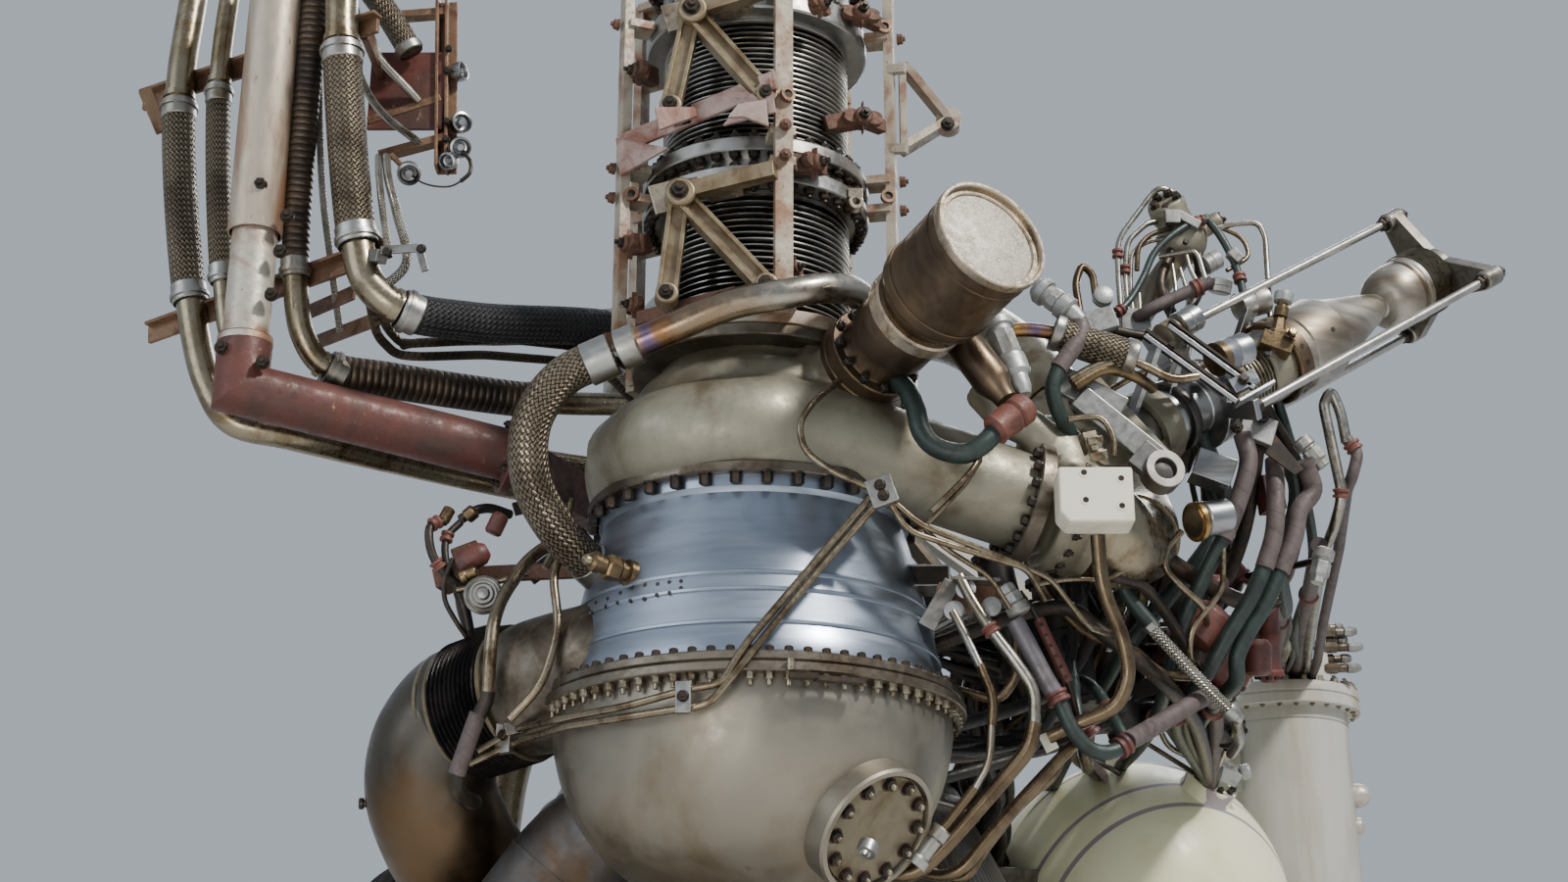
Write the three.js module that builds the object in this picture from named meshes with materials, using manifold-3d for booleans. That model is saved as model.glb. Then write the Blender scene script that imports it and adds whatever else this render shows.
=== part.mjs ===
// Large hydrogen and oxygen rocket engine, standing on its nozzle rim.
// Millimetres, +Z up. Heights are measured from the nozzle exit plane, and the outer group
// then moves the whole engine so that the origin is the centre of the gimbal's top face.
import * as THREE from "three";
import { mergeVertices } from "three/addons/utils/BufferGeometryUtils.js";
import Module from "manifold-3d";

const wasm = await Module();
wasm.setup();

// Driving dimensions
const GAP = 0.4;
const GIMBAL_FACE_Z = 3380;
const EXIT_RADIUS = 1000;
const ROUND = 32;
const WALL = 18;
const BAND_HEIGHT = 26;
const BAND_PROUD = 16;
const BELL_TOP_Z = 2230;
const PUMP_Y = -800;
const PUMP_AXIS = [0, PUMP_Y, 0];
const FLANGE_RADIUS = 322;
const FLANGE_LOW_Z = 1985;
const FLANGE_HIGH_Z = 2015;
const BOWL_RADIUS = 300;
const BOWL_LOW_Z = 1700;
const CASING_TOP_Z = 2297;
const NECK_TOP_Z = 2556;
const DUCT_RADIUS = 150;
const DUCT_RING_LOW_Z = 2800;
const DUCT_RING_HIGH_Z = 2880;
const DUCT_TOP_Z = 3110;
const PIVOT_Z = 3245;
const PIN_RADIUS = 30;
const PIN_PLAY = 2;
const CROSSOVER_RADIUS = 102;
const SPHERE_CENTRE = [744, 325, 1847];
const SPHERE_RADIUS = 300;
const TANK_CENTRE = [1132, 640];
const TANK_RADIUS = 143;
const FUEL_PUMP_Y = 800;
const POST_RADIUS = 44;

// Finishes: colour, roughness, metalness
const FINISHES = {
  nozzle: [0x8b8a86, 0.45, 0.85],
  casting: [0x9a9482, 0.75, 0.4],
  casing: [0xa8b0b8, 0.3, 0.95],
  bowl: [0x8f8a7e, 0.4, 0.85],
  flange: [0x7d7a74, 0.5, 0.8],
  heat: [0x6e6a55, 0.35, 0.9],
  bellows: [0x1f1f20, 0.45, 0.6],
  silver: [0xb4b6b8, 0.3, 0.95],
  rust: [0x7a5a48, 0.85, 0.3],
  primer: [0x6b2f28, 0.8, 0.2],
  bronze: [0x8a6f45, 0.5, 0.7],
  braid: [0x7a746a, 0.55, 0.6],
  can: [0x57483a, 0.45, 0.7],
  cream: [0xd2cbb4, 0.6, 0.1],
  sphere: [0xd8d6b4, 0.45, 0.1],
  tank: [0xa9a9a2, 0.55, 0.2],
  polished: [0xc8cacc, 0.18, 1.0],
  galvanised: [0x9c8f80, 0.6, 0.6],
  pipe: [0x8a7c66, 0.4, 0.8],
};

function finishOf(name) {
  const [color, roughness, metalness] = FINISHES[name];
  return new THREE.MeshStandardMaterial({ color, roughness, metalness });
}

// Solid from a three.js geometry, with shared corners merged and faces pointing out
function solidOf(geometry) {
  const bare = geometry.index ? geometry.toNonIndexed() : geometry.clone();
  bare.deleteAttribute("normal");
  bare.deleteAttribute("uv");
  const merged = mergeVertices(bare, 1e-3);
  const corners = merged.attributes.position;
  const order = merged.index.array;
  const kept = [];
  let volume = 0;
  const a = new THREE.Vector3();
  const b = new THREE.Vector3();
  const c = new THREE.Vector3();
  for (let i = 0; i < order.length; i += 3) {
    const [p, q, r] = [order[i], order[i + 1], order[i + 2]];
    if (p === q || q === r || r === p) continue;
    kept.push(p, q, r);
    a.fromBufferAttribute(corners, p);
    b.fromBufferAttribute(corners, q);
    c.fromBufferAttribute(corners, r);
    volume += a.dot(b.cross(c));
  }
  if (volume < 0) kept.reverse();
  const triVerts = new Uint32Array(kept);
  return new wasm.Manifold(new wasm.Mesh({ numProp: 3, vertProperties: corners.array, triVerts }));
}

function geometryOf(solid) {
  const mesh = solid.getMesh();
  const geometry = new THREE.BufferGeometry();
  geometry.setAttribute("position", new THREE.BufferAttribute(mesh.vertProperties, 3));
  geometry.setIndex(new THREE.BufferAttribute(mesh.triVerts, 1));
  geometry.computeVertexNormals();
  return geometry;
}

function fuse(first, ...others) {
  return others.reduce((whole, solid) => whole.add(solid), first);
}

function carve(first, ...others) {
  return others.reduce((whole, solid) => whole.subtract(solid), first);
}

function vector(point) {
  return new THREE.Vector3(...point);
}

function between(from, to, part) {
  return from.map((value, i) => value + (to[i] - value) * part);
}

function along(from, axis, distance) {
  return vector(axis).normalize().multiplyScalar(distance).add(vector(from)).toArray();
}

function direction(from, to) {
  return vector(to).sub(vector(from)).toArray();
}

function distanceOf(from, to) {
  return vector(to).distanceTo(vector(from));
}

// Places a geometry drawn along +Z so that it starts at origin and runs along axis
function turned(geometry, origin, axis) {
  const turn = new THREE.Quaternion().setFromUnitVectors(vector([0, 0, 1]), vector(axis).normalize());
  geometry.applyQuaternion(turn);
  geometry.translate(...origin);
  return geometry;
}

// Turned solid from pairs of radius and height, along any axis
function revolve(profile, sides, origin = [0, 0, 0], axis = [0, 0, 1]) {
  const points = profile.map(([radius, height]) => new THREE.Vector2(radius, height));
  const geometry = new THREE.LatheGeometry(points, sides);
  geometry.rotateX(Math.PI / 2);
  return solidOf(turned(geometry, origin, axis));
}

// Turned solid closed at both ends on its axis
function spindle(profile, sides, origin, axis) {
  const low = [0, profile[0][1]];
  const high = [0, profile[profile.length - 1][1]];
  return revolve([low, ...profile, high], sides, origin, axis);
}

function rod(from, to, radius, sides = 10) {
  return cone(from, to, radius, radius, sides);
}

function cone(from, to, startRadius, endRadius, sides = 16) {
  const length = distanceOf(from, to);
  return spindle([[startRadius, 0], [endRadius, length]], sides, from, direction(from, to));
}

function ring(origin, axis, inner, outer, thickness, sides = 24) {
  const profile = [[inner, 0], [outer, 0], [outer, thickness], [inner, thickness], [inner, 0]];
  return revolve(profile, sides, origin, axis);
}

function ball(centre, radius, sides = 16) {
  const geometry = new THREE.SphereGeometry(radius, sides, Math.round(sides / 2));
  geometry.rotateX(Math.PI / 2);
  geometry.translate(...centre);
  return solidOf(geometry);
}

function block(centre, size) {
  const geometry = new THREE.BoxGeometry(...size);
  geometry.translate(...centre);
  return solidOf(geometry);
}

// Rectangular bar from one point to another; its width lies across the given direction
function bar(from, to, width, depth, across = [1, 0, 0]) {
  const run = vector(direction(from, to));
  const length = run.length();
  run.normalize();
  const side = vector(across).addScaledVector(run, -vector(across).dot(run)).normalize();
  const rise = new THREE.Vector3().crossVectors(run, side);
  const geometry = new THREE.BoxGeometry(width, depth, length);
  geometry.applyMatrix4(new THREE.Matrix4().makeBasis(side, rise, run));
  geometry.translate(...between(from, to, 0.5));
  return solidOf(geometry);
}

function circle(radius, sides) {
  const corner = (i) => (2 * Math.PI * i) / sides;
  const points = Array.from({ length: sides }, (unused, i) => {
    return new THREE.Vector2(radius * Math.cos(corner(i)), radius * Math.sin(corner(i)));
  });
  return new THREE.Shape(points);
}

// Round tube on one smooth curve through the points
function tube(points, radius, sides, steps) {
  const path = new THREE.CatmullRomCurve3(points.map(vector), false, "centripetal");
  const options = { steps, extrudePath: path, bevelEnabled: false };
  return solidOf(new THREE.ExtrudeGeometry(circle(radius, sides), options));
}

// Plate from corners given in its own plane, held at origin with two in-plane directions
function plate(corners, thickness, origin, right, up) {
  const shape = new THREE.Shape(corners.map(([x, y]) => new THREE.Vector2(x, y)));
  const geometry = new THREE.ExtrudeGeometry(shape, { depth: thickness, bevelEnabled: false });
  const x = vector(right).normalize();
  const y = vector(up).addScaledVector(x, -vector(up).dot(x)).normalize();
  const z = new THREE.Vector3().crossVectors(x, y);
  geometry.applyMatrix4(new THREE.Matrix4().makeBasis(x, y, z));
  geometry.translate(...origin);
  return solidOf(geometry);
}

// The same profile a little fatter and longer, to cut a neighbour with clearance
function grown(profile, amount = GAP) {
  const last = profile.length - 1;
  return profile.map(([radius, height], i) => {
    const shift = i === 0 ? -amount : i === last ? amount : 0;
    return [radius + amount, height + shift];
  });
}

// The same route with both ends drawn out
function longer(points, amount) {
  const last = points.length - 1;
  const start = along(points[0], direction(points[1], points[0]), amount);
  const end = along(points[last], direction(points[last - 1], points[last]), amount);
  return [start, ...points.slice(1, last), end];
}

const engine = new THREE.Group();
engine.position.z = -GIMBAL_FACE_Z;

function add(name, solid, finish) {
  const mesh = new THREE.Mesh(geometryOf(solid), finishOf(finish));
  mesh.name = name;
  engine.add(mesh);
}

// Outer radius of the nozzle and chamber wall at a height: pairs of height and radius
const NOZZLE_OUTLINE = [
  [0, EXIT_RADIUS], [300, 955], [700, 868], [1100, 756], [1400, 655], [1650, 550],
  [1850, 455], [2000, 380], [2120, 318], [BELL_TOP_Z, 262],
];

function outlineRadius(height) {
  const next = NOZZLE_OUTLINE.findIndex(([z]) => z >= height);
  if (next <= 0) return NOZZLE_OUTLINE[0][1];
  const [lowZ, lowR] = NOZZLE_OUTLINE[next - 1];
  const [highZ, highR] = NOZZLE_OUTLINE[next];
  return lowR + ((highR - lowR) * (height - lowZ)) / (highZ - lowZ);
}

// Heights of the hat bands round the bell, by their lower edge
const BAND_HEIGHTS = [0, 260, 540, 820, 1560, 1960];
const EXHAUST_RING_Z = 1180;
const EXHAUST_RING_RADIUS = 88;
const FUEL_RING_Z = 1420;
const FUEL_RING_RADIUS = 58;
const RING_SEAT = 4;

function nozzleBell() {
  const outer = NOZZLE_OUTLINE.map(([z, r]) => [r, z]);
  for (const z of BAND_HEIGHTS) {
    const low = outlineRadius(z);
    const high = outlineRadius(z + BAND_HEIGHT);
    const band = [[low + BAND_PROUD, z], [high + BAND_PROUD, z + BAND_HEIGHT]];
    outer.push([low + 0.01, z - 0.01], ...band, [high, z + BAND_HEIGHT + 0.01]);
  }
  outer.sort((first, second) => first[1] - second[1]);
  const rim = outer.filter(([r, z]) => z >= 0 && !(z === 0 && r === EXIT_RADIUS));
  const inner = NOZZLE_OUTLINE.map(([z, r]) => [r - WALL, z]).reverse();
  return revolve([inner[inner.length - 1], ...rim, ...inner], ROUND);
}

// Ring manifold that sits against the bell, with a round back and a fitted face
function ringManifold(height, radius) {
  const spine = outlineRadius(height) + radius * 0.9;
  const steps = 5;
  const arc = Array.from({ length: steps + 1 }, (unused, i) => {
    const angle = -Math.PI / 2 + (Math.PI * i) / steps;
    return [spine + radius * Math.cos(angle), height + radius * Math.sin(angle)];
  });
  const foot = radius * 0.8;
  const low = [outlineRadius(height - foot) + RING_SEAT, height - foot];
  const high = [outlineRadius(height + foot) + RING_SEAT, height + foot];
  return revolve([low, ...arc, high, low], ROUND);
}

add("nozzle_bell", nozzleBell(), "nozzle");
add("exhaust_manifold", ringManifold(EXHAUST_RING_Z, EXHAUST_RING_RADIUS), "heat");
add("fuel_manifold", ringManifold(FUEL_RING_Z, FUEL_RING_RADIUS), "silver");

// Thrust chamber: throat, barrel and injector flange, open inside
const CHAMBER_OUTER = [
  [262, BELL_TOP_Z + GAP], [218, 2330], [207, 2390], [218, 2460], [262, 2580], [268, 2640],
  [268, 2800], [312, 2802], [312, 2850],
];

function chamberBody() {
  const inner = [[238, 2850], [236, 2600], [190, 2460], [186, 2390]];
  const foot = [[262 - WALL, BELL_TOP_Z + GAP]];
  return revolve([...CHAMBER_OUTER, ...inner, ...foot, CHAMBER_OUTER[0]], 32);
}

// Injector head with its domed cap and the cone that carries the gimbal
const DOME_TOP_Z = 3110;

function injectorDome() {
  const profile = [
    [312, 2850 + GAP], [312, 2895], [270, 2900], [255, 2960], [205, 3020], [150, 3050],
    [150, DOME_TOP_Z],
  ];
  return spindle(profile, 32);
}

add("chamber_body", chamberBody(), "nozzle");
add("injector_dome", injectorDome(), "silver");

// Gimbal: ears on the lower seat hold the cross along X, ears on the upper seat hold it along Y
const EAR_INNER = 78;
const EAR_OUTER = 116;
const EAR_HALF_WIDTH = 48;
const SEAT_HALF = 130;

function gimbalSeat(side, plateLow, plateHigh, earEnd) {
  const middle = (plateLow + plateHigh) / 2;
  const base = block([0, 0, middle], [2 * SEAT_HALF, 2 * SEAT_HALF, plateHigh - plateLow]);
  const root = earEnd > middle ? plateHigh - 5 : plateLow + 5;
  const ears = [-1, 1].map((sign) => {
    const reach = (sign * (EAR_INNER + EAR_OUTER)) / 2;
    const centre = side === "x" ? [reach, 0, (root + earEnd) / 2] : [0, reach, (root + earEnd) / 2];
    const thick = EAR_OUTER - EAR_INNER;
    const wide = 2 * EAR_HALF_WIDTH;
    const size = side === "x" ? [thick, wide, 0] : [wide, thick, 0];
    return block(centre, [size[0], size[1], Math.abs(earEnd - root)]);
  });
  const axis = side === "x" ? [1, 0, 0] : [0, 1, 0];
  const start = along([0, 0, PIVOT_Z], axis, -200);
  const end = along([0, 0, PIVOT_Z], axis, 200);
  return carve(fuse(base, ...ears), rod(start, end, PIN_RADIUS + PIN_PLAY, 16));
}

function gimbalCross() {
  const pins = [[1, 0, 0], [0, 1, 0]].map((axis) => {
    const start = along([0, 0, PIVOT_Z], axis, -(EAR_OUTER + 6));
    const end = along([0, 0, PIVOT_Z], axis, EAR_OUTER + 6);
    return rod(start, end, PIN_RADIUS, 16);
  });
  return fuse(ball([0, 0, PIVOT_Z], 64, 12), ...pins);
}

add("gimbal_lower_seat", gimbalSeat("x", DOME_TOP_Z + GAP, 3145, PIVOT_Z + 46), "silver");
add("gimbal_cross", gimbalCross(), "polished");
add("gimbal_upper_seat", gimbalSeat("y", 3345, GIMBAL_FACE_Z, PIVOT_Z - 46), "silver");

// Oxidiser pump: exhaust bowl, flange, turbine casing and volute, stacked on one axis
const BOWL_PROFILE = [
  [40, BOWL_LOW_Z], [120, 1716], [195, 1756], [250, 1812], [284, 1880],
  [BOWL_RADIUS, 1950], [BOWL_RADIUS, FLANGE_LOW_Z - GAP],
];
const CASING_PROFILE = [
  [300, FLANGE_HIGH_Z + GAP], [300, 2022], [285, 2055], [288, 2066], [275, 2114], [277, 2122],
  [270, 2140], [258, 2190], [235, 2266], [235, 2276], [258, 2278], [258, CASING_TOP_Z - GAP],
];
const VOLUTE_PROFILE = [
  [258, CASING_TOP_Z], [258, 2313], [250, 2316], [262, 2350], [265, 2385], [250, 2425],
  [222, 2452], [197, 2470], [184, 2500], [152, 2530], [196, 2538], [196, NECK_TOP_Z],
];
const BOWL_MIDDLE = [0, PUMP_Y, 1970];
const MANHOLE_AXIS = [0.57, -0.577, -0.587];
const MANHOLE_RADIUS = 88;
const MANHOLE_BOSS_RADIUS = 99;

function exhaustBowl() {
  const boss = rod(along(BOWL_MIDDLE, MANHOLE_AXIS, 200), along(BOWL_MIDDLE, MANHOLE_AXIS, 306),
    MANHOLE_BOSS_RADIUS, 20);
  return fuse(spindle(BOWL_PROFILE, 28, PUMP_AXIS), boss);
}

function manholeCover() {
  return rod(along(BOWL_MIDDLE, MANHOLE_AXIS, 306 + GAP), along(BOWL_MIDDLE, MANHOLE_AXIS, 320),
    MANHOLE_RADIUS, 20);
}

function turbineFlange() {
  return spindle([[FLANGE_RADIUS, FLANGE_LOW_Z], [FLANGE_RADIUS, FLANGE_HIGH_Z]], 40, PUMP_AXIS);
}

const CHANNEL_CENTRE = [236, PUMP_Y - 70, 2185];
const CHANNEL_SIZE = [120, 60, 34];

function turbineCasing() {
  const channel = carve(block(CHANNEL_CENTRE, CHANNEL_SIZE),
    block(CHANNEL_CENTRE, [CHANNEL_SIZE[0] + 10, CHANNEL_SIZE[1] - 12, CHANNEL_SIZE[2] - 12]));
  const body = spindle(CASING_PROFILE, 28, PUMP_AXIS);
  const outside = carve(channel, spindle(grown(CASING_PROFILE, -12), 28, PUMP_AXIS));
  return fuse(body, outside);
}

const CAN_BASE = [173, -980, 2498];
const CAN_AXIS = [0.486, -0.821, 0.227];
const DISCHARGE_START = [60, -985, 2385];
const DISCHARGE_END = [425, -885, 2300];
const dischargeRun = direction(DISCHARGE_START, DISCHARGE_END);
const SCROLL = [[-190, -870, 2372], [-120, -985, 2372], [0, -1010, 2378], DISCHARGE_START,
  DISCHARGE_END];

function pumpVolute() {
  const scroll = tube(SCROLL, 76, 14, 10);
  const flange = rod(DISCHARGE_END, along(DISCHARGE_END, dischargeRun, 24), 98, 20);
  const neck = cone(along(CAN_BASE, CAN_AXIS, -150), CAN_BASE, 84, 60, 20);
  const rimBelow = spindle([[260, 2240], [260, CASING_TOP_Z]], 28, PUMP_AXIS);
  return fuse(spindle(VOLUTE_PROFILE, 28, PUMP_AXIS), carve(scroll, rimBelow), flange, neck);
}

add("exhaust_bowl", exhaustBowl(), "bowl");
add("manhole_cover", manholeCover(), "bowl");
add("turbine_flange", turbineFlange(), "flange");
add("turbine_casing", turbineCasing(), "casing");
add("pump_volute", pumpVolute(), "casting");

// Inlet duct over the pump: two bellows, a middle ring and a top flange
function ductBellows(low, high, folds) {
  const pitch = (high - low) / folds;
  const profile = Array.from({ length: folds * 2 + 1 }, (unused, i) => {
    return [i % 2 ? DUCT_RADIUS + 4 : DUCT_RADIUS - 8, low + (i * pitch) / 2];
  });
  return spindle(profile, 18, PUMP_AXIS);
}

function ductRing(profile) {
  return spindle(profile, 22, PUMP_AXIS);
}

add("inlet_bellows_lower", ductBellows(NECK_TOP_Z + GAP, DUCT_RING_LOW_Z - GAP, 5), "silver");
add("inlet_mid_ring", ductRing([[170, DUCT_RING_LOW_Z], [185, 2802], [185, 2828], [160, 2832],
  [160, 2850], [185, 2854], [185, DUCT_RING_HIGH_Z - 2], [170, DUCT_RING_HIGH_Z]]), "flange");
add("inlet_bellows_upper", ductBellows(DUCT_RING_HIGH_Z + GAP, DUCT_TOP_Z - GAP, 5), "silver");

const INLET_FACE_Z = 3290;

function inletTopDuct() {
  const profile = [[175, DUCT_TOP_Z], [185, 3114], [185, 3150], [158, 3156], [158, 3262],
    [196, 3264], [196, INLET_FACE_Z], [146, INLET_FACE_Z], [146, 3230]];
  return spindle(profile, 22, PUMP_AXIS);
}

add("inlet_top_duct", inletTopDuct(), "flange");

// Lock struts round the inlet duct, each with lugs to the rings, on one foot ring
const STRUT_LOW_Z = NECK_TOP_Z + GAP;
const STRUT_HIGH_Z = 3284;
const STRUTS = [
  { place: "front", x: 46, y: -1024 },
  { place: "right", x: 222, y: -842 },
  { place: "left", x: -212, y: -886 },
  { place: "rear left", x: -200, y: -690 },
  { place: "rear", x: 150, y: -624 },
];
// Lugs from a strut to the duct: height and radius of the ring that each one bears on
const LUGS = [[2572, 190], [2815, 186.5], [2867, 186.5], [3132, 186.5], [3277, 197.5]];

function cageStrut({ x, y }) {
  const outward = [x, y - PUMP_Y, 0];
  const across = [-outward[1], outward[0], 0];
  const post = bar([x, y, STRUT_LOW_Z], [x, y, STRUT_HIGH_Z], 28, 16, across);
  const lugs = LUGS.map(([z, radius]) => {
    const start = along([0, PUMP_Y, z], outward, radius);
    return bar(start, [x, y, z], 40, 14, across);
  });
  return fuse(post, ...lugs);
}

function lockCage() {
  const foot = ring([0, PUMP_Y, STRUT_LOW_Z], [0, 0, 1], DUCT_RADIUS + 8, 200, 22);
  return fuse(foot, ...STRUTS.map(cageStrut));
}

add("lock_cage", lockCage(), "rust");

// Wishbone castings between the left and front struts: apex, feet and link height
const WISHBONES = [
  { name: "wishbone_upper", apex: [-100, -990, 3092], feet: [[-132, -985, 2925], [20, -1020, 2925]] },
  { name: "wishbone_lower", apex: [-114, -990, 2768], feet: [[-132, -985, 2602], [20, -1020, 2602]] },
];
const WISHBONE_THICK = 26;

function wishbone({ apex, feet }, extra = 0) {
  const [hubX, hubY, hubZ] = apex;
  const legs = feet.map((foot) => bar(apex, foot, 34 + extra, WISHBONE_THICK + extra, [1, 0, 0.2]));
  const link = bar(apex, [34, -1042, hubZ + 20], 30 + extra, 16 + extra, [0, 0, 1]);
  const hub = rod([hubX, hubY - 20 - extra, hubZ], [hubX, hubY + 20 + extra, hubZ], 24 + extra, 16);
  const footPads = feet.map(([x, y, z]) => {
    return bar(along([0, PUMP_Y, z], [x, y - PUMP_Y, 0], 166), [x, y, z], 34, 34, [0, 0, 1]);
  });
  return fuse(...legs, link, hub, ...footPads);
}

const cage = lockCage();
for (const arm of WISHBONES) {
  add(arm.name, carve(wishbone(arm), cage), "bronze");
}

// Gusset band that ties the left strut to the front strut
function gussetBand() {
  const start = [-214, -904, 2905];
  const end = [34, -1040, 2945];
  const band = bar(start, end, 34, 6, [0, 0, 1]);
  const sides = [{ corner: start, inward: 1 }, { corner: end, inward: -1 }];
  const leaves = sides.map(({ corner: [x, y, z], inward }) => {
    const outline = [[0, -10], [inward * 92, 4], [0, 60]];
    return plate(outline, 5, [x, y - 3, z - 50], direction(start, end), [0, 0, 1]);
  });
  return carve(fuse(band, ...leaves), cage, wishbone(WISHBONES[0], GAP));
}

add("cage_gusset_band", gussetBand(), "rust");

// Bracket of two arms that stands out from the right strut
function veeBracket() {
  const tip = [329, -716, 3047];
  const roots = [[246, -800, 3110], [246, -800, 2950]];
  const arms = roots.map((root) => bar(root, tip, 26, 14, [0, 1, 0]));
  const spine = bar(roots[0], roots[1], 22, 12, [0, 1, 0]);
  const boss = rod([tip[0], tip[1] - 16, tip[2]], [tip[0], tip[1] + 16, tip[2]], 22, 14);
  return carve(fuse(...arms, spine, boss), cage);
}

add("cage_vee_bracket", veeBracket(), "rust");

// Capped duct that stands out of the volute's right shoulder towards the front
const CAN_PROFILE = [
  [76, 1], [76, 26], [58, 30], [58, 60], [66, 66], [66, 118], [76, 124], [76, 150], [68, 158],
  [80, 176], [86, 182], [86, 322], [90, 324], [90, 336], [82, 336], [82, 318],
];

// Bleed line round the front of the neck: rigid pipe on the right, braided hose on the left
const BLEED_JOINT = [-197, -1044, 2488];
const BLEED_PIPE = [BLEED_JOINT, [-114, -1066, 2517], [-31, -1078, 2548], [53, -1078, 2566],
  [110, -1052, 2586], [160, -990, 2602], [196, -930, 2570], [190, -880, 2520], [150, -850, 2490]];
const BLEED_HOSE = [[-206, -1042, 2484], [-280, -1032, 2451], [-325, -1020, 2385], [-325, -1000, 2301],
  [-284, -950, 2232], [-225, -880, 2190]];
const canNeck = cone(along(CAN_BASE, CAN_AXIS, -150), CAN_BASE, 86, 62, 20);
const scrollShell = fuse(tube(SCROLL, 77, 14, 10),
  rod(along(DISCHARGE_END, dischargeRun, -GAP), along(DISCHARGE_END, dischargeRun, 24 + GAP), 98.5, 20));

const neckShell = spindle(grown(VOLUTE_PROFILE), 28, PUMP_AXIS);

add("capped_duct", carve(spindle(CAN_PROFILE, 20, CAN_BASE, CAN_AXIS), neckShell, scrollShell), "can");

const canShell = spindle(grown(CAN_PROFILE.slice(0, -2), 2), 20, CAN_BASE, CAN_AXIS);
const voluteShell = fuse(neckShell, canNeck);
const casingShell = spindle(grown(CASING_PROFILE), 28, PUMP_AXIS);

function bleedPipe() {
  const collar = rod(BLEED_JOINT, along(BLEED_JOINT, direction(BLEED_JOINT, BLEED_PIPE[1]), 34), 31, 14);
  return carve(fuse(tube(BLEED_PIPE, 23, 8, 16), collar), voluteShell, canShell);
}

function bleedHose() {
  return carve(tube(BLEED_HOSE, 33, 10, 12), casingShell);
}

add("bleed_pipe", bleedPipe(), "silver");
add("bleed_hose", bleedHose(), "braid");

// Discharge side: ogive valve housing on the pipe's end flange and the duct to the injector
const VALVE_BASE = along(DISCHARGE_END, dischargeRun, 25);

function dischargeValve(extra = 0) {
  const seat = rod(VALVE_BASE, along(VALVE_BASE, dischargeRun, 70 + extra), 92 + extra, 16);
  const middle = along(VALVE_BASE, dischargeRun, 34);
  const nose = spindle(grown([[70, 0], [68, 60], [56, 110], [34, 146], [10, 160]], extra), 14, middle,
    [-0.25, -0.15, 1]);
  const side = tube([middle, [430, -925, 2400], [390, -930, 2425], [352, -905, 2480]], 30 + extra, 8, 4);
  return carve(fuse(seat, nose, side), canShell, voluteShell, scrollShell);
}

const DUCT_START = along(VALVE_BASE, dischargeRun, 72);
const MAIN_DUCT = [DUCT_START, along(VALVE_BASE, dischargeRun, 90), [560, -810, 2262],
  [610, -690, 2320], [560, -520, 2520], [450, -300, 2790], [350, -130, 2920], [268, -40, 2948]];
const domeShell = spindle([[312.4, 2840], [312.4, 2895], [271, 2900], [256, 2960], [206, 3020]], 32);

function mainDuct(extra = 0) {
  const pipe = tube(MAIN_DUCT, 72 + extra, 14, 14);
  return carve(pipe, dischargeValve(GAP), domeShell);
}

add("discharge_valve", dischargeValve(), "casting");
add("main_duct", mainDuct(), "pipe");

// Electrical junction box on a bracket from the discharge flange
const BOX_FRONT = [498, -1052, 2262];

function junctionBox() {
  const [x, y, z] = BOX_FRONT;
  const corners = [[-54, -26], [-40, -42], [54, -42], [54, 42], [-54, 42]];
  const body = plate(corners, 62, [x, y + 62, z], [1, 0, 0], [0, 0, 1]);
  const foot = block([x - 20, y + 68, z + 30], [60, 30, 14]);
  return carve(fuse(body, foot), scrollShell);
}

add("junction_box", junctionBox(), "cream");

// Right-hand actuator with its clamps, cone, bellows, spider and tie rods on one axis
const ACTUATOR_START = [589, -800, 2435];
const ACTUATOR_AXIS = [0.771, 0.359, 0.526];
const ACTUATOR_BODY = [
  [42, 0], [50, 8], [50, 96], [60, 98], [60, 112], [46, 114], [46, 182], [62, 184], [62, 200],
  [60, 202], [62, 340], [73, 342], [73, 372], [64, 374], [64, 392],
];
const ACTUATOR_CONE = [
  [69, 392.4], [71, 410], [71, 470], [60, 486], [50, 520], [24, 622], [18, 636], [20, 648],
  [52, 668], [56, 676],
];
const BELLOWS_START = 676.4;
const BELLOWS_END = 765;
const SPIDER_TIP_RADIUS = 122;
const TIE_ROD_RADIUS = 8;
// Tie rods: angle round the actuator and the station where each one starts
const TIE_RODS = [[24, 165], [144, 165], [264, 270]];

function stationOf(distance) {
  return along(ACTUATOR_START, ACTUATOR_AXIS, distance);
}

// Point at a station, angle and distance from the actuator's axis
function aroundActuator(distance, angle, radius) {
  const axis = vector(ACTUATOR_AXIS).normalize();
  const right = new THREE.Vector3().crossVectors(axis, vector([0, 0, 1])).normalize();
  const down = new THREE.Vector3().crossVectors(axis, right);
  const turn = THREE.MathUtils.degToRad(angle);
  const out = right.multiplyScalar(Math.cos(turn)).addScaledVector(down, Math.sin(turn));
  return out.multiplyScalar(radius).add(vector(stationOf(distance))).toArray();
}

function actuatorBellows() {
  const folds = 6;
  const pitch = (BELLOWS_END - BELLOWS_START) / folds;
  const profile = Array.from({ length: folds * 2 + 1 }, (unused, i) => {
    return [i % 2 ? 63 : 55, BELLOWS_START + (i * pitch) / 2];
  });
  return spindle(profile, 16, ACTUATOR_START, ACTUATOR_AXIS);
}

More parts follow.
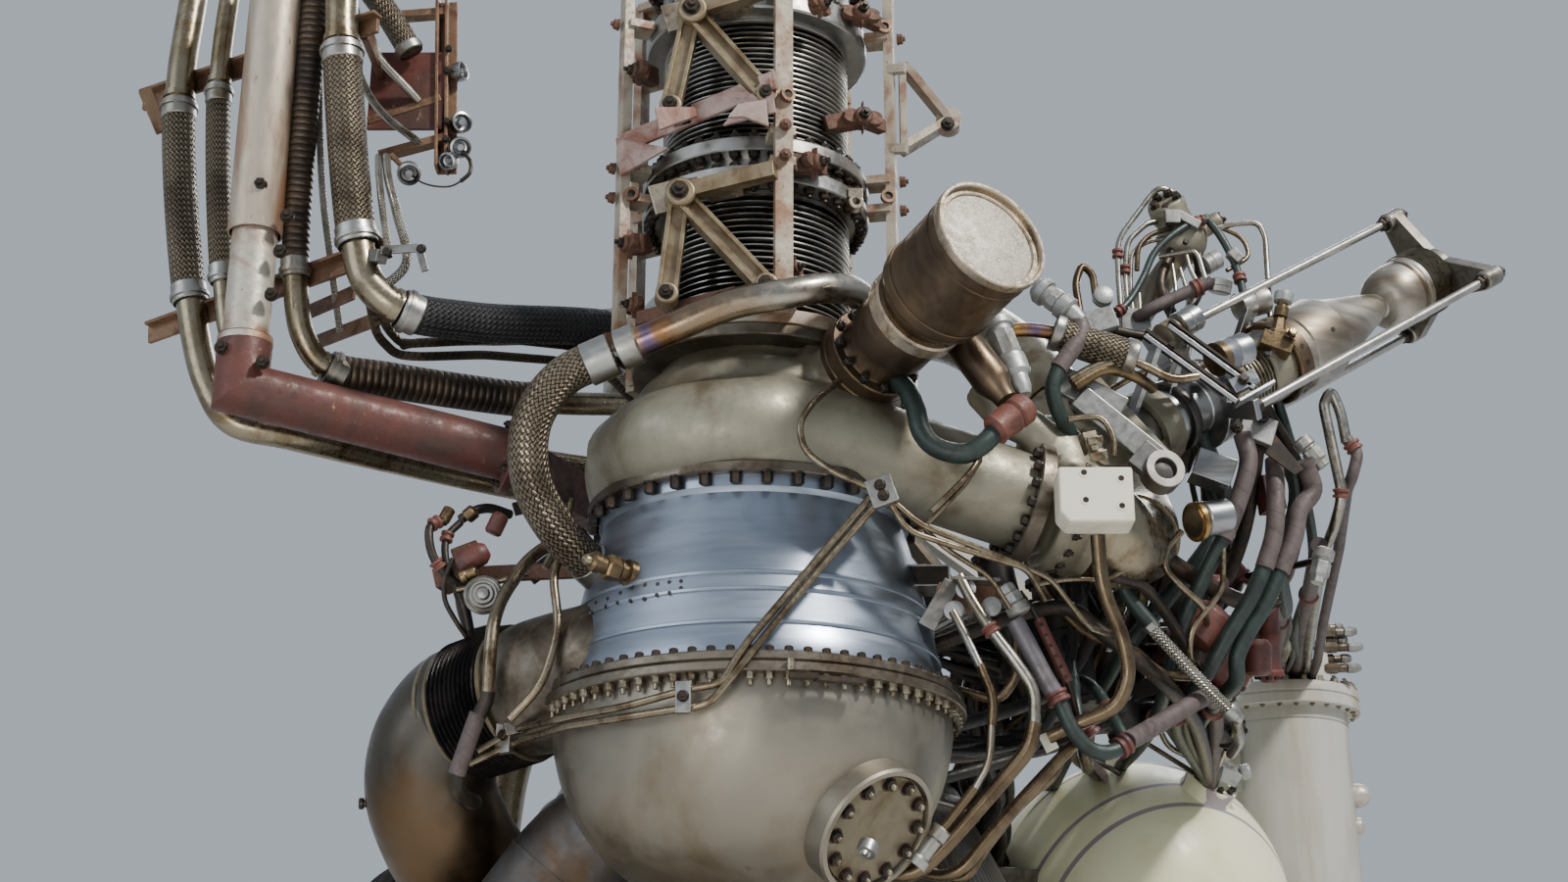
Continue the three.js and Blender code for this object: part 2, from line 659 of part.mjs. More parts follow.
// Spider with its three arms and the tie rods fixed in their tips
function actuatorSpider() {
  const hub = rod(stationOf(BELLOWS_END + GAP), stationOf(BELLOWS_END + 30), 50, 16);
  const arms = TIE_RODS.map(([angle]) => {
    const tip = aroundActuator(BELLOWS_END + 16, angle, SPIDER_TIP_RADIUS + 12);
    return bar(stationOf(BELLOWS_END + 16), tip, 22, 36, ACTUATOR_AXIS);
  });
  const rods = TIE_RODS.map(([angle, start]) => {
    const from = aroundActuator(start, angle, SPIDER_TIP_RADIUS);
    return rod(from, aroundActuator(BELLOWS_END + 36, angle, SPIDER_TIP_RADIUS), TIE_ROD_RADIUS, 8);
  });
  return fuse(hub, ...arms, ...rods);
}

// Clamp plate round the body that holds the near ends of the tie rods
function actuatorClamp() {
  const saddle = ring(stationOf(152), ACTUATOR_AXIS, 48, 78, 12, 16);
  const arms = TIE_RODS.slice(0, 2).map(([angle]) => {
    const tip = aroundActuator(158, angle, SPIDER_TIP_RADIUS + 14);
    return bar(aroundActuator(158, angle, 64), tip, 12, 34, ACTUATOR_AXIS);
  });
  const post = bar(aroundActuator(158, 264, 64), aroundActuator(158, 264, SPIDER_TIP_RADIUS + 14), 12, 34,
    ACTUATOR_AXIS);
  const rail = bar(aroundActuator(152, 264, SPIDER_TIP_RADIUS), aroundActuator(269, 264, SPIDER_TIP_RADIUS),
    24, 24, [0, 0, 1]);
  return fuse(saddle, ...arms, post, rail);
}

add("actuator_body", spindle(ACTUATOR_BODY, 20, ACTUATOR_START, ACTUATOR_AXIS), "polished");
add("actuator_cone", spindle(ACTUATOR_CONE, 20, ACTUATOR_START, ACTUATOR_AXIS), "polished");
add("actuator_bellows", actuatorBellows(), "silver");
add("actuator_spider", actuatorSpider(), "bronze");
add("actuator_clamp", actuatorClamp(), "silver");

const actuatorShell = spindle(grown(ACTUATOR_BODY), 20, ACTUATOR_START, ACTUATOR_AXIS);

// Fork casting that carries the actuator's cap from the discharge valve
function actuatorFork() {
  const collar = ring(stationOf(30), ACTUATOR_AXIS, 50.4, 64, 40, 20);
  const arm = bar([508, -856, 2400], [655, -805, 2420], 60, 26, [0, 0, 1]);
  const prong = bar([520, -862, 2500], [640, -852, 2360], 40, 44, [0, 0, 1]);
  return carve(fuse(collar, arm, prong), actuatorShell, dischargeValve(GAP), mainDuct(GAP));
}

add("actuator_fork", actuatorFork(), "casting");

// Small valves over and under the actuator, each on a stalk to its body: barrel ends and station
const PILOT_VALVES = [
  { name: "pilot_valve_upper", from: [772, -866, 2566], to: [723, -890, 2538], station: 225 },
  { name: "pilot_valve_lower", from: [690, -812, 2300], to: [745, -770, 2330], station: 133 },
];
const PILOT_RADIUS = 30;

function pilotValve({ from, to, station }) {
  const barrel = rod(from, to, PILOT_RADIUS, 16);
  const cap = rod(to, along(to, direction(from, to), 14), PILOT_RADIUS + 5, 16);
  const stalk = bar(between(from, to, 0.5), stationOf(station), 28, 16, ACTUATOR_AXIS);
  return carve(fuse(barrel, cap, stalk), actuatorShell);
}

for (const valve of PILOT_VALVES) {
  add(valve.name, pilotValve(valve), "polished");
}

// Valve cluster over the main duct: a rising column, a cross block and the top block
function valveCluster() {
  const route = [[560, -560, 2560], [600, -580, 2680], [660, -600, 2800], [722, -620, 2900]];
  const column = tube(route, 34, 10, 5);
  const top = block([727, -620, 2920], [96, 76, 84]);
  const middle = block([640, -610, 2740], [110, 90, 90]);
  const shelf = bar([560, -600, 2700], [800, -600, 2790], 70, 16, [0, 1, 0]);
  return carve(fuse(column, top, middle, shelf), mainDuct(GAP));
}

add("valve_cluster", valveCluster(), "casting");

// Start sphere on a saddle against the bell, with a boss on its upper side
const SPHERE_BOSS_TOP = [875, 137, 2078];

function startSphere() {
  const boss = rod(SPHERE_CENTRE, SPHERE_BOSS_TOP, 52, 16);
  return fuse(ball(SPHERE_CENTRE, SPHERE_RADIUS, 24), boss);
}

const sphereShell = ball(SPHERE_CENTRE, SPHERE_RADIUS + GAP, 24);
const bellShell = spindle([[656, 1400], [551, 1650], [456, 1850], [381, 2000], [319, 2120]], ROUND);
const barrelShell = spindle([[208, 2390], [219, 2460], [263, 2580], [269, 2640], [269, 2799]], 32);

function sphereSaddle() {
  const outward = [SPHERE_CENTRE[0], SPHERE_CENTRE[1], 0];
  const saddle = bar(along([0, 0, 1830], outward, 440), along([0, 0, 1830], outward, 560), 200, 150);
  return carve(saddle, bellShell, sphereShell);
}

function sphereStay() {
  return carve(rod([700, 300, 2100], [235, 110, 2640], 20, 10), sphereShell, barrelShell);
}

add("start_sphere", startSphere(), "sphere");
add("sphere_saddle", sphereSaddle(), "flange");
add("sphere_stay", sphereStay(), "flange");

// Grey tank behind the sphere, with a flanged lid, held by a saddle on its hidden side
const TANK_LID_Z = 2361;
const TANK_LID_RADIUS = 171;
const TANK_LID_DEPTH = 49;
const TANK_LOW_Z = 1560;

function greyTank() {
  const profile = [
    [70, TANK_LOW_Z], [120, TANK_LOW_Z + 40], [TANK_RADIUS, TANK_LOW_Z + 110],
    [TANK_RADIUS, TANK_LID_Z - TANK_LID_DEPTH], [TANK_LID_RADIUS, TANK_LID_Z - TANK_LID_DEPTH + 2],
    [TANK_LID_RADIUS, TANK_LID_Z - 4], [TANK_LID_RADIUS - 12, TANK_LID_Z],
  ];
  return spindle(profile, 24, [...TANK_CENTRE, 0]);
}

function tankBracket() {
  const [x, y] = TANK_CENTRE;
  const saddle = carve(ring([x, y, 2135], [0, 0, 1], TANK_RADIUS + GAP, TANK_RADIUS + 12, 110, 24),
    block([x + 60, y, 2190], [350, 400, 160]));
  const arm = bar([206, 182, 2700], [x - 130, y - 90, 2225], 60, 30, [0, 0, 1]);
  const tankCore = spindle([[TANK_RADIUS + GAP, 2000], [TANK_RADIUS + GAP, 2320]], 24, [x, y, 0]);
  return carve(fuse(saddle, arm), tankCore, barrelShell);
}

add("grey_tank", greyTank(), "tank");
add("tank_bracket", tankBracket(), "flange");

// Support post, its elbow and round beam to the chamber, and the clamp bars that carry the lines
const POST_FOOT = [-805, -850, 2560];
const BEAM_CORNER = [-805, -850, 2503];
const BEAM_RADIUS = 43;
const POST_TOP = [-805, -850, 3300];
const BEAM_END = [-399, -690, 2449];
const UPPER_BAR = [[-1079, -640, 3125], [-625, -880, 3140]];
const LOWER_BAR = [[-1020, -655, 2676], [-590, -868, 2732]];

function linePost(extra = 0) {
  const post = rod(POST_FOOT, POST_TOP, POST_RADIUS + extra, 16);
  const bars = [UPPER_BAR, LOWER_BAR].map(([from, to]) => {
    return bar(from, to, 30 + extra, 22 + extra, [0, 0, 1]);
  });
  const ties = [3132, 2704].map((height) => {
    return block([POST_FOOT[0], POST_FOOT[1] + 50, height], [50 + extra, 60 + extra, 28 + extra]);
  });
  return fuse(post, ...bars, ...ties);
}

function lineBeam() {
  const beam = rod(along(BEAM_CORNER, direction(BEAM_END, BEAM_CORNER), 30), BEAM_END, BEAM_RADIUS, 16);
  const shoe = rod(along(BEAM_CORNER, [0, 0, -1], 30), [POST_FOOT[0], POST_FOOT[1], 2586], BEAM_RADIUS, 16);
  const plateEnd = bar(BEAM_END, along(BEAM_END, [0.93, 0.366, 0], 18), 110, 80, [0, 0, 1]);
  const bracket = bar([-392, -684, 2440], [-140, -150, 2440], 80, 40, [0, 0, 1]);
  const throat = spindle(grown([[262, 2230], [218, 2330], [207, 2390], [218, 2460], [262, 2580]], 1), 32);
  return carve(fuse(beam, shoe, plateEnd, bracket), linePost(1), throat);
}

// Four service lines from the top down past the clamp bars and in to the chamber
const LINES = [
  { name: "service_line_a", radius: 29, steps: 16, route: [[-985, -722, 3300], [-991, -722, 3082],
    [-936, -722, 2706], [-892, -722, 2558], [-850, -716, 2500], [-760, -690, 2484],
    [-560, -520, 2488], [-360, -330, 2503], [-205, -180, 2520]] },
  { name: "service_line_b", radius: 21, steps: 16, route: [[-910, -762, 3300], [-914, -760, 3091],
    [-875, -757, 2726], [-850, -750, 2620], [-790, -700, 2560], [-560, -480, 2560],
    [-340, -280, 2580], [-180, -170, 2600]] },
  { name: "service_line_c", radius: 23, steps: 16, route: [[-741, -852, 3300], [-741, -850, 3098],
    [-740, -826, 2705], [-724, -804, 2610], [-690, -780, 2568], [-600, -730, 2566],
    [-364, -585, 2584], [-220, -420, 2640], [-150, -200, 2700]] },
  { name: "service_line_d", radius: 33, steps: 16, route: [[-690, -897, 3300], [-679, -895, 3091],
    [-629, -889, 2732], [-608, -886, 2668], [-560, -870, 2632], [-460, -800, 2640],
    [-241, -600, 2708], [-150, -420, 2730], [-110, -220, 2730]] },
];

for (const line of LINES) {
  add(line.name, carve(tube(line.route, line.radius, 8, line.steps), barrelShell), "braid");
}

const lineCutters = LINES.map((line) => tube(line.route, line.radius + 1, 8, line.steps));
add("line_post", carve(linePost(), ...lineCutters), "galvanised");
add("line_beam", carve(lineBeam(), ...lineCutters), "primer");

// Connector panel: upright bar, rails and a plate, tied back to the upper clamp bar
function panelFrame() {
  const upright = bar([-545, -700, 3300], [-529, -700, 2960], 32, 18, [1, 0, 0]);
  const rails = [[[-668, -700, 3052], [-545, -700, 3098]], [[-645, -700, 2989], [-530, -700, 3024]],
    [[-640, -700, 3262], [-545, -700, 3270]]].map(([from, to]) => bar(from, to, 22, 14, [0, 1, 0]));
  const sheet = block([-604, -706, 3112], [130, 8, 150]);
  const tie = bar([-650, -700, 3150], [-650, -860, 3140], 40, 12, [0, 0, 1]);
  const couplings = [[-586, 2962], [-503, 3044]].map(([x, z]) => {
    return rod([x, -735, z], [x, -690, z], 19, 14);
  });
  const arm = bar([-545, -700, 3044], [-495, -700, 3044], 20, 14, [0, 1, 0]);
  const stem = bar([-586, -700, 2950], [-586, -700, 3010], 20, 14, [0, 1, 0]);
  return carve(fuse(upright, ...rails, sheet, tie, ...couplings, arm, stem), linePost(1), ...lineCutters);
}

add("panel_frame", panelFrame(), "rust");

// Fuel turbopump on the far side, with its inlet duct, gas generator and feed duct
const FUEL_PUMP_PROFILE = [
  [110, 1730], [215, 1745], [245, 1780], [245, 1940], [205, 1950], [205, 2180], [222, 2184],
  [222, 2210], [205, 2214], [205, 2440], [242, 2450], [242, 2560], [190, 2575], [160, 2690],
];

// Hot gas path: casing inlet, black bellows, elbow and the duct round the bell
const INLET_START = [-176, -903, 2061];
const INLET_END = [-366, -766, 2032];
const INLET_AXIS = direction(INLET_START, INLET_END);
const INLET_BELLOWS_LENGTH = 88;
const ELBOW_START = along(INLET_END, INLET_AXIS, INLET_BELLOWS_LENGTH + 1);
const ELBOW_PATH = [ELBOW_START, along(ELBOW_START, INLET_AXIS, 24), [-495, -676, 1972],
  [-505, -648, 1912], [-485, -608, 1850], [-456, -554, 1800]];
const CROSSOVER_PATH = [[-455, -551, 1797], [-483, -468, 1762], [-580, -310, 1735], [-655, -90, 1720],
  [-655, 190, 1720], [-540, 470, 1755], [-360, 660, 1815], [-190, 740, 1860]];
const EXHAUST_PATH = [[-160, -750, 1880], [-270, -716, 1800], [-350, -706, 1700], [-440, -700, 1560],
  [-500, -684, 1420], [-510, -648, 1240]];
const EXHAUST_RADIUS = 82;

const bowlShell = spindle(grown(BOWL_PROFILE, 1), 28, PUMP_AXIS);
const FLANGE_PROFILE = [[FLANGE_RADIUS, FLANGE_LOW_Z], [FLANGE_RADIUS, FLANGE_HIGH_Z]];
const flangeShell = spindle(grown(FLANGE_PROFILE, 1), 40, PUMP_AXIS);
const exhaustRingShell = ringManifold(EXHAUST_RING_Z, EXHAUST_RING_RADIUS + 1);
const hoseShell = tube(BLEED_HOSE, 34.5, 10, 12);

function turbineInlet() {
  return carve(cone(INLET_START, INLET_END, 92, 106, 20), casingShell, flangeShell, bowlShell, hoseShell);
}

add("turbine_inlet", turbineInlet(), "casting");

function crossoverBellows() {
  const folds = 5;
  const step = (INLET_BELLOWS_LENGTH - GAP) / (folds * 2);
  const profile = Array.from({ length: folds * 2 + 1 }, (unused, i) => [i % 2 ? 109 : 100, GAP + i * step]);
  return carve(spindle(profile, 20, INLET_END, INLET_AXIS), flangeShell);
}

add("crossover_bellows", crossoverBellows(), "bellows");

function crossoverElbow(extra = 0) {
  const left = along(INLET_END, INLET_AXIS, INLET_BELLOWS_LENGTH + GAP);
  const path = extra > 0 ? longer(ELBOW_PATH, extra) : ELBOW_PATH;
  return carve(tube(path, CROSSOVER_RADIUS + extra, 14, 8), rod(INLET_END, left, 134, 16));
}

function crossoverDuct() {
  const duct = tube(CROSSOVER_PATH, CROSSOVER_RADIUS - 4, 12, 14);
  return carve(duct, crossoverElbow(1), spindle(grown(FUEL_PUMP_PROFILE, 1), 22, [0, FUEL_PUMP_Y, 0]));
}

function exhaustDuct() {
  return carve(tube(EXHAUST_PATH, EXHAUST_RADIUS, 14, 9), bowlShell, exhaustRingShell);
}

const GENERATOR_PATH = [[150, 860, 1860], [300, 900, 1880], [350, 915, 1960], [350, 915, 2120]];
const FUEL_OUTLET_PATH = [[-120, 640, 2505], [-260, 680, 2505], [-360, 720, 2490]];

function fuelTurbopump(extra = 0) {
  const generator = tube(GENERATOR_PATH, 74, 12, 5);
  const outlet = tube(FUEL_OUTLET_PATH, 66 + extra, 12, 3);
  return fuse(spindle(FUEL_PUMP_PROFILE, 22, [0, FUEL_PUMP_Y, 0]), generator, outlet);
}

function fuelInletDuct() {
  const profile = [[176, 2690.4], [176, 2716], [150, 2718]];
  for (let z = 2740; z < 3050; z += 62) {
    profile.push([142, z], [154, z + 31]);
  }
  profile.push([150, 3070], [176, 3072], [176, 3110], [150, 3112], [150, 3262], [190, 3264],
    [190, INLET_FACE_Z], [138, INLET_FACE_Z], [138, 3230]);
  return spindle(profile, 20, [0, FUEL_PUMP_Y, 0]);
}

const FUEL_FEED_PATH = [[-364, 722, 2489], [-380, 728, 2486], [-450, 740, 2440],
  [-560, 740, 2280], [-600, 730, 2000], [-610, 700, 1750], [-590, 620, 1560], [-530, 530, 1440]];

function fuelFeedDuct() {
  const pipe = tube(FUEL_FEED_PATH, 62, 12, 12);
  return carve(pipe, ringManifold(FUEL_RING_Z, FUEL_RING_RADIUS + 1), exhaustRingShell);
}

add("fuel_turbopump", fuelTurbopump(), "casting");
add("fuel_inlet_duct", fuelInletDuct(), "silver");
add("fuel_feed_duct", fuelFeedDuct(), "pipe");
add("crossover_elbow", crossoverElbow(), "heat");
add("crossover_duct", crossoverDuct(), "heat");
add("exhaust_duct", exhaustDuct(), "silver");

// Sensor block on a bar from the turbine casing
function sensorBlock() {
  const body = block([-462, -735, 2232], [80, 60, 70]);
  const dome = rod([-480, -760, 2240], [-480, -800, 2240], 30, 12);
  const arm = bar([-440, -742, 2232], [-238, -796, 2225], 40, 20, [0, 0, 1]);
  return carve(fuse(body, dome, arm), casingShell);
}

add("sensor_block", sensorBlock(), "rust");

export default engine;
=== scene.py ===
import math

import bmesh
import bpy
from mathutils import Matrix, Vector


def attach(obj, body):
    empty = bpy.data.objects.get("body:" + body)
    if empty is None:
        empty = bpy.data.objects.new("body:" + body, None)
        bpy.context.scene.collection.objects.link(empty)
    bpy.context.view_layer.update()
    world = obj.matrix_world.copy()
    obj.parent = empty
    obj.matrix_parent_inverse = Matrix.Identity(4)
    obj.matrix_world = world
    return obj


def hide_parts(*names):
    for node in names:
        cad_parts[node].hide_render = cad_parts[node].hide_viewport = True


# Places and sizes that the whole scene shares, in mm
GIMBAL_FACE = 3380.0
PUMP = Vector((0.0, -800.0, 0.0))
FUEL_PUMP = Vector((0.0, 800.0, 0.0))
UP = Vector((0.0, 0.0, 1.0))

# The camera stands as the photographer did, and looks up along +Y
CAMERA_PLACE = Vector((47.0, -4000.0, 1270.0))
CAMERA_PITCH = math.radians(20.0)
CAMERA_LENS = 49.5
SENSOR_WIDTH = 36.0
IMAGE_WIDTH = 1600.0
IMAGE_CENTRE = (800.0, 450.0)
FOCAL_PIXELS = CAMERA_LENS / SENSOR_WIDTH * IMAGE_WIDTH


def seen(u, v, depth):
    """The place in mm on the plane y = depth that the camera sees at pixel u, v."""
    across = (u - IMAGE_CENTRE[0]) / FOCAL_PIXELS
    rise = (IMAGE_CENTRE[1] - v) / FOCAL_PIXELS
    ahead = math.cos(CAMERA_PITCH) - rise * math.sin(CAMERA_PITCH)
    up = math.sin(CAMERA_PITCH) + rise * math.cos(CAMERA_PITCH)
    reach = (depth - CAMERA_PLACE.y) / ahead
    return Vector((CAMERA_PLACE.x + reach * across, depth, CAMERA_PLACE.z + reach * up))


def near(u, v, radius):
    """The nearest place seen at pixel u, v on an upright cylinder round the pump's axis."""
    ray = seen(u, v, PUMP.y) - CAMERA_PLACE
    start = CAMERA_PLACE - PUMP
    along = ray.x**2 + ray.y**2
    ahead = ray.x * start.x + ray.y * start.y
    inside = max(ahead**2 - along * (start.x**2 + start.y**2 - radius**2), 0.0)
    return CAMERA_PLACE + ray * ((-ahead - math.sqrt(inside)) / along)


def in_frame(point):
    """A place in mm over the exit plane, as metres in the frame."""
    return Vector((point[0], point[1], point[2] - GIMBAL_FACE)) / 1000.0


# Materials: each is a base, a stain and small spots, mixed by noise, with uneven gloss and bump

def tone(red, green, blue):
    """A colour from its 0 to 255 values, as the shader's linear values."""
    linear = [(c / 255.0 / 12.92) if c < 11 else ((c / 255.0 + 0.055) / 1.055) ** 2.4
              for c in (red, green, blue)]
    return (*linear, 1.0)


class Nodes:
    """Short calls that add shader nodes to one material."""

    def __init__(self, name):
        self.material = bpy.data.materials.new(name)
        self.material.use_nodes = True
        self.tree = self.material.node_tree
        self.shader = self.tree.nodes["Principled BSDF"]

    def link(self, source, socket):
        """Joins an output to an input."""
        self.tree.links.new(source, socket)

    def put(self, socket, value):
        """Gives a socket a link or a plain value."""
        if isinstance(value, bpy.types.NodeSocket):
            self.link(value, socket)
        else:
            socket.default_value = value

    def math(self, operation, first, second=0.0):
        """One step of arithmetic on numbers or sockets."""
        node = self.tree.nodes.new("ShaderNodeMath")
        node.operation = operation
        self.put(node.inputs[0], first)
        self.put(node.inputs[1], second)
        return node.outputs[0]

    def place(self, stretch=(1.0, 1.0, 1.0)):
        """Object coordinates, squeezed along each axis."""
        source = self.tree.nodes.new("ShaderNodeTexCoord")
        mapping = self.tree.nodes.new("ShaderNodeMapping")
        mapping.inputs["Scale"].default_value = stretch
        self.link(source.outputs["Object"], mapping.inputs["Vector"])
        return mapping.outputs[0]

    def wrap(self):
        """Share of the way round a tube, and metres along it."""
        source = self.tree.nodes.new("ShaderNodeUVMap")
        source.uv_map = "wrap"
        parts = self.tree.nodes.new("ShaderNodeSeparateXYZ")
        self.link(source.outputs[0], parts.inputs[0])
        return parts.outputs[0], parts.outputs[1]

    def noise(self, coords, scale, detail=5.0, rough=0.55, warp=0.0):
        """Cloudy values from 0 to 1; scale is their number per metre."""
        node = self.tree.nodes.new("ShaderNodeTexNoise")
        self.link(coords, node.inputs["Vector"])
        node.inputs["Scale"].default_value = scale
        node.inputs["Detail"].default_value = detail
        node.inputs["Roughness"].default_value = rough
        node.inputs["Distortion"].default_value = warp
        return node.outputs["Fac"]

    def span(self, value, low, high, start=0.0, end=1.0):
        """Maps low..high to start..end, smoothly and held at both ends."""
        node = self.tree.nodes.new("ShaderNodeMapRange")
        node.interpolation_type = "SMOOTHSTEP"
        self.link(value, node.inputs["Value"])
        node.inputs["From Min"].default_value = low
        node.inputs["From Max"].default_value = high
        node.inputs["To Min"].default_value = start
        node.inputs["To Max"].default_value = end
        return node.outputs["Result"]

    def mix(self, share, first, second):
        """The first colour at share 0 and the second at share 1."""
        node = self.tree.nodes.new("ShaderNodeMix")
        node.data_type = "RGBA"
        self.put(node.inputs["Factor"], share)
        self.put(node.inputs["A"], first)
        self.put(node.inputs["B"], second)
        return node.outputs["Result"]

    def bump(self, height, distance, under=None):
        """Normals bent by a height, over those that lie under it."""
        node = self.tree.nodes.new("ShaderNodeBump")
        node.inputs["Distance"].default_value = distance
        self.link(height, node.inputs["Height"])
        if under is not None:
            self.link(under, node.inputs["Normal"])
        return node.outputs["Normal"]


def braid_pattern(nodes, colour, normal, around=22, pitch=0.0105):
    """Crossing strands: two sets of diagonals that pass over and under each other."""
    turn, run = nodes.wrap()
    steep = nodes.math("DIVIDE", run, pitch)
    rising = nodes.math("ADD", nodes.math("MULTIPLY", turn, around), steep)
    falling = nodes.math("SUBTRACT", nodes.math("MULTIPLY", turn, around), steep)
    crest = [nodes.math("SINE", nodes.math("MULTIPLY", nodes.math("FRACT", strand), math.pi))
             for strand in (rising, falling)]
    steps = nodes.math("ADD", nodes.math("FLOOR", rising), nodes.math("FLOOR", falling))
    odd = nodes.math("MULTIPLY", nodes.math("FRACT", nodes.math("MULTIPLY", steps, 0.5)), 2.0)
    over = nodes.math("MULTIPLY", crest[0], odd)
    under = nodes.math("MULTIPLY", crest[1], nodes.math("SUBTRACT", 1.0, odd))
    height = nodes.math("ADD", over, under)
    # Darker where the strands dip under each other: painted shade in the weave
    gaps = nodes.span(height, 0.15, 0.75)
    shaded = nodes.mix(gaps, tone(30, 27, 24), colour)
    return shaded, nodes.bump(height, 0.0025, under=normal)


RING_PITCH = 0.012


def rings_pattern(nodes, colour, normal):
    """Turns of tape or ribs across a hose."""
    _, run = nodes.wrap()
    wave = nodes.math("FRACT", nodes.math("DIVIDE", run, RING_PITCH))
    height = nodes.math("SINE", nodes.math("MULTIPLY", wave, math.pi))
    # Darker in the grooves between the ribs: painted shade
    shaded = nodes.mix(nodes.span(height, 0.05, 0.5), tone(30, 26, 24), colour)
    return shaded, nodes.bump(height, 0.003, under=normal)


# Temper colours: where each fades out and is full, in metres from the pipe's start, and colour
TEMPER_BANDS = [(0.30, 0.16, (122, 96, 66)), (0.125, 0.10, (120, 82, 52)), (0.095, 0.075, (94, 84, 120)),
                (0.075, 0.05, (176, 134, 62)), (0.045, 0.03, (88, 118, 150))]


def heat_pattern(nodes, colour, normal):
    """Temper colours that fade away from the start of a pipe."""
    _, run = nodes.wrap()
    blotch = nodes.noise(nodes.place(), 24.0)
    reach = nodes.math("ADD", run, nodes.math("MULTIPLY", blotch, 0.05))
    tinted = colour
    for far, full, shade in TEMPER_BANDS:
        tinted = nodes.mix(nodes.span(reach, far, full, 0.0, 0.75), tinted, tone(*shade))
    return tinted, normal


def scorch_and_shade_pattern(nodes, colour, normal):
    """Heat colours from grey-blue at the top to red-brown lower down, and dark red-brown underneath that is
    partly painted shade.
    """
    parts = nodes.tree.nodes.new("ShaderNodeSeparateXYZ")
    nodes.link(nodes.place(), parts.inputs[0])
    wander = nodes.math("MULTIPLY", nodes.noise(nodes.place(), 5.0, 3.0), 0.16)
    height = nodes.math("ADD", parts.outputs[2], wander)
    warmed = nodes.mix(nodes.span(height, -1.36, -1.5, 0.0, 0.8), colour, tone(100, 80, 58))
    # The darkest band, underneath, is partly heat colour and partly painted shade
    return nodes.mix(nodes.span(height, -1.5, -1.66, 0.0, 0.85), warmed, tone(66, 50, 44)), normal


TAPE_LAP = 0.03


def tape_pattern(nodes, colour, normal):
    """Slanted laps of thin tape round a cable."""
    turn, run = nodes.wrap()
    lap = nodes.math("FRACT", nodes.math("ADD", nodes.math("DIVIDE", run, TAPE_LAP), turn))
    # A dark line at the step of each lap: painted shade under the overlapping turn
    shaded = nodes.mix(nodes.span(lap, 0.0, 0.1, 0.55, 1.0), tone(40, 36, 34), colour)
    return shaded, nodes.bump(lap, 0.0006, under=normal)


SPHERE_CENTRE = Vector((744.0, 325.0, 1847.0))
STRIPE_AXIS = Vector((-0.303, 0.837, 0.456)).normalized()
# Stripes: low and high edge in metres from the sphere's middle, and the softness of an edge
STRIPES = ((-0.0817, -0.0737), (-0.1387, -0.1307))
STRIPE_EDGE = 0.001


def stripe_pattern(nodes, colour, normal):
    """Two thin bands round the sphere, square to one slanted axis."""
    geometry = nodes.place()
    away = nodes.tree.nodes.new("ShaderNodeVectorMath")
    away.operation = "DOT_PRODUCT"
    nodes.link(geometry, away.inputs[0])
    away.inputs[1].default_value = STRIPE_AXIS
    height = nodes.math("SUBTRACT", away.outputs["Value"], in_frame(SPHERE_CENTRE).dot(STRIPE_AXIS))
    painted = colour
    for low, high in STRIPES:
        rising = nodes.span(height, low - STRIPE_EDGE, low)
        falling = nodes.span(height, high + STRIPE_EDGE, high)
        painted = nodes.mix(nodes.math("MULTIPLY", rising, falling), painted, tone(146, 136, 138))
    return painted, normal


def speckle_pattern(nodes, colour, normal):
    """Fine grain of a blasted plate."""
    grain = nodes.noise(nodes.place(), 420.0, 2.0)
    return nodes.mix(nodes.span(grain, 0.42, 0.62), colour, tone(205, 200, 188)), normal


def fine_braid_pattern(nodes, colour, normal):
    """The braid of a thin cable: fewer and closer strands."""
    return braid_pattern(nodes, colour, normal, around=10, pitch=0.0065)


PATTERNS = {"braid": braid_pattern, "fine_braid": fine_braid_pattern, "rings": rings_pattern,
            "heat": heat_pattern, "stripe": stripe_pattern, "speckle": speckle_pattern,
            "scorch": scorch_and_shade_pattern, "tape": tape_pattern}

# How stains are drawn out along x, y and z
EVEN = (1.0, 1.0, 1.0)
DRAWN = (1.0, 1.0, 0.14)
ROLLED = (0.12, 0.12, 1.0)

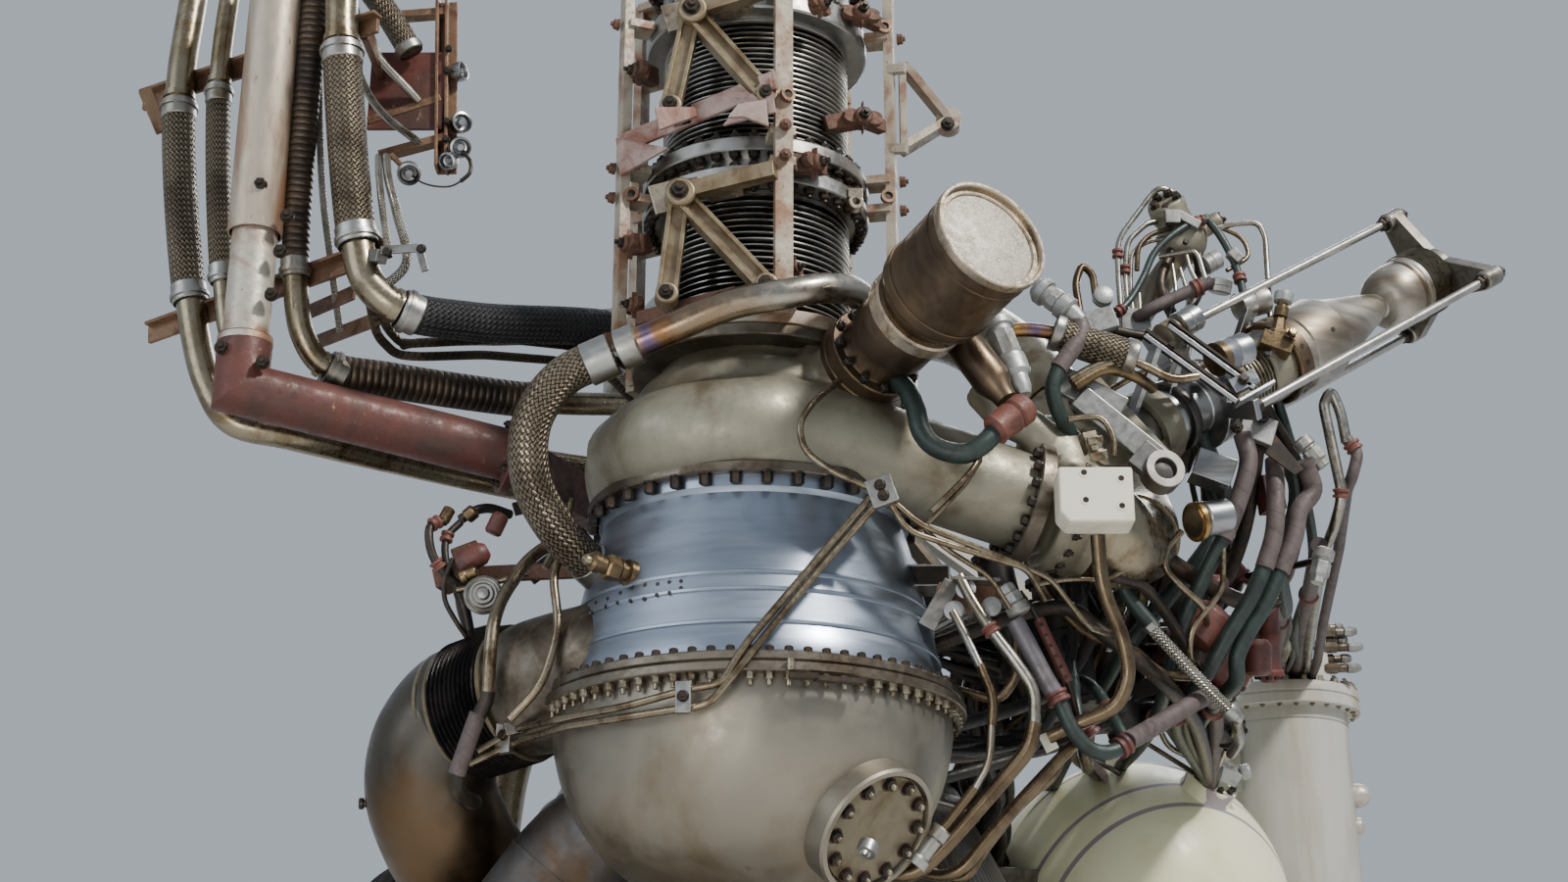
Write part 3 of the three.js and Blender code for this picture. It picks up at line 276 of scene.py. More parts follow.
# Looks: record slot, base, stain and spot colours, metal, gloss range, share of stain and of
# spots (0 none, 1 all), number of stains per metre, bump in mm, and where a look has them, how its
# stains are drawn out (EVEN if not given) and its pattern
LOOKS = {
    "nozzle": ("nozzle", (150, 148, 143), (112, 98, 78), (70, 66, 60),
               0.9, (0.32, 0.5), 0.45, 0.2, 5, 0.3, DRAWN),
    "casting": ("casting", (134, 130, 114), (102, 92, 73), (80, 79, 72),
                0.6, (0.4, 0.58), 0.44, 0.28, 6, 0.7),
    # casing: the blue tint of this silver is a painted reflection of blue sky
    "casing": ("casing", (150, 160, 174), (122, 128, 138), (104, 94, 82),
               0.95, (0.3, 0.44), 0.35, 0.12, 6, 0.15, ROLLED),
    "bowl": ("bowl", (136, 130, 118), (116, 104, 84), (88, 78, 62), 0.85, (0.34, 0.5), 0.42, 0.2, 3, 0.15),
    "cover": ("bowl", (116, 108, 90), (98, 86, 64), (72, 66, 56), 0.8, (0.34, 0.5), 0.45, 0.3, 12, 0.3),
    "flange": ("flange", (112, 105, 94), (80, 70, 58), (50, 46, 42),
               0.85, (0.34, 0.54), 0.5, 0.35, 12, 0.4),
    # heat: the dark base is partly painted shade, and its pattern adds more painted shade underneath
    "heat": ("heat", (84, 80, 74), (84, 66, 46), (56, 54, 54),
             0.95, (0.3, 0.46), 0.45, 0.25, 4, 0.12, EVEN, "scorch"),
    "exhaust": ("silver", (82, 84, 86), (86, 68, 50), (62, 50, 42), 0.8, (0.46, 0.62), 0.5, 0.35, 5, 0.3),
    "bellows": ("bellows", (66, 62, 60), (44, 42, 42), (104, 92, 80),
                0.75, (0.26, 0.46), 0.5, 0.15, 12, 0.2),
    "silver": ("silver", (158, 158, 154), (122, 110, 92), (80, 74, 64),
               0.95, (0.3, 0.48), 0.42, 0.26, 9, 0.2),
    "convolutions": ("silver", (176, 174, 168), (96, 90, 82), (58, 52, 46),
                     1.0, (0.22, 0.4), 0.35, 0.3, 8, 0.2, ROLLED),
    "paint": ("rust", (158, 150, 134), (124, 92, 70), (82, 62, 50), 0.2, (0.42, 0.7), 0.5, 0.5, 14, 1.0),
    "pink": ("rust", (158, 138, 130), (118, 74, 58), (182, 176, 164),
             0.15, (0.45, 0.75), 0.42, 0.4, 16, 0.8),
    "rust": ("rust", (98, 68, 54), (74, 54, 44), (140, 108, 82), 0.3, (0.55, 0.85), 0.5, 0.5, 24, 1.6),
    "primer": ("primer", (86, 46, 38), (64, 42, 36), (128, 100, 80), 0.15, (0.4, 0.65), 0.5, 0.4, 9, 0.8),
    "bronze": ("bronze", (140, 126, 102), (104, 86, 62), (188, 178, 154),
               0.7, (0.34, 0.52), 0.45, 0.3, 12, 0.6),
    "braid": ("braid", (118, 107, 90), (84, 73, 60), (58, 50, 42),
              0.8, (0.32, 0.52), 0.5, 0.28, 9, 0.2, EVEN, "braid"),
    "braid_black": ("braid", (46, 46, 48), (30, 30, 32), (120, 116, 108),
                    0.35, (0.42, 0.62), 0.5, 0.2, 14, 0.2, EVEN, "braid"),
    "ribbed": ("braid", (84, 70, 56), (52, 42, 36), (150, 134, 110),
               0.6, (0.35, 0.55), 0.5, 0.3, 14, 0.2, EVEN, "rings"),
    "can": ("can", (100, 84, 66), (68, 56, 46), (160, 148, 126),
            0.85, (0.28, 0.46), 0.5, 0.14, 8, 0.3, DRAWN),
    "can_rim": ("can", (176, 162, 142), (110, 90, 70), (210, 204, 190),
                0.9, (0.25, 0.4), 0.3, 0.2, 20, 0.2),
    "can_plate": ("can", (168, 160, 146), (132, 122, 106), (104, 96, 84),
                  0.3, (0.55, 0.8), 0.4, 0.3, 9, 0.5, EVEN, "speckle"),
    "cream": ("cream", (216, 210, 192), (190, 178, 152), (140, 128, 106),
              0.0, (0.42, 0.6), 0.3, 0.16, 8, 0.3),
    "sphere": ("sphere", (224, 221, 188), (210, 208, 166), (184, 178, 146),
               0.0, (0.3, 0.48), 0.35, 0.1, 4, 0.15, EVEN, "stripe"),
    "tank": ("tank", (176, 175, 168), (150, 140, 122), (160, 122, 82),
             0.1, (0.42, 0.62), 0.4, 0.14, 6, 0.5, DRAWN),
    "polished": ("polished", (156, 158, 160), (122, 120, 116), (88, 82, 74),
                 1.0, (0.26, 0.4), 0.42, 0.22, 12, 0.04, ROLLED),
    "satin": ("polished", (164, 160, 152), (122, 112, 98), (84, 76, 66),
              0.95, (0.38, 0.52), 0.48, 0.3, 12, 0.1, ROLLED),
    "brass": ("polished", (160, 132, 88), (122, 98, 64), (92, 74, 50), 1.0, (0.24, 0.4), 0.4, 0.2, 16, 0.1),
    "galvanised": ("galvanised", (168, 158, 142), (140, 104, 78), (108, 76, 56),
                   0.5, (0.32, 0.52), 0.48, 0.4, 9, 0.5, (1.0, 1.0, 0.3)),
    "brass_dull": ("polished", (118, 100, 74), (88, 74, 56), (150, 136, 108),
                   0.95, (0.28, 0.46), 0.45, 0.3, 30, 0.1),
    "polished_dull": ("polished", (140, 140, 137), (112, 107, 100), (82, 78, 70),
                      0.9, (0.34, 0.5), 0.4, 0.24, 12, 0.1),
    "galvanised_rust": ("galvanised", (178, 172, 160), (136, 104, 80), (100, 72, 54),
                        0.45, (0.35, 0.6), 0.4, 0.4, 12, 0.7),
    "bronze_rust": ("bronze", (120, 94, 72), (84, 56, 42), (160, 140, 118),
                    0.5, (0.4, 0.65), 0.5, 0.4, 16, 0.9),
    "pipe": ("pipe", (140, 130, 110), (108, 92, 68), (82, 72, 60), 0.95, (0.22, 0.38), 0.4, 0.2, 14, 0.06),
    "pipe_silver": ("silver", (160, 155, 145), (134, 118, 98), (104, 92, 78),
                    1.0, (0.24, 0.4), 0.4, 0.2, 8, 0.06, EVEN, "heat"),
    "tube": ("pipe", (134, 122, 102), (94, 80, 62), (176, 166, 146),
             0.95, (0.22, 0.4), 0.45, 0.2, 22, 0.05),
    "pipe_plain": ("silver", (152, 149, 141), (126, 115, 98), (100, 90, 76),
                   1.0, (0.24, 0.4), 0.4, 0.2, 12, 0.04),
    "tube_dark": ("pipe", (104, 90, 70), (74, 60, 46), (150, 134, 108),
                  0.9, (0.24, 0.42), 0.45, 0.2, 14, 0.08),
    "hose_grey": ("braid", (104, 100, 104), (82, 76, 78), (140, 132, 128),
                  0.3, (0.35, 0.55), 0.4, 0.2, 20, 0.3),
    "wire_braid": ("braid", (168, 164, 154), (128, 118, 102), (92, 82, 70),
                   0.85, (0.28, 0.48), 0.4, 0.2, 14, 0.2, EVEN, "fine_braid"),
    "steel": ("polished", (134, 130, 122), (102, 94, 82), (74, 66, 56),
              0.9, (0.34, 0.5), 0.42, 0.24, 14, 0.1),
    "smooth": ("polished", (186, 182, 174), (160, 154, 142), (130, 122, 110),
               0.95, (0.26, 0.36), 0.3, 0.1, 10, 0.01),
    # shade: a near-black stand-in for deep shadow, painted shade in bores, folds and the dark spaces between
    # parts
    "shade": ("bellows", (44, 41, 38), (30, 28, 27), (72, 64, 56), 0.4, (0.42, 0.62), 0.45, 0.25, 14, 0.3),
    "shade_red": ("primer", (92, 46, 38), (62, 36, 32), (122, 84, 68),
                  0.1, (0.42, 0.62), 0.45, 0.25, 18, 0.3),
    # bolt: dark metal of bolts and nuts; the same dark also fills holes and recesses as painted shade
    "bolt": ("bellows", (50, 46, 42), (74, 58, 44), (104, 96, 84), 0.65, (0.34, 0.56), 0.35, 0.25, 60, 0.2),
    "nut": ("flange", (150, 142, 124), (96, 78, 58), (60, 52, 44), 0.9, (0.28, 0.48), 0.45, 0.3, 60, 0.3),
    "wrap_white": ("cream", (158, 160, 158), (126, 122, 114), (96, 90, 82),
                   0.6, (0.34, 0.55), 0.4, 0.3, 26, 0.5),
    "green": ("bellows", (34, 48, 43), (24, 32, 30), (64, 72, 66),
              0.1, (0.38, 0.58), 0.4, 0.2, 24, 0.25, EVEN, "tape"),
    "mauve": ("braid", (84, 73, 71), (62, 51, 49), (120, 108, 102),
              0.05, (0.5, 0.75), 0.45, 0.25, 22, 0.4, EVEN, "tape"),
    "rubber": ("primer", (90, 48, 41), (62, 37, 33), (120, 90, 78), 0.0, (0.42, 0.65), 0.42, 0.3, 30, 0.4),
    "clamp": ("primer", (104, 60, 49), (72, 42, 36), (140, 100, 84), 0.1, (0.45, 0.7), 0.42, 0.3, 40, 0.4),
}


def make_look(name):
    """The material of one row of the looks."""
    base, stain, spots, metal, gloss, stained, spotted, scale, rough_mm, *extras = LOOKS[name][1:]
    stretch = extras[0] if extras else EVEN
    pattern = extras[1] if len(extras) > 1 else None
    nodes = Nodes(name)
    coords = nodes.place(stretch)
    broad = nodes.noise(coords, scale, 6.0, 0.6, 0.6)
    fine = nodes.noise(coords, scale * 7.0, 6.0, 0.65)
    grain = nodes.noise(coords, 260.0, 3.0)
    edge = 0.68 - 0.3 * stained
    colour = nodes.mix(nodes.span(broad, edge - 0.12, edge + 0.12), tone(*base), tone(*stain))
    edge = 0.72 - 0.22 * spotted
    colour = nodes.mix(nodes.span(fine, edge, edge + 0.09), colour, tone(*spots))
    normal = nodes.bump(nodes.math("ADD", fine, nodes.math("MULTIPLY", grain, 0.3)), rough_mm / 1000.0)
    if pattern:
        colour, normal = PATTERNS[pattern](nodes, colour, normal)
    shader = nodes.shader
    nodes.link(colour, shader.inputs["Base Color"])
    nodes.link(nodes.span(fine, 0.35, 0.65, gloss[0], gloss[1]), shader.inputs["Roughness"])
    nodes.link(normal, shader.inputs["Normal"])
    shader.inputs["Metallic"].default_value = metal
    return nodes.material


# Shapes

class Shape:
    """Corners in mm, faces, and for each face corner its share round and metres along."""

    def __init__(self, points=(), faces=(), wraps=()):
        self.points = list(points)
        self.faces = list(faces)
        self.wraps = list(wraps)

    def join(self, *others):
        """Adds the corners and faces of other shapes to this one."""
        for other in others:
            first = len(self.points)
            self.points += other.points
            self.faces += [[first + i for i in face] for face in other.faces]
            self.wraps += other.wraps
        return self


def square_axes(direction):
    """Two directions square to the given one, and the given one, all of unit length."""
    ahead = Vector(direction).normalized()
    hint = UP if abs(ahead.z) < 0.95 else Vector((0.0, 1.0, 0.0))
    side = hint.cross(ahead).normalized()
    return side, ahead.cross(side), ahead


def skin(rings, along, ends=True):
    """Joins rings of points; along gives the distance of each ring in mm."""
    count = len(rings[0])
    shape = Shape([point for ring in rings for point in ring])
    for row in range(len(rings) - 1):
        low, high = along[row] / 1000.0, along[row + 1] / 1000.0
        for i in range(count):
            j = (i + 1) % count
            shape.faces.append([row * count + i, row * count + j,
                                (row + 1) * count + j, (row + 1) * count + i])
            shape.wraps.append([(i / count, low), ((i + 1) / count, low),
                                ((i + 1) / count, high), (i / count, high)])
    if ends:
        last = (len(rings) - 1) * count
        for face in (list(reversed(range(count))), list(range(last, last + count))):
            shape.faces.append(face)
            shape.wraps.append([(0.0, 0.0)] * count)
    return shape


def lathe(profile, sides=64, origin=(0.0, 0.0, 0.0), axis=UP, ends=True, ripple=None):
    """Turned shape from pairs of radius and height; ripple changes the radius round it."""
    side, other, ahead = square_axes(axis)
    rings = []
    along = [0.0]
    for radius, height in profile:
        middle = Vector(origin) + ahead * height
        ring = []
        for i in range(sides):
            angle = 2.0 * math.pi * i / sides
            reach = radius + (ripple(i, height) if ripple else 0.0)
            ring.append(middle + (side * math.cos(angle) + other * math.sin(angle)) * reach)
        rings.append(ring)
    for (r0, h0), (r1, h1) in zip(profile, profile[1:]):
        along.append(along[-1] + math.hypot(r1 - r0, h1 - h0))
    return skin(rings, along, ends)


def hoop(inner, outer, low, high, sides=64, origin=(0.0, 0.0, 0.0), axis=UP):
    """Flat ring with a square section."""
    profile = [(inner, low), (outer, low), (outer, high), (inner, high), (inner, low)]
    return lathe(profile, sides, origin, axis, ends=False)


def smooth_route(route, spacing=12.0):
    """Points on one smooth curve through the route, as the CAD tubes follow it."""
    points = [Vector(point) for point in route]
    points = [points[0] * 2 - points[1], *points, points[-1] * 2 - points[-2]]
    result = []
    for before, start, end, after in zip(points, points[1:], points[2:], points[3:]):
        t0, t1, t2 = [max((b - a).length, 1e-4) ** 0.5
                      for a, b in ((before, start), (start, end), (end, after))]
        leave = ((start - before) / t0 - (end - before) / (t0 + t1) + (end - start) / t1) * t1
        arrive = ((end - start) / t1 - (after - start) / (t1 + t2) + (after - end) / t2) * t1
        steps = max(2, math.ceil((end - start).length / spacing))
        for step in range(steps):
            t = step / steps
            result.append(start * (2 * t**3 - 3 * t**2 + 1) + leave * (t**3 - 2 * t**2 + t)
                          + end * (3 * t**2 - 2 * t**3) + arrive * (t**3 - t**2))
    return [*result, points[-2]]


BEND_STEPS = 5


def bent_route(route, bend=30.0):
    """Straight runs with a round bend at each corner, as a bent tube has."""
    points = [Vector(point) for point in route]
    result = [points[0]]
    for before, corner, after in zip(points, points[1:], points[2:]):
        back, ahead = before - corner, after - corner
        cut = min(bend, back.length * 0.45, ahead.length * 0.45)
        start, end = corner + back.normalized() * cut, corner + ahead.normalized() * cut
        for step in range(BEND_STEPS + 1):
            t = step / BEND_STEPS
            result.append(start * (1 - t) ** 2 + corner * 2 * t * (1 - t) + end * t**2)
    return [*result, points[-1]]


def sweep(points, radius, sides=12):
    """Round tube along the points; radius is a number or a rule of the distance in mm."""
    side, other, ahead = square_axes(points[1] - points[0])
    rings = []
    along = []
    run = 0.0
    for i, point in enumerate(points):
        before, after = points[max(i - 1, 0)], points[min(i + 1, len(points) - 1)]
        tangent = (after - before).normalized()
        turn = ahead.rotation_difference(tangent)
        side, other, ahead = turn @ side, turn @ other, tangent
        run += (point - before).length
        reach = radius(run) if callable(radius) else radius
        rings.append([point + (side * math.cos(2 * math.pi * k / sides)
                               + other * math.sin(2 * math.pi * k / sides)) * reach
                      for k in range(sides)])
        along.append(run)
    return skin(rings, along)


def rod(start, end, radius, sides=16):
    """Straight round bar between two points."""
    return sweep([Vector(start), Vector(end)], radius, sides)


def prism(outline, thickness, origin, right, up):
    """Flat plate from an outline in its own plane, pushed out square to it."""
    x = Vector(right).normalized()
    y = (Vector(up) - x * Vector(up).dot(x)).normalized()
    z = x.cross(y)
    base = [Vector(origin) + x * a + y * b for a, b in outline]
    return skin([base, [point + z * thickness for point in base]], [0.0, thickness])


def block(centre, size, right=(1.0, 0.0, 0.0), up=UP):
    """Box by its middle and its size along right, up, and square to both."""
    wide, tall, deep = size
    corners = [(-wide / 2, -tall / 2), (wide / 2, -tall / 2), (wide / 2, tall / 2), (-wide / 2, tall / 2)]
    x = Vector(right).normalized()
    y = (Vector(up) - x * Vector(up).dot(x)).normalized()
    return prism(corners, deep, Vector(centre) - x.cross(y) * deep / 2, right, up)


def bar(start, end, width, depth, across=(1.0, 0.0, 0.0)):
    """Rectangular bar between two points; its width lies across the given direction."""
    start, end = Vector(start), Vector(end)
    return block((start + end) / 2, (width, (end - start).length, depth), across_of(start, end, across),
                 end - start)


def across_of(start, end, across):
    """The direction across, made square to the run from start to end."""
    run = (Vector(end) - Vector(start)).normalized()
    return (Vector(across) - run * Vector(across).dot(run)).normalized()


def ball(centre, radius, sides=24):
    """Sphere with its poles up and down."""
    rows = sides // 2
    profile = [(radius * math.sin(math.pi * (i + 0.02) / (rows + 0.04)),
                -radius * math.cos(math.pi * (i + 0.02) / (rows + 0.04)))
               for i in range(rows + 1)]
    return lathe(profile, sides, centre)


def bolt(place, axis, across, height, stud=0.0):
    """Hexagon head on a washer, with a stud end if it has one."""
    radius = across / math.sqrt(3.0)
    parts = [lathe([(across * 0.66, -1.0), (across * 0.66, across * 0.12)], 14, place, axis),
             lathe([(radius, 0.0), (radius, height * 0.85), (radius * 0.8, height)], 6, place, axis)]
    if stud:
        parts.append(lathe([(across * 0.28, 0.0), (across * 0.28, height + stud)], 8, place, axis))
    return Shape().join(*parts)


def bolt_circle(centre, axis, radius, count, across, height, stud=0.0):
    """Bolts spaced evenly on a circle, all facing along its axis."""
    side, other, ahead = square_axes(axis)
    bolts = Shape()
    for i in range(count):
        angle = math.radians(360.0 * i / count)
        out = side * math.cos(angle) + other * math.sin(angle)
        bolts.join(bolt(Vector(centre) + out * radius, ahead, across, height, stud))
    return bolts


def rounded(profile, spacing=10.0):
    """The profile as one smooth curve."""
    return [(point.x, point.y) for point in smooth_route([(r, z, 0.0) for r, z in profile], spacing)]


def convolutions(low, high, inner, outer, count, steps=8):
    """Profile of a bellows with thin crests and wide gaps."""
    profile = []
    for i in range(count * steps + 1):
        share = 0.5 - 0.5 * math.cos(2.0 * math.pi * i / steps)
        profile.append((inner + (outer - inner) * share ** 1.6, low + (high - low) * i / (count * steps)))
    return profile


def flange_ring(inner, outer, low, high, sides=96, origin=PUMP, axis=UP, chamfer=2.0):
    """Square ring with its outer edges broken."""
    profile = [(inner, low), (outer - chamfer, low), (outer, low + chamfer), (outer, high - chamfer),
               (outer - chamfer, high), (inner, high), (inner, low)]
    return lathe(profile, sides, origin, axis, ends=False)


def ferrule(points, radius, length, proud, sides=24):
    """Collar round the start of a hose or pipe."""
    ahead = (points[1] - points[0]).normalized()
    profile = [(radius, 0.0), (radius + proud, 2.0), (radius + proud, length - 3.0), (radius, length)]
    return lathe(profile, sides, points[0], ahead)


def radius_at(outline, height):
    """The radius of an outline, pairs of radius and height, at a height between its ends."""
    for (low_r, low_z), (high_r, high_z) in zip(outline, outline[1:]):
        if low_z <= height <= high_z:
            return low_r + (high_r - low_r) * (height - low_z) / (high_z - low_z)
    return outline[-1][0]


READY = {}
SHARP_ANGLE = 34.0


def look_of(name):
    """The material of a look, made when it is first asked for."""
    if name not in READY:
        READY[name] = make_look(name)
    return READY[name]


def break_edges(item, width, sharp=SHARP_ANGLE):
    """Rounds the sharp edges of an object, by a width in mm."""
    edge = item.modifiers.new("edges", "BEVEL")
    edge.width = width / 1000.0
    edge.segments = 2
    edge.limit_method = "ANGLE"
    edge.angle_limit = math.radians(sharp)
    edge.harden_normals = True


def build(name, look, *shapes, replaces=(), sharp=SHARP_ANGLE, bevel=0.0, body="engine"):
    """One piece with one material, riding on a body of the frame."""
    whole = Shape().join(*shapes)
    mesh = bpy.data.meshes.new(name)
    mesh.from_pydata([in_frame(point) for point in whole.points], [], whole.faces)
    layer = mesh.uv_layers.new(name="wrap")
    layer.data.foreach_set("uv", [value for face in whole.wraps for pair in face for value in pair])
    work = bmesh.new()
    work.from_mesh(mesh)
    bmesh.ops.recalc_face_normals(work, faces=work.faces)
    work.to_mesh(mesh)
    work.free()
    mesh.shade_smooth()
    mesh.set_sharp_from_angle(angle=math.radians(sharp))
    mesh.materials.append(look_of(look))
    piece = bpy.data.objects.new(name, mesh)
    bpy.context.scene.collection.objects.link(piece)
    if bevel:
        break_edges(piece, bevel, sharp)
    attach(piece, body)
    if replaces:
        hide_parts(*replaces)
    return piece


def cast(name, look, *shapes, voxel=6.0, smooth=6, replaces=()):
    """One piece whose overlapping shapes melt into one casting with filleted joints."""
    piece = build(name, look, *shapes, replaces=replaces)
    melt = piece.modifiers.new("melt", "REMESH")
    melt.mode = "VOXEL"
    melt.voxel_size = voxel / 1000.0
    melt.use_smooth_shade = True
    soft = piece.modifiers.new("soft", "SMOOTH")
    soft.factor = 0.5
    soft.iterations = smooth
    return piece


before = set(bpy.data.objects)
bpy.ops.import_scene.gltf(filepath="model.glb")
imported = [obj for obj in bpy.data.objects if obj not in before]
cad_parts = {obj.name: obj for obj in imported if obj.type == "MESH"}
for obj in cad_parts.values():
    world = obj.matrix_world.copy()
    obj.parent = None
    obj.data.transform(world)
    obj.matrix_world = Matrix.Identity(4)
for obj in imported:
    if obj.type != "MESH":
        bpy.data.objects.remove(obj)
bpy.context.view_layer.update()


# Carried-over CAD nodes: rounded edges and the look of their metal
KEPT_NODES = {
    "silver": ["gimbal_lower_seat", "gimbal_upper_seat"],
    "polished": ["gimbal_cross"],
    "flange": ["sphere_saddle", "sphere_stay"],
    "tank": ["tank_bracket"],
    "casting": ["actuator_fork"],
    "paint": ["lock_cage", "cage_vee_bracket"],
    "pink": ["cage_gusset_band"],
}
KEPT_BEVEL = 2.0
WELD_GAP = 0.00005


def dress_nodes():
    """Gives the CAD nodes that stay in view their look, with soft edges."""
    for look, names in KEPT_NODES.items():
        for name in names:
            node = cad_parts[name]
            node.data.materials.clear()
            node.data.materials.append(look_of(look))
            node.data.shade_smooth()
            weld = node.modifiers.new("weld", "WELD")
            weld.merge_threshold = WELD_GAP
            break_edges(node, KEPT_BEVEL)
            node.modifiers.new("normals", "WEIGHTED_NORMAL").keep_sharp = True


# Nozzle: a wall of fine tubes with hat bands round it, open inside
NOZZLE_OUTLINE = [(1000, 0), (955, 300), (868, 700), (756, 1100), (655, 1400), (550, 1650), (455, 1850),
                  (380, 2000), (318, 2120), (262, 2230)]
NOZZLE_WALL = 18.0
NOZZLE_TUBES = 180
SIDES_PER_TUBE = 4
TUBE_GROOVE = 3.0
BAND_HEIGHTS = [0, 260, 540, 820, 1560, 1960]
BAND_HEIGHT = 26.0
BAND_PROUD = 16.0


def outline_radius(height):
    return radius_at(NOZZLE_OUTLINE, height)


def build_nozzle():
    def groove(side, _):
        return -TUBE_GROOVE if side % SIDES_PER_TUBE == 0 else 0.0

    inner = [(radius - NOZZLE_WALL, height) for radius, height in reversed(NOZZLE_OUTLINE)]
    wall = lathe([*NOZZLE_OUTLINE, *inner, NOZZLE_OUTLINE[0]], NOZZLE_TUBES * SIDES_PER_TUBE, ends=False,
                 ripple=groove)
    bands = []
    for height in BAND_HEIGHTS:
        low, high = outline_radius(height), outline_radius(height + BAND_HEIGHT)
        bands.append(lathe([(low - 4, height), (low + BAND_PROUD - 3, height),
                            (low + BAND_PROUD, height + 3),
                            (high + BAND_PROUD, height + BAND_HEIGHT - 3),
                            (high + BAND_PROUD - 3, height + BAND_HEIGHT),
                            (high - 4, height + BAND_HEIGHT), (low - 4, height)], 192, ends=False))
    build("nozzle_wall", "nozzle", wall, *bands, replaces=["nozzle_bell"])


# Exhaust bowl with its bolted cover, and the flange under the turbine casing
BOWL_PROFILE = [(4, 1698), (40, 1700), (120, 1716), (195, 1756), (250, 1812), (284, 1880), (300, 1950),
                (300, 1986)]
BOWL_MIDDLE = Vector((0.0, -800.0, 1970.0))
MANHOLE_AXIS = Vector((0.57, -0.577, -0.587)).normalized()
MANHOLE_FACE = 308.5
MANHOLE_BOLTS = 12
MANHOLE_BOLT_CIRCLE = 74.0
FLANGE_BOLTS = 72


def build_bowl():
    shell = lathe(rounded(BOWL_PROFILE), 144, PUMP)
    boss = lathe([(101, 236), (99, 250), (99, 311), (96, 315), (89, 315), (87, 312), (87, 304)], 96,
                 BOWL_MIDDLE, MANHOLE_AXIS)
    build("bowl_shell", "bowl", shell, boss, replaces=["exhaust_bowl"])
    plate = lathe([(86, 300), (86, 307), (84.5, MANHOLE_FACE), (2, MANHOLE_FACE)], 96, BOWL_MIDDLE,
                  MANHOLE_AXIS)
    build("manhole_plate", "cover", plate, replaces=["manhole_cover"])
    face = BOWL_MIDDLE + MANHOLE_AXIS * MANHOLE_FACE
    halos = Shape()
    nuts = Shape()
    studs = Shape()
    side, other, ahead = square_axes(MANHOLE_AXIS)
    for i in range(MANHOLE_BOLTS):
        angle = 2.0 * math.pi * (i + 0.45) / MANHOLE_BOLTS
        place = face + (side * math.cos(angle) + other * math.sin(angle)) * MANHOLE_BOLT_CIRCLE
        halos.join(lathe([(13, -0.5), (12, 0.5), (4, 0.6)], 20, place, ahead))
        nuts.join(bolt(place, ahead, 16.0, 9.0))
        studs.join(lathe([(4.6, 0), (4.6, 12), (3.6, 14.5), (1, 15.5)], 12, place, ahead))
    build("manhole_halos", "rust", halos)
    build("manhole_nuts", "bolt", nuts)
    build("manhole_studs", "nut", studs)


def build_turbine_flange():
    lower = flange_ring(280, 322, 1985, 1999, 144)
    upper = flange_ring(280, 318, 2001.5, 2015, 144)
    joint = hoop(280, 312, 1998, 2002, 96, PUMP)
    build("turbine_flanges", "flange", lower, upper, joint, replaces=["turbine_flange"])
    top = bolt_circle(PUMP + UP * 2015, UP, 310, FLANGE_BOLTS, 11.0, 7.5)
    build("flange_heads", "bolt", top)
    below = bolt_circle(PUMP + UP * 1985, -UP, 309, FLANGE_BOLTS, 13.0, 10.0, 8.0)
    build("flange_nuts", "nut", below)


# Turbine casing with its ridges, and the black bolts under the volute's lower flange
CASING_OUTLINE = [(296, 2015), (297, 2023), (287, 2050), (284, 2061), (286, 2063), (286, 2067), (282, 2069),
                  (275, 2111), (277, 2113), (277, 2117), (273, 2119), (269, 2137), (271, 2139), (271, 2143),
                  (267, 2145), (257, 2190), (237, 2262), (235, 2272), (238, 2278), (240, 2280), (240, 2297)]
CASING_BOLTS = 34
# Open channel on the casing: its middle, its width, height and depth, and its wall
CHANNEL = ((236.0, -870.0, 2185.0), (120.0, 34.0, 60.0), 3.0)


def build_casing():
    build("casing_shell", "casing", lathe(CASING_OUTLINE, 160, PUMP), replaces=["turbine_casing"], sharp=28)
    build("casing_bolts", "bolt", bolt_circle(PUMP + UP * 2297, -UP, 249, CASING_BOLTS, 15.0, 17.0))
    centre, (wide, tall, deep), wall = CHANNEL
    middle = Vector(centre)
    plates = [block(middle + UP * (tall - wall) / 2 * way, (wide, wall, deep)) for way in (-1, 1)]
    plates += [block(middle + Vector(((wide - wall) / 2 * way, 0, 0)), (wall, tall, deep)) for way in (-1, 1)]
    build("casing_channel", "silver", *plates, bevel=1.0)
    # A dark block fills the channel: painted shade inside it
    inside = block(middle + Vector((0.0, 12.0, 0.0)), (wide - 2 * wall, tall - 2 * wall, 30.0))
    build("casing_channel_shade", "bolt", inside)


# Pump volute: one casting with its scroll and the neck of the capped duct
VOLUTE_PROFILE = [(252, 2310), (252, 2316), (262, 2350), (265, 2385), (250, 2425), (222, 2452), (197, 2470),
                  (184, 2500), (152, 2530), (152, 2540)]
SCROLL = [(-190, -870, 2372), (-120, -985, 2372), (0, -1010, 2378), (60, -985, 2385), (425, -885, 2300)]
SCROLL_RADIUS = 76.0
DISCHARGE_RUN = (Vector(SCROLL[-1]) - Vector(SCROLL[-2])).normalized()
DISCHARGE_END = Vector(SCROLL[-1])
CAN_BASE = Vector((173.0, -980.0, 2498.0))
CAN_AXIS = Vector((0.486, -0.821, 0.227)).normalized()


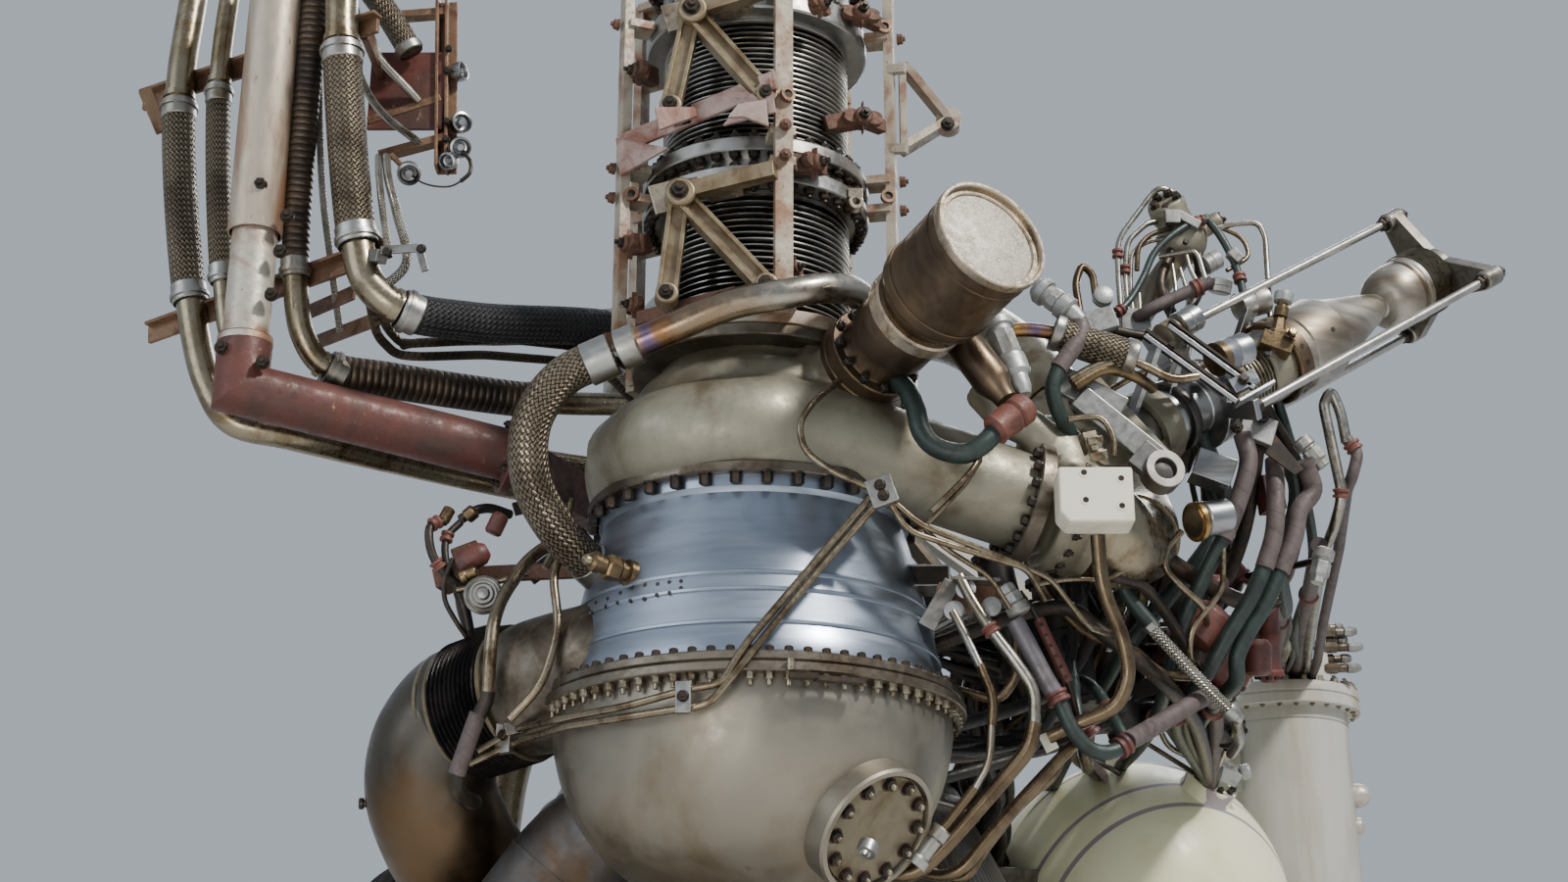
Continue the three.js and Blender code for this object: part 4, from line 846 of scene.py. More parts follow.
def build_volute():
    body = lathe(rounded(VOLUTE_PROFILE, 14.0), 96, PUMP)
    scroll = sweep(smooth_route(SCROLL, 20.0), SCROLL_RADIUS, 40)
    neck = rod(CAN_BASE - CAN_AXIS * 150.0, CAN_BASE - CAN_AXIS * 2.0, 66.0, 40)
    saddle = rod(CAN_BASE - CAN_AXIS * 150.0, CAN_BASE - CAN_AXIS * 60.0, 84.0, 40)
    cast("volute_casting", "casting", body, scroll, neck, saddle, replaces=["pump_volute"])
    lower = flange_ring(225, 258, 2297, 2313, 144)
    upper = flange_ring(140, 196, 2537, 2556, 120)
    end = flange_ring(40, 98, -24, 0, 72, DISCHARGE_END, DISCHARGE_RUN)
    build("volute_flanges", "flange", lower, upper, end)
    collar = flange_ring(40, 76, -14, 0, 72, CAN_BASE, CAN_AXIS)
    build("neck_flange", "can", collar)
    back = DISCHARGE_END - DISCHARGE_RUN * 24.0
    build("discharge_bolts", "bolt", bolt_circle(back, -DISCHARGE_RUN, 86, 18, 14.0, 10.0))


# Oxidiser inlet above the pump: two bellows with a bolted ring between them, and the top duct
# Bellows: low end, high end and number of folds
INLET_BELLOWS = {"lower": (2582.0, 2796.0, 20), "upper": (2884.0, 3106.0, 23)}
BELLOWS_INNER = 130.0
BELLOWS_OUTER = 154.0
INLET_BOLTS = 36
# Bolts of the ring: level, whether they face up or down, height of the head, and stud
RING_BOLT_ROWS = [(2802, -1, 10.0, 5.0), (2828, 1, 9.0, 0.0), (2854, -1, 9.0, 2.0), (2878, 1, 10.0, 5.0)]


def build_inlet():
    for name, (low, high, count) in INLET_BELLOWS.items():
        # The dark core between the bright crests is painted shade in the folds
        wave = convolutions(low, high, BELLOWS_INNER, BELLOWS_OUTER - 9.0, count, 6)
        build(f"inlet_core_{name}", "bellows", lathe(wave, 72, PUMP), replaces=[f"inlet_bellows_{name}"],
              sharp=60)
        pitch = (high - low) / count
        crests = []
        for i in range(count):
            middle = low + (i + 0.5) * pitch
            crests.append(lathe([(140, middle - 1.2), (151, middle - 2.0), (153.5, middle - 0.8),
                                 (153.5, middle + 0.8), (151, middle + 2.0), (140, middle + 1.2)], 96, PUMP,
                                ends=False))
        build(f"inlet_crests_{name}", "convolutions", *crests, sharp=60)
    cuffs = [flange_ring(120, 152, 2556.4, 2582, 96, chamfer=3), flange_ring(120, 150, 2794, 2802, 96),
             flange_ring(120, 150, 2878, 2886, 96), flange_ring(120, 152, 3104, 3112, 96)]
    build("inlet_cuffs", "silver", *cuffs)
    ring = [flange_ring(120, 185, 2802, 2828, 120), hoop(120, 160, 2827, 2855, 96, PUMP),
            flange_ring(120, 185, 2854, 2878, 120)]
    build("inlet_ring", "silver", *ring, replaces=["inlet_mid_ring"])
    nuts = [bolt_circle(PUMP + UP * level, UP * way, 173, INLET_BOLTS, 15.0, height, stud)
            for level, way, height, stud in RING_BOLT_ROWS]
    build("inlet_ring_bolts", "bolt", *nuts)
    top = lathe([(172, 3110), (182, 3110), (185, 3113), (185, 3148), (182, 3151), (160, 3154), (158, 3160),
                 (158, 3258), (162, 3262), (194, 3264), (196, 3267), (196, 3288), (194, 3290), (146, 3290),
                 (146, 3230)], 120, PUMP)
    build("inlet_head", "silver", top, replaces=["inlet_top_duct"])
    head_bolts = [bolt_circle(PUMP + UP * 3151, UP, 173, INLET_BOLTS, 15.0, 10.0, 5.0),
                  bolt_circle(PUMP + UP * 3264, -UP, 180, INLET_BOLTS, 15.0, 12.0, 6.0)]
    build("inlet_head_bolts", "bolt", *head_bolts)


# Capped duct: a stepped can with a bright rim round a recessed grainy plate
CAN_BARREL = [(60, 26), (58, 30), (58, 60), (66, 66), (66, 118), (64, 122), (64, 148), (68, 158), (80, 174),
              (85, 180), (86, 186), (86, 322)]
CAN_SIDES = 96


def build_can():
    barrel = lathe(CAN_BARREL, CAN_SIDES, CAN_BASE, CAN_AXIS)
    foot = flange_ring(30, 76, 1, 26, CAN_SIDES, CAN_BASE, CAN_AXIS)
    bands = [flange_ring(80, 88, 196, 202, CAN_SIDES, CAN_BASE, CAN_AXIS, 1.0),
             flange_ring(80, 87.4, 296, 300, CAN_SIDES, CAN_BASE, CAN_AXIS, 1.0)]
    build("can_barrel", "can", barrel, foot, *bands, replaces=["capped_duct"])
    collar = flange_ring(50, 76, 124, 150, CAN_SIDES, CAN_BASE, CAN_AXIS, 3.0)
    rim = lathe([(84, 318), (89, 321), (90, 324), (90, 334), (88.5, 336), (84.5, 336), (83, 334), (83, 322),
                 (84, 318)], CAN_SIDES, CAN_BASE, CAN_AXIS, ends=False)
    step = lathe([(84, 322), (84, 327), (76, 327), (74.5, 325), (74.5, 320)], CAN_SIDES, CAN_BASE, CAN_AXIS)
    build("can_rim", "can_rim", collar, rim, step)
    plate = lathe([(76, 318), (76, 322), (73.5, 323.5), (2, 323.5)], CAN_SIDES, CAN_BASE, CAN_AXIS)
    build("can_plate", "can_plate", plate)
    heads = bolt_circle(CAN_BASE + CAN_AXIS * 26.0, CAN_AXIS, 67, 12, 13.0, 9.0, 4.0)
    build("can_bolts", "bolt", heads)


# Bleed pipe with its temper colours, and the braided hose that hangs from it
BLEED_PIPE = [(-197, -1044, 2488), (-114, -1066, 2517), (-31, -1078, 2548), (53, -1078, 2566),
              (110, -1052, 2586), (160, -990, 2602), (196, -930, 2570), (190, -880, 2520), (150, -850, 2490)]
BLEED_HOSE = [(-206, -1042, 2484), (-280, -1032, 2451), (-325, -1020, 2385), (-325, -1000, 2301),
              (-284, -950, 2232), (-225, -880, 2190)]
BLEED_PIPE_RADIUS = 23.0
BLEED_HOSE_RADIUS = 32.0


def build_bleed():
    pipe = smooth_route(BLEED_PIPE, 9.0)
    hose = smooth_route(BLEED_HOSE, 9.0)
    build("bleed_tube", "pipe_silver", sweep(pipe, BLEED_PIPE_RADIUS, 32), replaces=["bleed_pipe"])
    build("bleed_braid", "braid", sweep(hose, BLEED_HOSE_RADIUS - 2.0, 32), replaces=["bleed_hose"])
    collars = [ferrule(hose, BLEED_HOSE_RADIUS - 4.0, 46.0, 5.0, 32),
               ferrule(list(reversed(hose)), BLEED_HOSE_RADIUS - 4.0, 40.0, 5.0, 32),
               ferrule(pipe, BLEED_PIPE_RADIUS, 34.0, 8.0, 32)]
    build("bleed_collars", "silver", *collars)


# Hot gas path: turbine inlet, black bellows, elbow, crossover and the exhaust duct
INLET_START = Vector((-176.0, -903.0, 2061.0))
INLET_END = Vector((-366.0, -766.0, 2032.0))
INLET_AXIS = (INLET_END - INLET_START).normalized()
INLET_BELLOWS_LENGTH = 88.0
ELBOW_START = INLET_END + INLET_AXIS * (INLET_BELLOWS_LENGTH + 1.0)
ELBOW_PATH = [ELBOW_START, ELBOW_START + INLET_AXIS * 24.0, (-495, -676, 1972), (-505, -648, 1912),
              (-485, -608, 1850), (-456, -554, 1800)]
CROSSOVER_PATH = [(-455, -551, 1797), (-483, -468, 1762), (-580, -310, 1735), (-655, -90, 1720),
                  (-655, 190, 1720), (-540, 470, 1755), (-360, 660, 1815), (-190, 740, 1860)]
EXHAUST_PATH = [(-160, -750, 1880), (-270, -716, 1800), (-350, -706, 1700), (-440, -700, 1560),
                (-500, -684, 1420), (-510, -648, 1240)]
HOT_RADIUS = 102.0
HOT_FOLDS = 11
HOT_RIBS_FROM = -16.0
EXHAUST_RADIUS = 82.0


def build_hot_gas():
    cone = lathe(rounded([(60, -34), (76, 0), (92, 34), (97, 80), (101, 130), (102, 190), (94, 234)], 8.0),
                 144, INLET_START, INLET_AXIS)
    build("turbine_inlet_cone", "flange", cone, replaces=["turbine_inlet"])
    # The near-black core is painted shade in the folds between the crests
    wave = convolutions(HOT_RIBS_FROM, INLET_BELLOWS_LENGTH - 2.0, 92.0, 101.0, HOT_FOLDS)
    build("hot_bellows", "shade", lathe(wave, 72, INLET_END, INLET_AXIS), replaces=["crossover_bellows"],
          sharp=60)
    crests = []
    for i in range(HOT_FOLDS):
        middle = HOT_RIBS_FROM + (i + 0.5) * (INLET_BELLOWS_LENGTH - 2.0 - HOT_RIBS_FROM) / HOT_FOLDS
        crests.append(lathe([(97, middle - 2.2), (106, middle - 1.8), (109, middle), (106, middle + 1.8),
                             (97, middle + 2.2)], 72, INLET_END, INLET_AXIS, ends=False))
    build("hot_crests", "bellows", *crests, sharp=60)
    bands = [flange_ring(80, 107, HOT_RIBS_FROM - 8.0, HOT_RIBS_FROM, 72, INLET_END, INLET_AXIS),
             flange_ring(80, 106, INLET_BELLOWS_LENGTH - 3, INLET_BELLOWS_LENGTH + 5, 72, INLET_END,
                         INLET_AXIS)]
    build("hot_bellows_bands", "cover", *bands)
    build("hot_elbow_seam", "pipe", hoop(90, 103.2, 20, 27, 72, ELBOW_START, INLET_AXIS))
    stud = lathe([(9, -30), (9, 4), (6, 5), (6, 10), (9, 11), (9, 17)], 20, seen(378, 820, -648), (-1, 0, 0))
    build("hot_elbow_stud", "bolt", stud)
    elbow = sweep(smooth_route(ELBOW_PATH, 12.0), HOT_RADIUS, 72)
    build("hot_elbow", "heat", elbow, replaces=["crossover_elbow"])
    duct = smooth_route(CROSSOVER_PATH, 16.0)
    build("hot_crossover", "heat", sweep(duct, HOT_RADIUS - 4.0, 64), replaces=["crossover_duct"])
    build("exhaust_pipe", "exhaust", sweep(smooth_route(EXHAUST_PATH, 16.0), EXHAUST_RADIUS, 56),
          replaces=["exhaust_duct"])
    seams = smooth_route(EXHAUST_PATH, 8.0)
    build("exhaust_seams", "exhaust", *[hoop(EXHAUST_RADIUS - 12, EXHAUST_RADIUS + 2, -3, 3, 56, seams[i],
                                             seams[i + 1] - seams[i - 1]) for i in (10, 24, 44)])
    fine = stretch_of(smooth_route(CROSSOVER_PATH, 3.0), CROSSOVER_PATH[1], CROSSOVER_PATH[2])
    lower = sweep(fine, lambda run: HOT_RADIUS - 2 + 9 * math.cos(math.pi * run / 18.0) ** 2, 64)
    build("crossover_bellows_lower", "bellows", lower)


# Discharge valve, main duct and the cream junction box
VALVE_BASE = DISCHARGE_END + DISCHARGE_RUN * 25.0
VALVE_NOSE_AXIS = Vector((-0.25, -0.15, 1.0)).normalized()
VALVE_SIDE = [(430, -925, 2400), (390, -930, 2425), (352, -905, 2480)]
MAIN_DUCT = [(560, -810, 2262), (610, -690, 2320), (560, -520, 2520), (450, -300, 2790), (350, -130, 2920),
             (268, -40, 2948)]
MAIN_DUCT_RADIUS = 72.0
BOX_FRONT = Vector((498.0, -1052.0, 2262.0))
BOX_OUTLINE = [(-54, -26), (-40, -42), (54, -42), (54, 42), (-54, 42)]
BOX_DEPTH = 62.0
# Box holes: their pixels
BOX_HOLES = [(1106, 482), (1144, 488), (1108, 510), (1145, 516)]


def build_discharge():
    seat = lathe([(88, 0), (92, 3), (92, 24), (86, 27), (86, 46), (92, 49), (92, 67), (88, 70)], 72,
                 VALVE_BASE, DISCHARGE_RUN)
    middle = VALVE_BASE + DISCHARGE_RUN * 34.0
    nose = lathe(rounded([(70, -40), (70, 0), (68, 60), (56, 110), (34, 146), (12, 159), (2, 160)], 6.0), 64,
                 middle, VALVE_NOSE_AXIS)
    side = sweep(smooth_route([middle, *VALVE_SIDE], 10.0), 30.0, 32)
    cast("discharge_body", "casting", seat, nose, side, voxel=4.0, smooth=3, replaces=["discharge_valve"])
    build("discharge_studs", "bolt",
          bolt_circle(VALVE_BASE + DISCHARGE_RUN * 25, DISCHARGE_RUN, 87, 18, 12, 8, 4))
    start = VALVE_BASE + DISCHARGE_RUN * 66.0
    duct = smooth_route([start, VALVE_BASE + DISCHARGE_RUN * 90.0, *MAIN_DUCT], 14.0)
    build("main_duct_pipe", "pipe", sweep(duct, MAIN_DUCT_RADIUS, 56), replaces=["main_duct"])
    bands = [hoop(60, MAIN_DUCT_RADIUS + 3.0, -5, 5, 56, duct[i], duct[i + 1] - duct[i - 1])
             for i in (14, 30, 46)]
    build("main_duct_welds", "pipe", *bands)


def build_junction_box():
    corner = BOX_FRONT + Vector((0.0, BOX_DEPTH, 0.0))
    case = prism(BOX_OUTLINE, BOX_DEPTH, corner, (1, 0, 0), UP)
    build("box_case", "cream", case, replaces=["junction_box"], bevel=4.0)
    foot = block(BOX_FRONT + Vector((-20.0, 68.0, 30.0)), (60, 14, 30))
    build("box_foot", "silver", foot, bevel=1.5)
    rims = Shape()
    holes = Shape()
    for u, v in BOX_HOLES:
        place = seen(u, v, BOX_FRONT.y)
        rims.join(hoop(4.5, 7.0, -1.0, 0.8, 24, place, (0, -1, 0)))
        holes.join(lathe([(5, -1), (5, 0.3)], 20, place, (0, -1, 0)))
    build("box_rims", "cream", rims)
    # Dark discs in the holes: painted shade in them
    build("box_hole_shades", "bolt", holes)


# Actuator on one slanted axis: places on it are given by station in mm, angle in degrees and radius
ACTUATOR_START = Vector((589.0, -800.0, 2435.0))
ACTUATOR_AXIS = Vector((0.771, 0.359, 0.526)).normalized()
ACTUATOR_RIGHT = ACTUATOR_AXIS.cross(UP).normalized()
ACTUATOR_DOWN = ACTUATOR_AXIS.cross(ACTUATOR_RIGHT)
# Tie rods: angle round the axis and station of the lower end
TIE_RODS = [(24, 165), (144, 165), (264, 270)]
ROD_CIRCLE = 122
SPIDER_STATION = 766.0
# Holes round the actuator: station, how many, and the radius that they lie on
ACTUATOR_HOLES = [(50, 10, 48.6), (357, 16, 72.6), (215, 12, 59.6), (438, 4, 70.6)]
ARM_OUTLINE = [(-36, 30), (36, 30), (20, 118), (13, 134), (-13, 134), (-20, 118)]


ACTUATOR_SIDES = 72


def station(distance, angle=0.0, radius=0.0):
    """A place by its station along the axis, its angle round it and its radius."""
    turn = math.radians(angle)
    out = ACTUATOR_RIGHT * math.cos(turn) + ACTUATOR_DOWN * math.sin(turn)
    return ACTUATOR_START + ACTUATOR_AXIS * distance + out * radius


def turned_actuator(profile):
    """Turned shape on the actuator's axis, from pairs of radius and station."""
    return lathe(profile, ACTUATOR_SIDES, ACTUATOR_START, ACTUATOR_AXIS)


def build_actuator():
    cap = turned_actuator([(36, -2), (44, 0), (50, 6), (50, 28), (49, 30), (49, 70), (50, 72), (50, 95)])
    barrel = turned_actuator([(46, 112), (46, 150), (48, 152), (48, 170), (46, 172), (46, 184)])
    flange = turned_actuator([(58, 184), (62, 187), (62, 197), (60, 200)])
    build("actuator_cap", "polished", cap, barrel, flange, replaces=["actuator_body"])
    build("actuator_grease_ring", "bellows",
          turned_actuator([(50, 94), (58, 96), (60, 99), (60, 110), (58, 113)]))
    sleeve = turned_actuator([(58, 200), (60, 204), (60, 232), (58, 235), (56, 238), (56, 296), (60, 300),
                              (62, 306), (62, 342)])
    build("actuator_sleeve", "casting", sleeve)
    build("actuator_sleeve_rings", "nut",
          *[turned_actuator([(55, low), (60, low + 0.8), (60, low + 3.2), (55, low + 4)])
            for low in range(242, 292, 8)])
    build("actuator_brass", "can", turned_actuator([(70, 341), (73, 344), (73, 370), (70, 373)]),
          turned_actuator([(55, 686), (58, 688), (58, 696), (55, 698)]))
    shoulder = turned_actuator([(62, 372), (66, 374), (66, 390), (69, 393), (71, 404), (71, 466), (68, 474),
                                (61, 486), (52, 520), (30, 602), (25, 618), (22, 626), (24, 630), (36, 634),
                                (46, 641), (53, 652), (57, 668), (58, 684), (57, 702), (60, 704),
                                (60, 712)])
    build("actuator_shoulder", "satin", shoulder, replaces=["actuator_cone"])
    wave = convolutions(713, 764, 48, 62, 8, 6)
    build("actuator_convolutions", "pipe_plain", turned_actuator(wave), replaces=["actuator_bellows"],
          sharp=60)
    # Dark discs at the holes: painted shade in them
    holes = Shape()
    for low, count, radius in ACTUATOR_HOLES:
        for i in range(count):
            place = station(low, 360.0 * i / count, radius)
            holes.join(lathe([(4.5, 0), (4.5, 0.9)], 12, place, place - station(low)))
    build("actuator_hole_shades", "bolt", holes)
    rings = [flange_ring(40, 78, 152, 164, ACTUATOR_SIDES, ACTUATOR_START, ACTUATOR_AXIS),
             flange_ring(40, 66, 188, 196, ACTUATOR_SIDES, ACTUATOR_START, ACTUATOR_AXIS)]
    arms = [bar(station(158, angle, 64), station(158, angle, 136), 12, 34, ACTUATOR_AXIS)
            for angle, _ in TIE_RODS]
    rail = bar(station(152, 264, ROD_CIRCLE), station(269, 264, ROD_CIRCLE), 24, 24, UP)
    build("actuator_clamp_plate", "polished", *rings, *arms, rail, replaces=["actuator_clamp"], bevel=2.0)
    nuts = [bolt(station(164, angle, ROD_CIRCLE), ACTUATOR_AXIS, 22, 14) for angle, _ in TIE_RODS[:2]]
    nuts += [bolt(station(164, angle, 70), ACTUATOR_AXIS, 12, 8) for angle in range(0, 360, 45)]
    build("actuator_clamp_nuts", "bolt", *nuts)


def build_spider():
    hub = turned_actuator([(30, 766), (48, 766), (52, 770), (52, 788), (44, 795), (20, 798), (14, 806),
                           (2, 807)])
    arms = []
    tips = []
    rods = []
    nuts = []
    for angle, start in TIE_RODS:
        out = station(0, angle, 1) - station(0)
        arms.append(prism(ARM_OUTLINE, 22.0, station(SPIDER_STATION + 4), out.cross(ACTUATOR_AXIS), out))
        arms.append(bar(station(SPIDER_STATION + 14, angle, 34), station(SPIDER_STATION + 14, angle, 118),
                        10, 40, ACTUATOR_AXIS))
        tips.append(lathe([(14, -6), (17, -3), (17, 32), (14, 35)], 32,
                          station(SPIDER_STATION, angle, ROD_CIRCLE), ACTUATOR_AXIS))
        rods.append(rod(station(start, angle, ROD_CIRCLE), station(SPIDER_STATION + 30, angle, ROD_CIRCLE),
                        7.5, 24))
        nuts.append(bolt(station(SPIDER_STATION + 34, angle, ROD_CIRCLE), ACTUATOR_AXIS, 20, 12, 6))
        nuts.append(bolt(station(SPIDER_STATION - 8, angle, ROD_CIRCLE), -ACTUATOR_AXIS, 20, 12))
    build("spider_arms", "steel", hub, *arms, *tips, replaces=["actuator_spider"], bevel=2.0)
    build("tie_rods", "smooth", *rods)
    build("spider_nuts", "bolt", *nuts)


# Start sphere with its boss, and the grey tank with its studded lid
SPHERE_RADIUS = 300.0
SPHERE_BOSS_TOP = Vector((875.0, 137.0, 2078.0))
BOSS_AXIS = (SPHERE_BOSS_TOP - SPHERE_CENTRE).normalized()
TANK_CENTRE = Vector((1132.0, 640.0, 0.0))
TANK_TOP = 2361.0
TANK_PROFILE = [(4, 1558), (70, 1561), (120, 1600), (137, 1640), (143, 1670), (143, 2281), (141, 2282),
                (141, 2285), (144, 2286), (144, 2311), (169, 2312), (171, 2314), (171, 2333), (168, 2335),
                (168, 2338), (171, 2340), (171, 2357), (169, 2360), (140, 2361), (4, 2361)]


def build_sphere():
    shell = ball(SPHERE_CENTRE, SPHERE_RADIUS, 144)
    build("sphere_shell", "sphere", shell, replaces=["start_sphere"])
    top = (SPHERE_BOSS_TOP - SPHERE_CENTRE).length
    boss = lathe([(56, SPHERE_RADIUS - 12), (54, SPHERE_RADIUS - 2), (52, SPHERE_RADIUS + 2), (52, top - 2),
                  (50, top)], 64, SPHERE_CENTRE, BOSS_AXIS)
    build("sphere_boss", "sphere", boss)
    build("sphere_boss_bolts", "bolt",
          bolt_circle(SPHERE_CENTRE + BOSS_AXIS * top, BOSS_AXIS, 42, 10, 11, 8, 3))


def build_tank():
    build("tank_shell", "tank", lathe(TANK_PROFILE, 96, TANK_CENTRE), replaces=["grey_tank"])
    heads = [bolt_circle(TANK_CENTRE + UP * 2312, -UP, 158, 28, 9, 4, 2),
             bolt_circle(TANK_CENTRE + UP * (TANK_TOP - 1), UP, 160, 26, 16, 12, 4)]
    build("tank_bolts", "nut", *heads)


# Service lines: each is a row of stretches between places of its route
LINES_TOP = 3300
LINES = {
    "a": [(-985, -722, LINES_TOP), (-991, -722, 3082), (-936, -722, 2706), (-892, -722, 2558),
          (-850, -716, 2500), (-760, -690, 2484), (-560, -520, 2488), (-360, -330, 2503),
          (-205, -180, 2520)],
    "b": [(-910, -762, LINES_TOP), (-914, -760, 3091), (-875, -757, 2726), (-850, -750, 2620),
          (-790, -700, 2560), (-560, -480, 2560), (-340, -280, 2580), (-180, -170, 2600)],
    "c": [(-741, -852, LINES_TOP), (-741, -850, 3098), (-740, -826, 2705), (-724, -804, 2610),
          (-690, -780, 2568), (-600, -730, 2566), (-364, -585, 2584), (-220, -420, 2640),
          (-150, -200, 2700)],
    "d": [(-690, -897, LINES_TOP), (-679, -895, 3091), (-629, -889, 2732), (-608, -886, 2668),
          (-560, -870, 2632), (-460, -800, 2640), (-241, -600, 2708), (-150, -420, 2730),
          (-110, -220, 2730)],
}
# Line, look, radius, and the numbers of the places where the stretch starts and ends
LINE_STRETCHES = [
    ("a", "pipe", 24, 0, 1), ("a", "braid", 28, 1, 2), ("a", "pipe", 24, 2, 8),
    ("b", "pipe", 17, 0, 1), ("b", "braid", 20.5, 1, 2), ("b", "pipe", 17, 2, 7),
    ("c", "ribbed", 22, 0, 2), ("c", "pipe", 20, 2, 4), ("c", "ribbed", 30, 4, 6), ("c", "pipe", 20, 6, 8),
    ("d", "pipe", 27, 0, 1), ("d", "braid", 32, 1, 2), ("d", "pipe", 27, 2, 4),
    ("d", "braid_black", 32, 4, 6), ("d", "pipe", 27, 6, 8),
]


def stretch_of(points, start, end):
    """The part of a smooth route between two places on it."""
    first, last = [min(range(len(points)), key=lambda i: (points[i] - Vector(place)).length)
                   for place in (start, end)]
    return points[first:last + 1]


def build_lines():
    collars = Shape()
    clips = Shape()
    dressed = set()
    for line, look, radius, start, end in LINE_STRETCHES:
        route = LINES[line]
        points = stretch_of(smooth_route(route, 9.0), route[start], route[end])
        first = line not in dressed
        dressed.add(line)
        build(f"line_{line}_{start}", look, sweep(points, radius, 32),
              replaces=[f"service_line_{line}"] if first else ())
        if look != "pipe":
            for ends in (points, list(reversed(points))):
                collars.join(ferrule(ends, radius - 1.0, 34.0, 2.5, 32))
                collars.join(hoop(radius - 2, radius + 4.5, 8, 15, 32, ends[0], ends[1] - ends[0]))
        else:
            clips.join(hoop(radius - 2, radius + 3, -5, 5, 32, points[-2], points[-1] - points[-2]))
    build("line_collars", "silver", collars)
    build("line_clips", "pipe", clips)


# Support post: open tube over a bolted splice and a red elbow on to the beam
POST = Vector((-805.0, -850.0, 0.0))
BEAM_END = Vector((-399.0, -690.0, 2449.0))
ELBOW_RADIUS = 43.0
POST_OPEN_Z = seen(268, 240, -850.0).z
POST_SPLICE_Z = seen(268, 345, -850.0).z
# Post bolts: pixels of their heads
POST_BOLTS = [(266, 189), (293, 221), (286, 257), (277, 301), (268, 370), (226, 355)]


def mitred(points, radius, sides):
    """Round tube whose straight runs meet in a flat cut at each corner."""
    points = [Vector(point) for point in points]
    side, other, _ = square_axes(points[1] - points[0])
    rings = [[points[0]
              + (side * math.cos(2 * math.pi * k / sides) + other * math.sin(2 * math.pi * k / sides))
              * radius for k in range(sides)]]
    for before, corner, after in zip(points, points[1:], [*points[2:], None]):
        run = (corner - before).normalized()
        cut = (run + (after - corner).normalized()).normalized() if after else run
        rings.append([place + run * ((corner - place).dot(cut) / run.dot(cut)) for place in rings[-1]])
    return skin(rings, [0.001 * i for i in range(len(rings))])


def build_post():
    corner = Vector((POST.x, POST.y, seen(252, 397, POST.y).z))
    tube = lathe([(40, POST_OPEN_Z + 60), (40, POST_OPEN_Z + 2), (41, POST_OPEN_Z), (43, POST_OPEN_Z),
                  (44, POST_OPEN_Z + 2), (44, LINES_TOP), (40, LINES_TOP)], 64, POST)
    bars = [bar((-1079, -640, 3125), (-625, -880, 3140), 30, 8, UP),
            bar((-1020, -655, 2676), (-590, -868, 2732), 30, 8, UP),
            bar(seen(148, 92, -700), seen(166, 134, -716), 24, 8, (1, 0, 0.4)),
            bar(seen(316, 318, -700), seen(362, 298, -800), 26, 6, UP),
            bar(seen(316, 352, -640), seen(394, 322, -800), 26, 6, UP),
            bar(seen(300, 300, -780), seen(300, 268, -780), 20, 6, (1, 0, 0))]
    build("post_tube", "galvanised", tube, replaces=["line_post"])
    build("post_mouth", "primer",
          lathe([(38.5, POST_OPEN_Z + 60), (39.5, POST_OPEN_Z + 1)], 48, POST, ends=False))
    lips = [bar((-1079, -648, 3140), (-625, -888, 3155), 6, 24, UP),
            bar((-1020, -663, 2691), (-590, -876, 2747), 6, 24, UP)]
    build("post_bars", "bronze_rust", *bars, *lips, bevel=1.5)
    sleeve = lathe([(36, POST_SPLICE_Z - 30), (37, POST_SPLICE_Z), (36, POST_OPEN_Z + 40)], 48, POST)
    build("post_splice", "galvanised_rust", sleeve)
    elbow = mitred([(POST.x, POST.y, POST_SPLICE_Z), corner, BEAM_END], ELBOW_RADIUS, 48)
    build("post_elbow", "primer", elbow, replaces=["line_beam"], sharp=20)
    band = lathe([(36, POST_SPLICE_Z + 2), (42, POST_SPLICE_Z + 1), (43.6, POST_SPLICE_Z - 3),
                  (43.6, POST_SPLICE_Z - 12)], 48, POST, ends=False)
    build("post_weld", "galvanised_rust", band)
    plate = lathe([(30, -14), (62, -10), (64, -8), (64, 4), (60, 6)], 48, BEAM_END, BEAM_END - corner)
    root = bar(BEAM_END + Vector((7, 6, -9)), (-140, -150, 2440), 80, 40, UP)
    build("beam_root", "primer", plate, root, bevel=2.0)
    heads = Shape()
    for u, v in POST_BOLTS:
        heads.join(bolt(seen(u, v, POST.y - 38.0), (0.1, -1.0, 0.0), 17.0, 12.0, 5.0))
    heads.join(bolt_circle(BEAM_END - (BEAM_END - corner).normalized() * 10, corner - BEAM_END, 53, 8, 11,
                           7, 3))
    build("post_bolts", "bolt", heads)


# Nozzle manifolds, chamber, dome and fuel side: what the photograph hides, from the type.
# A manifold has its height, radius and look.
RING_MANIFOLDS = {"exhaust_manifold": (1180.0, 88.0, "pipe"), "fuel_manifold": (1420.0, 58.0, "silver")}
CHAMBER_OUTER = [(262, 2231), (240, 2276), (218, 2330), (208, 2380), (208, 2400), (218, 2460), (240, 2520),
                 (262, 2580), (268, 2640), (268, 2798)]
CHAMBER_INNER = [(238, 2850), (236, 2600), (212, 2530), (190, 2460), (184, 2400), (188, 2370), (212, 2300),
                 (244, 2231)]
FUEL_PUMP_PROFILE = [(110, 1730), (215, 1745), (238, 1760), (245, 1780), (245, 1940), (238, 1947),
                     (205, 1952), (205, 2178), (222, 2184), (222, 2210), (205, 2214), (205, 2440),
                     (236, 2446), (242, 2452), (242, 2558), (190, 2575), (160, 2690)]
GENERATOR_PATH = [(150, 860, 1860), (300, 900, 1880), (350, 915, 1960), (350, 915, 2120)]
FUEL_OUTLET_PATH = [(-120, 640, 2505), (-260, 680, 2505), (-360, 720, 2490)]
FUEL_FEED_PATH = [(-364, 722, 2489), (-380, 728, 2486), (-450, 740, 2440), (-560, 740, 2280),
                  (-600, 730, 2000), (-610, 700, 1750), (-590, 620, 1560), (-530, 530, 1440)]
FUEL_FEED_RADIUS = 62.0


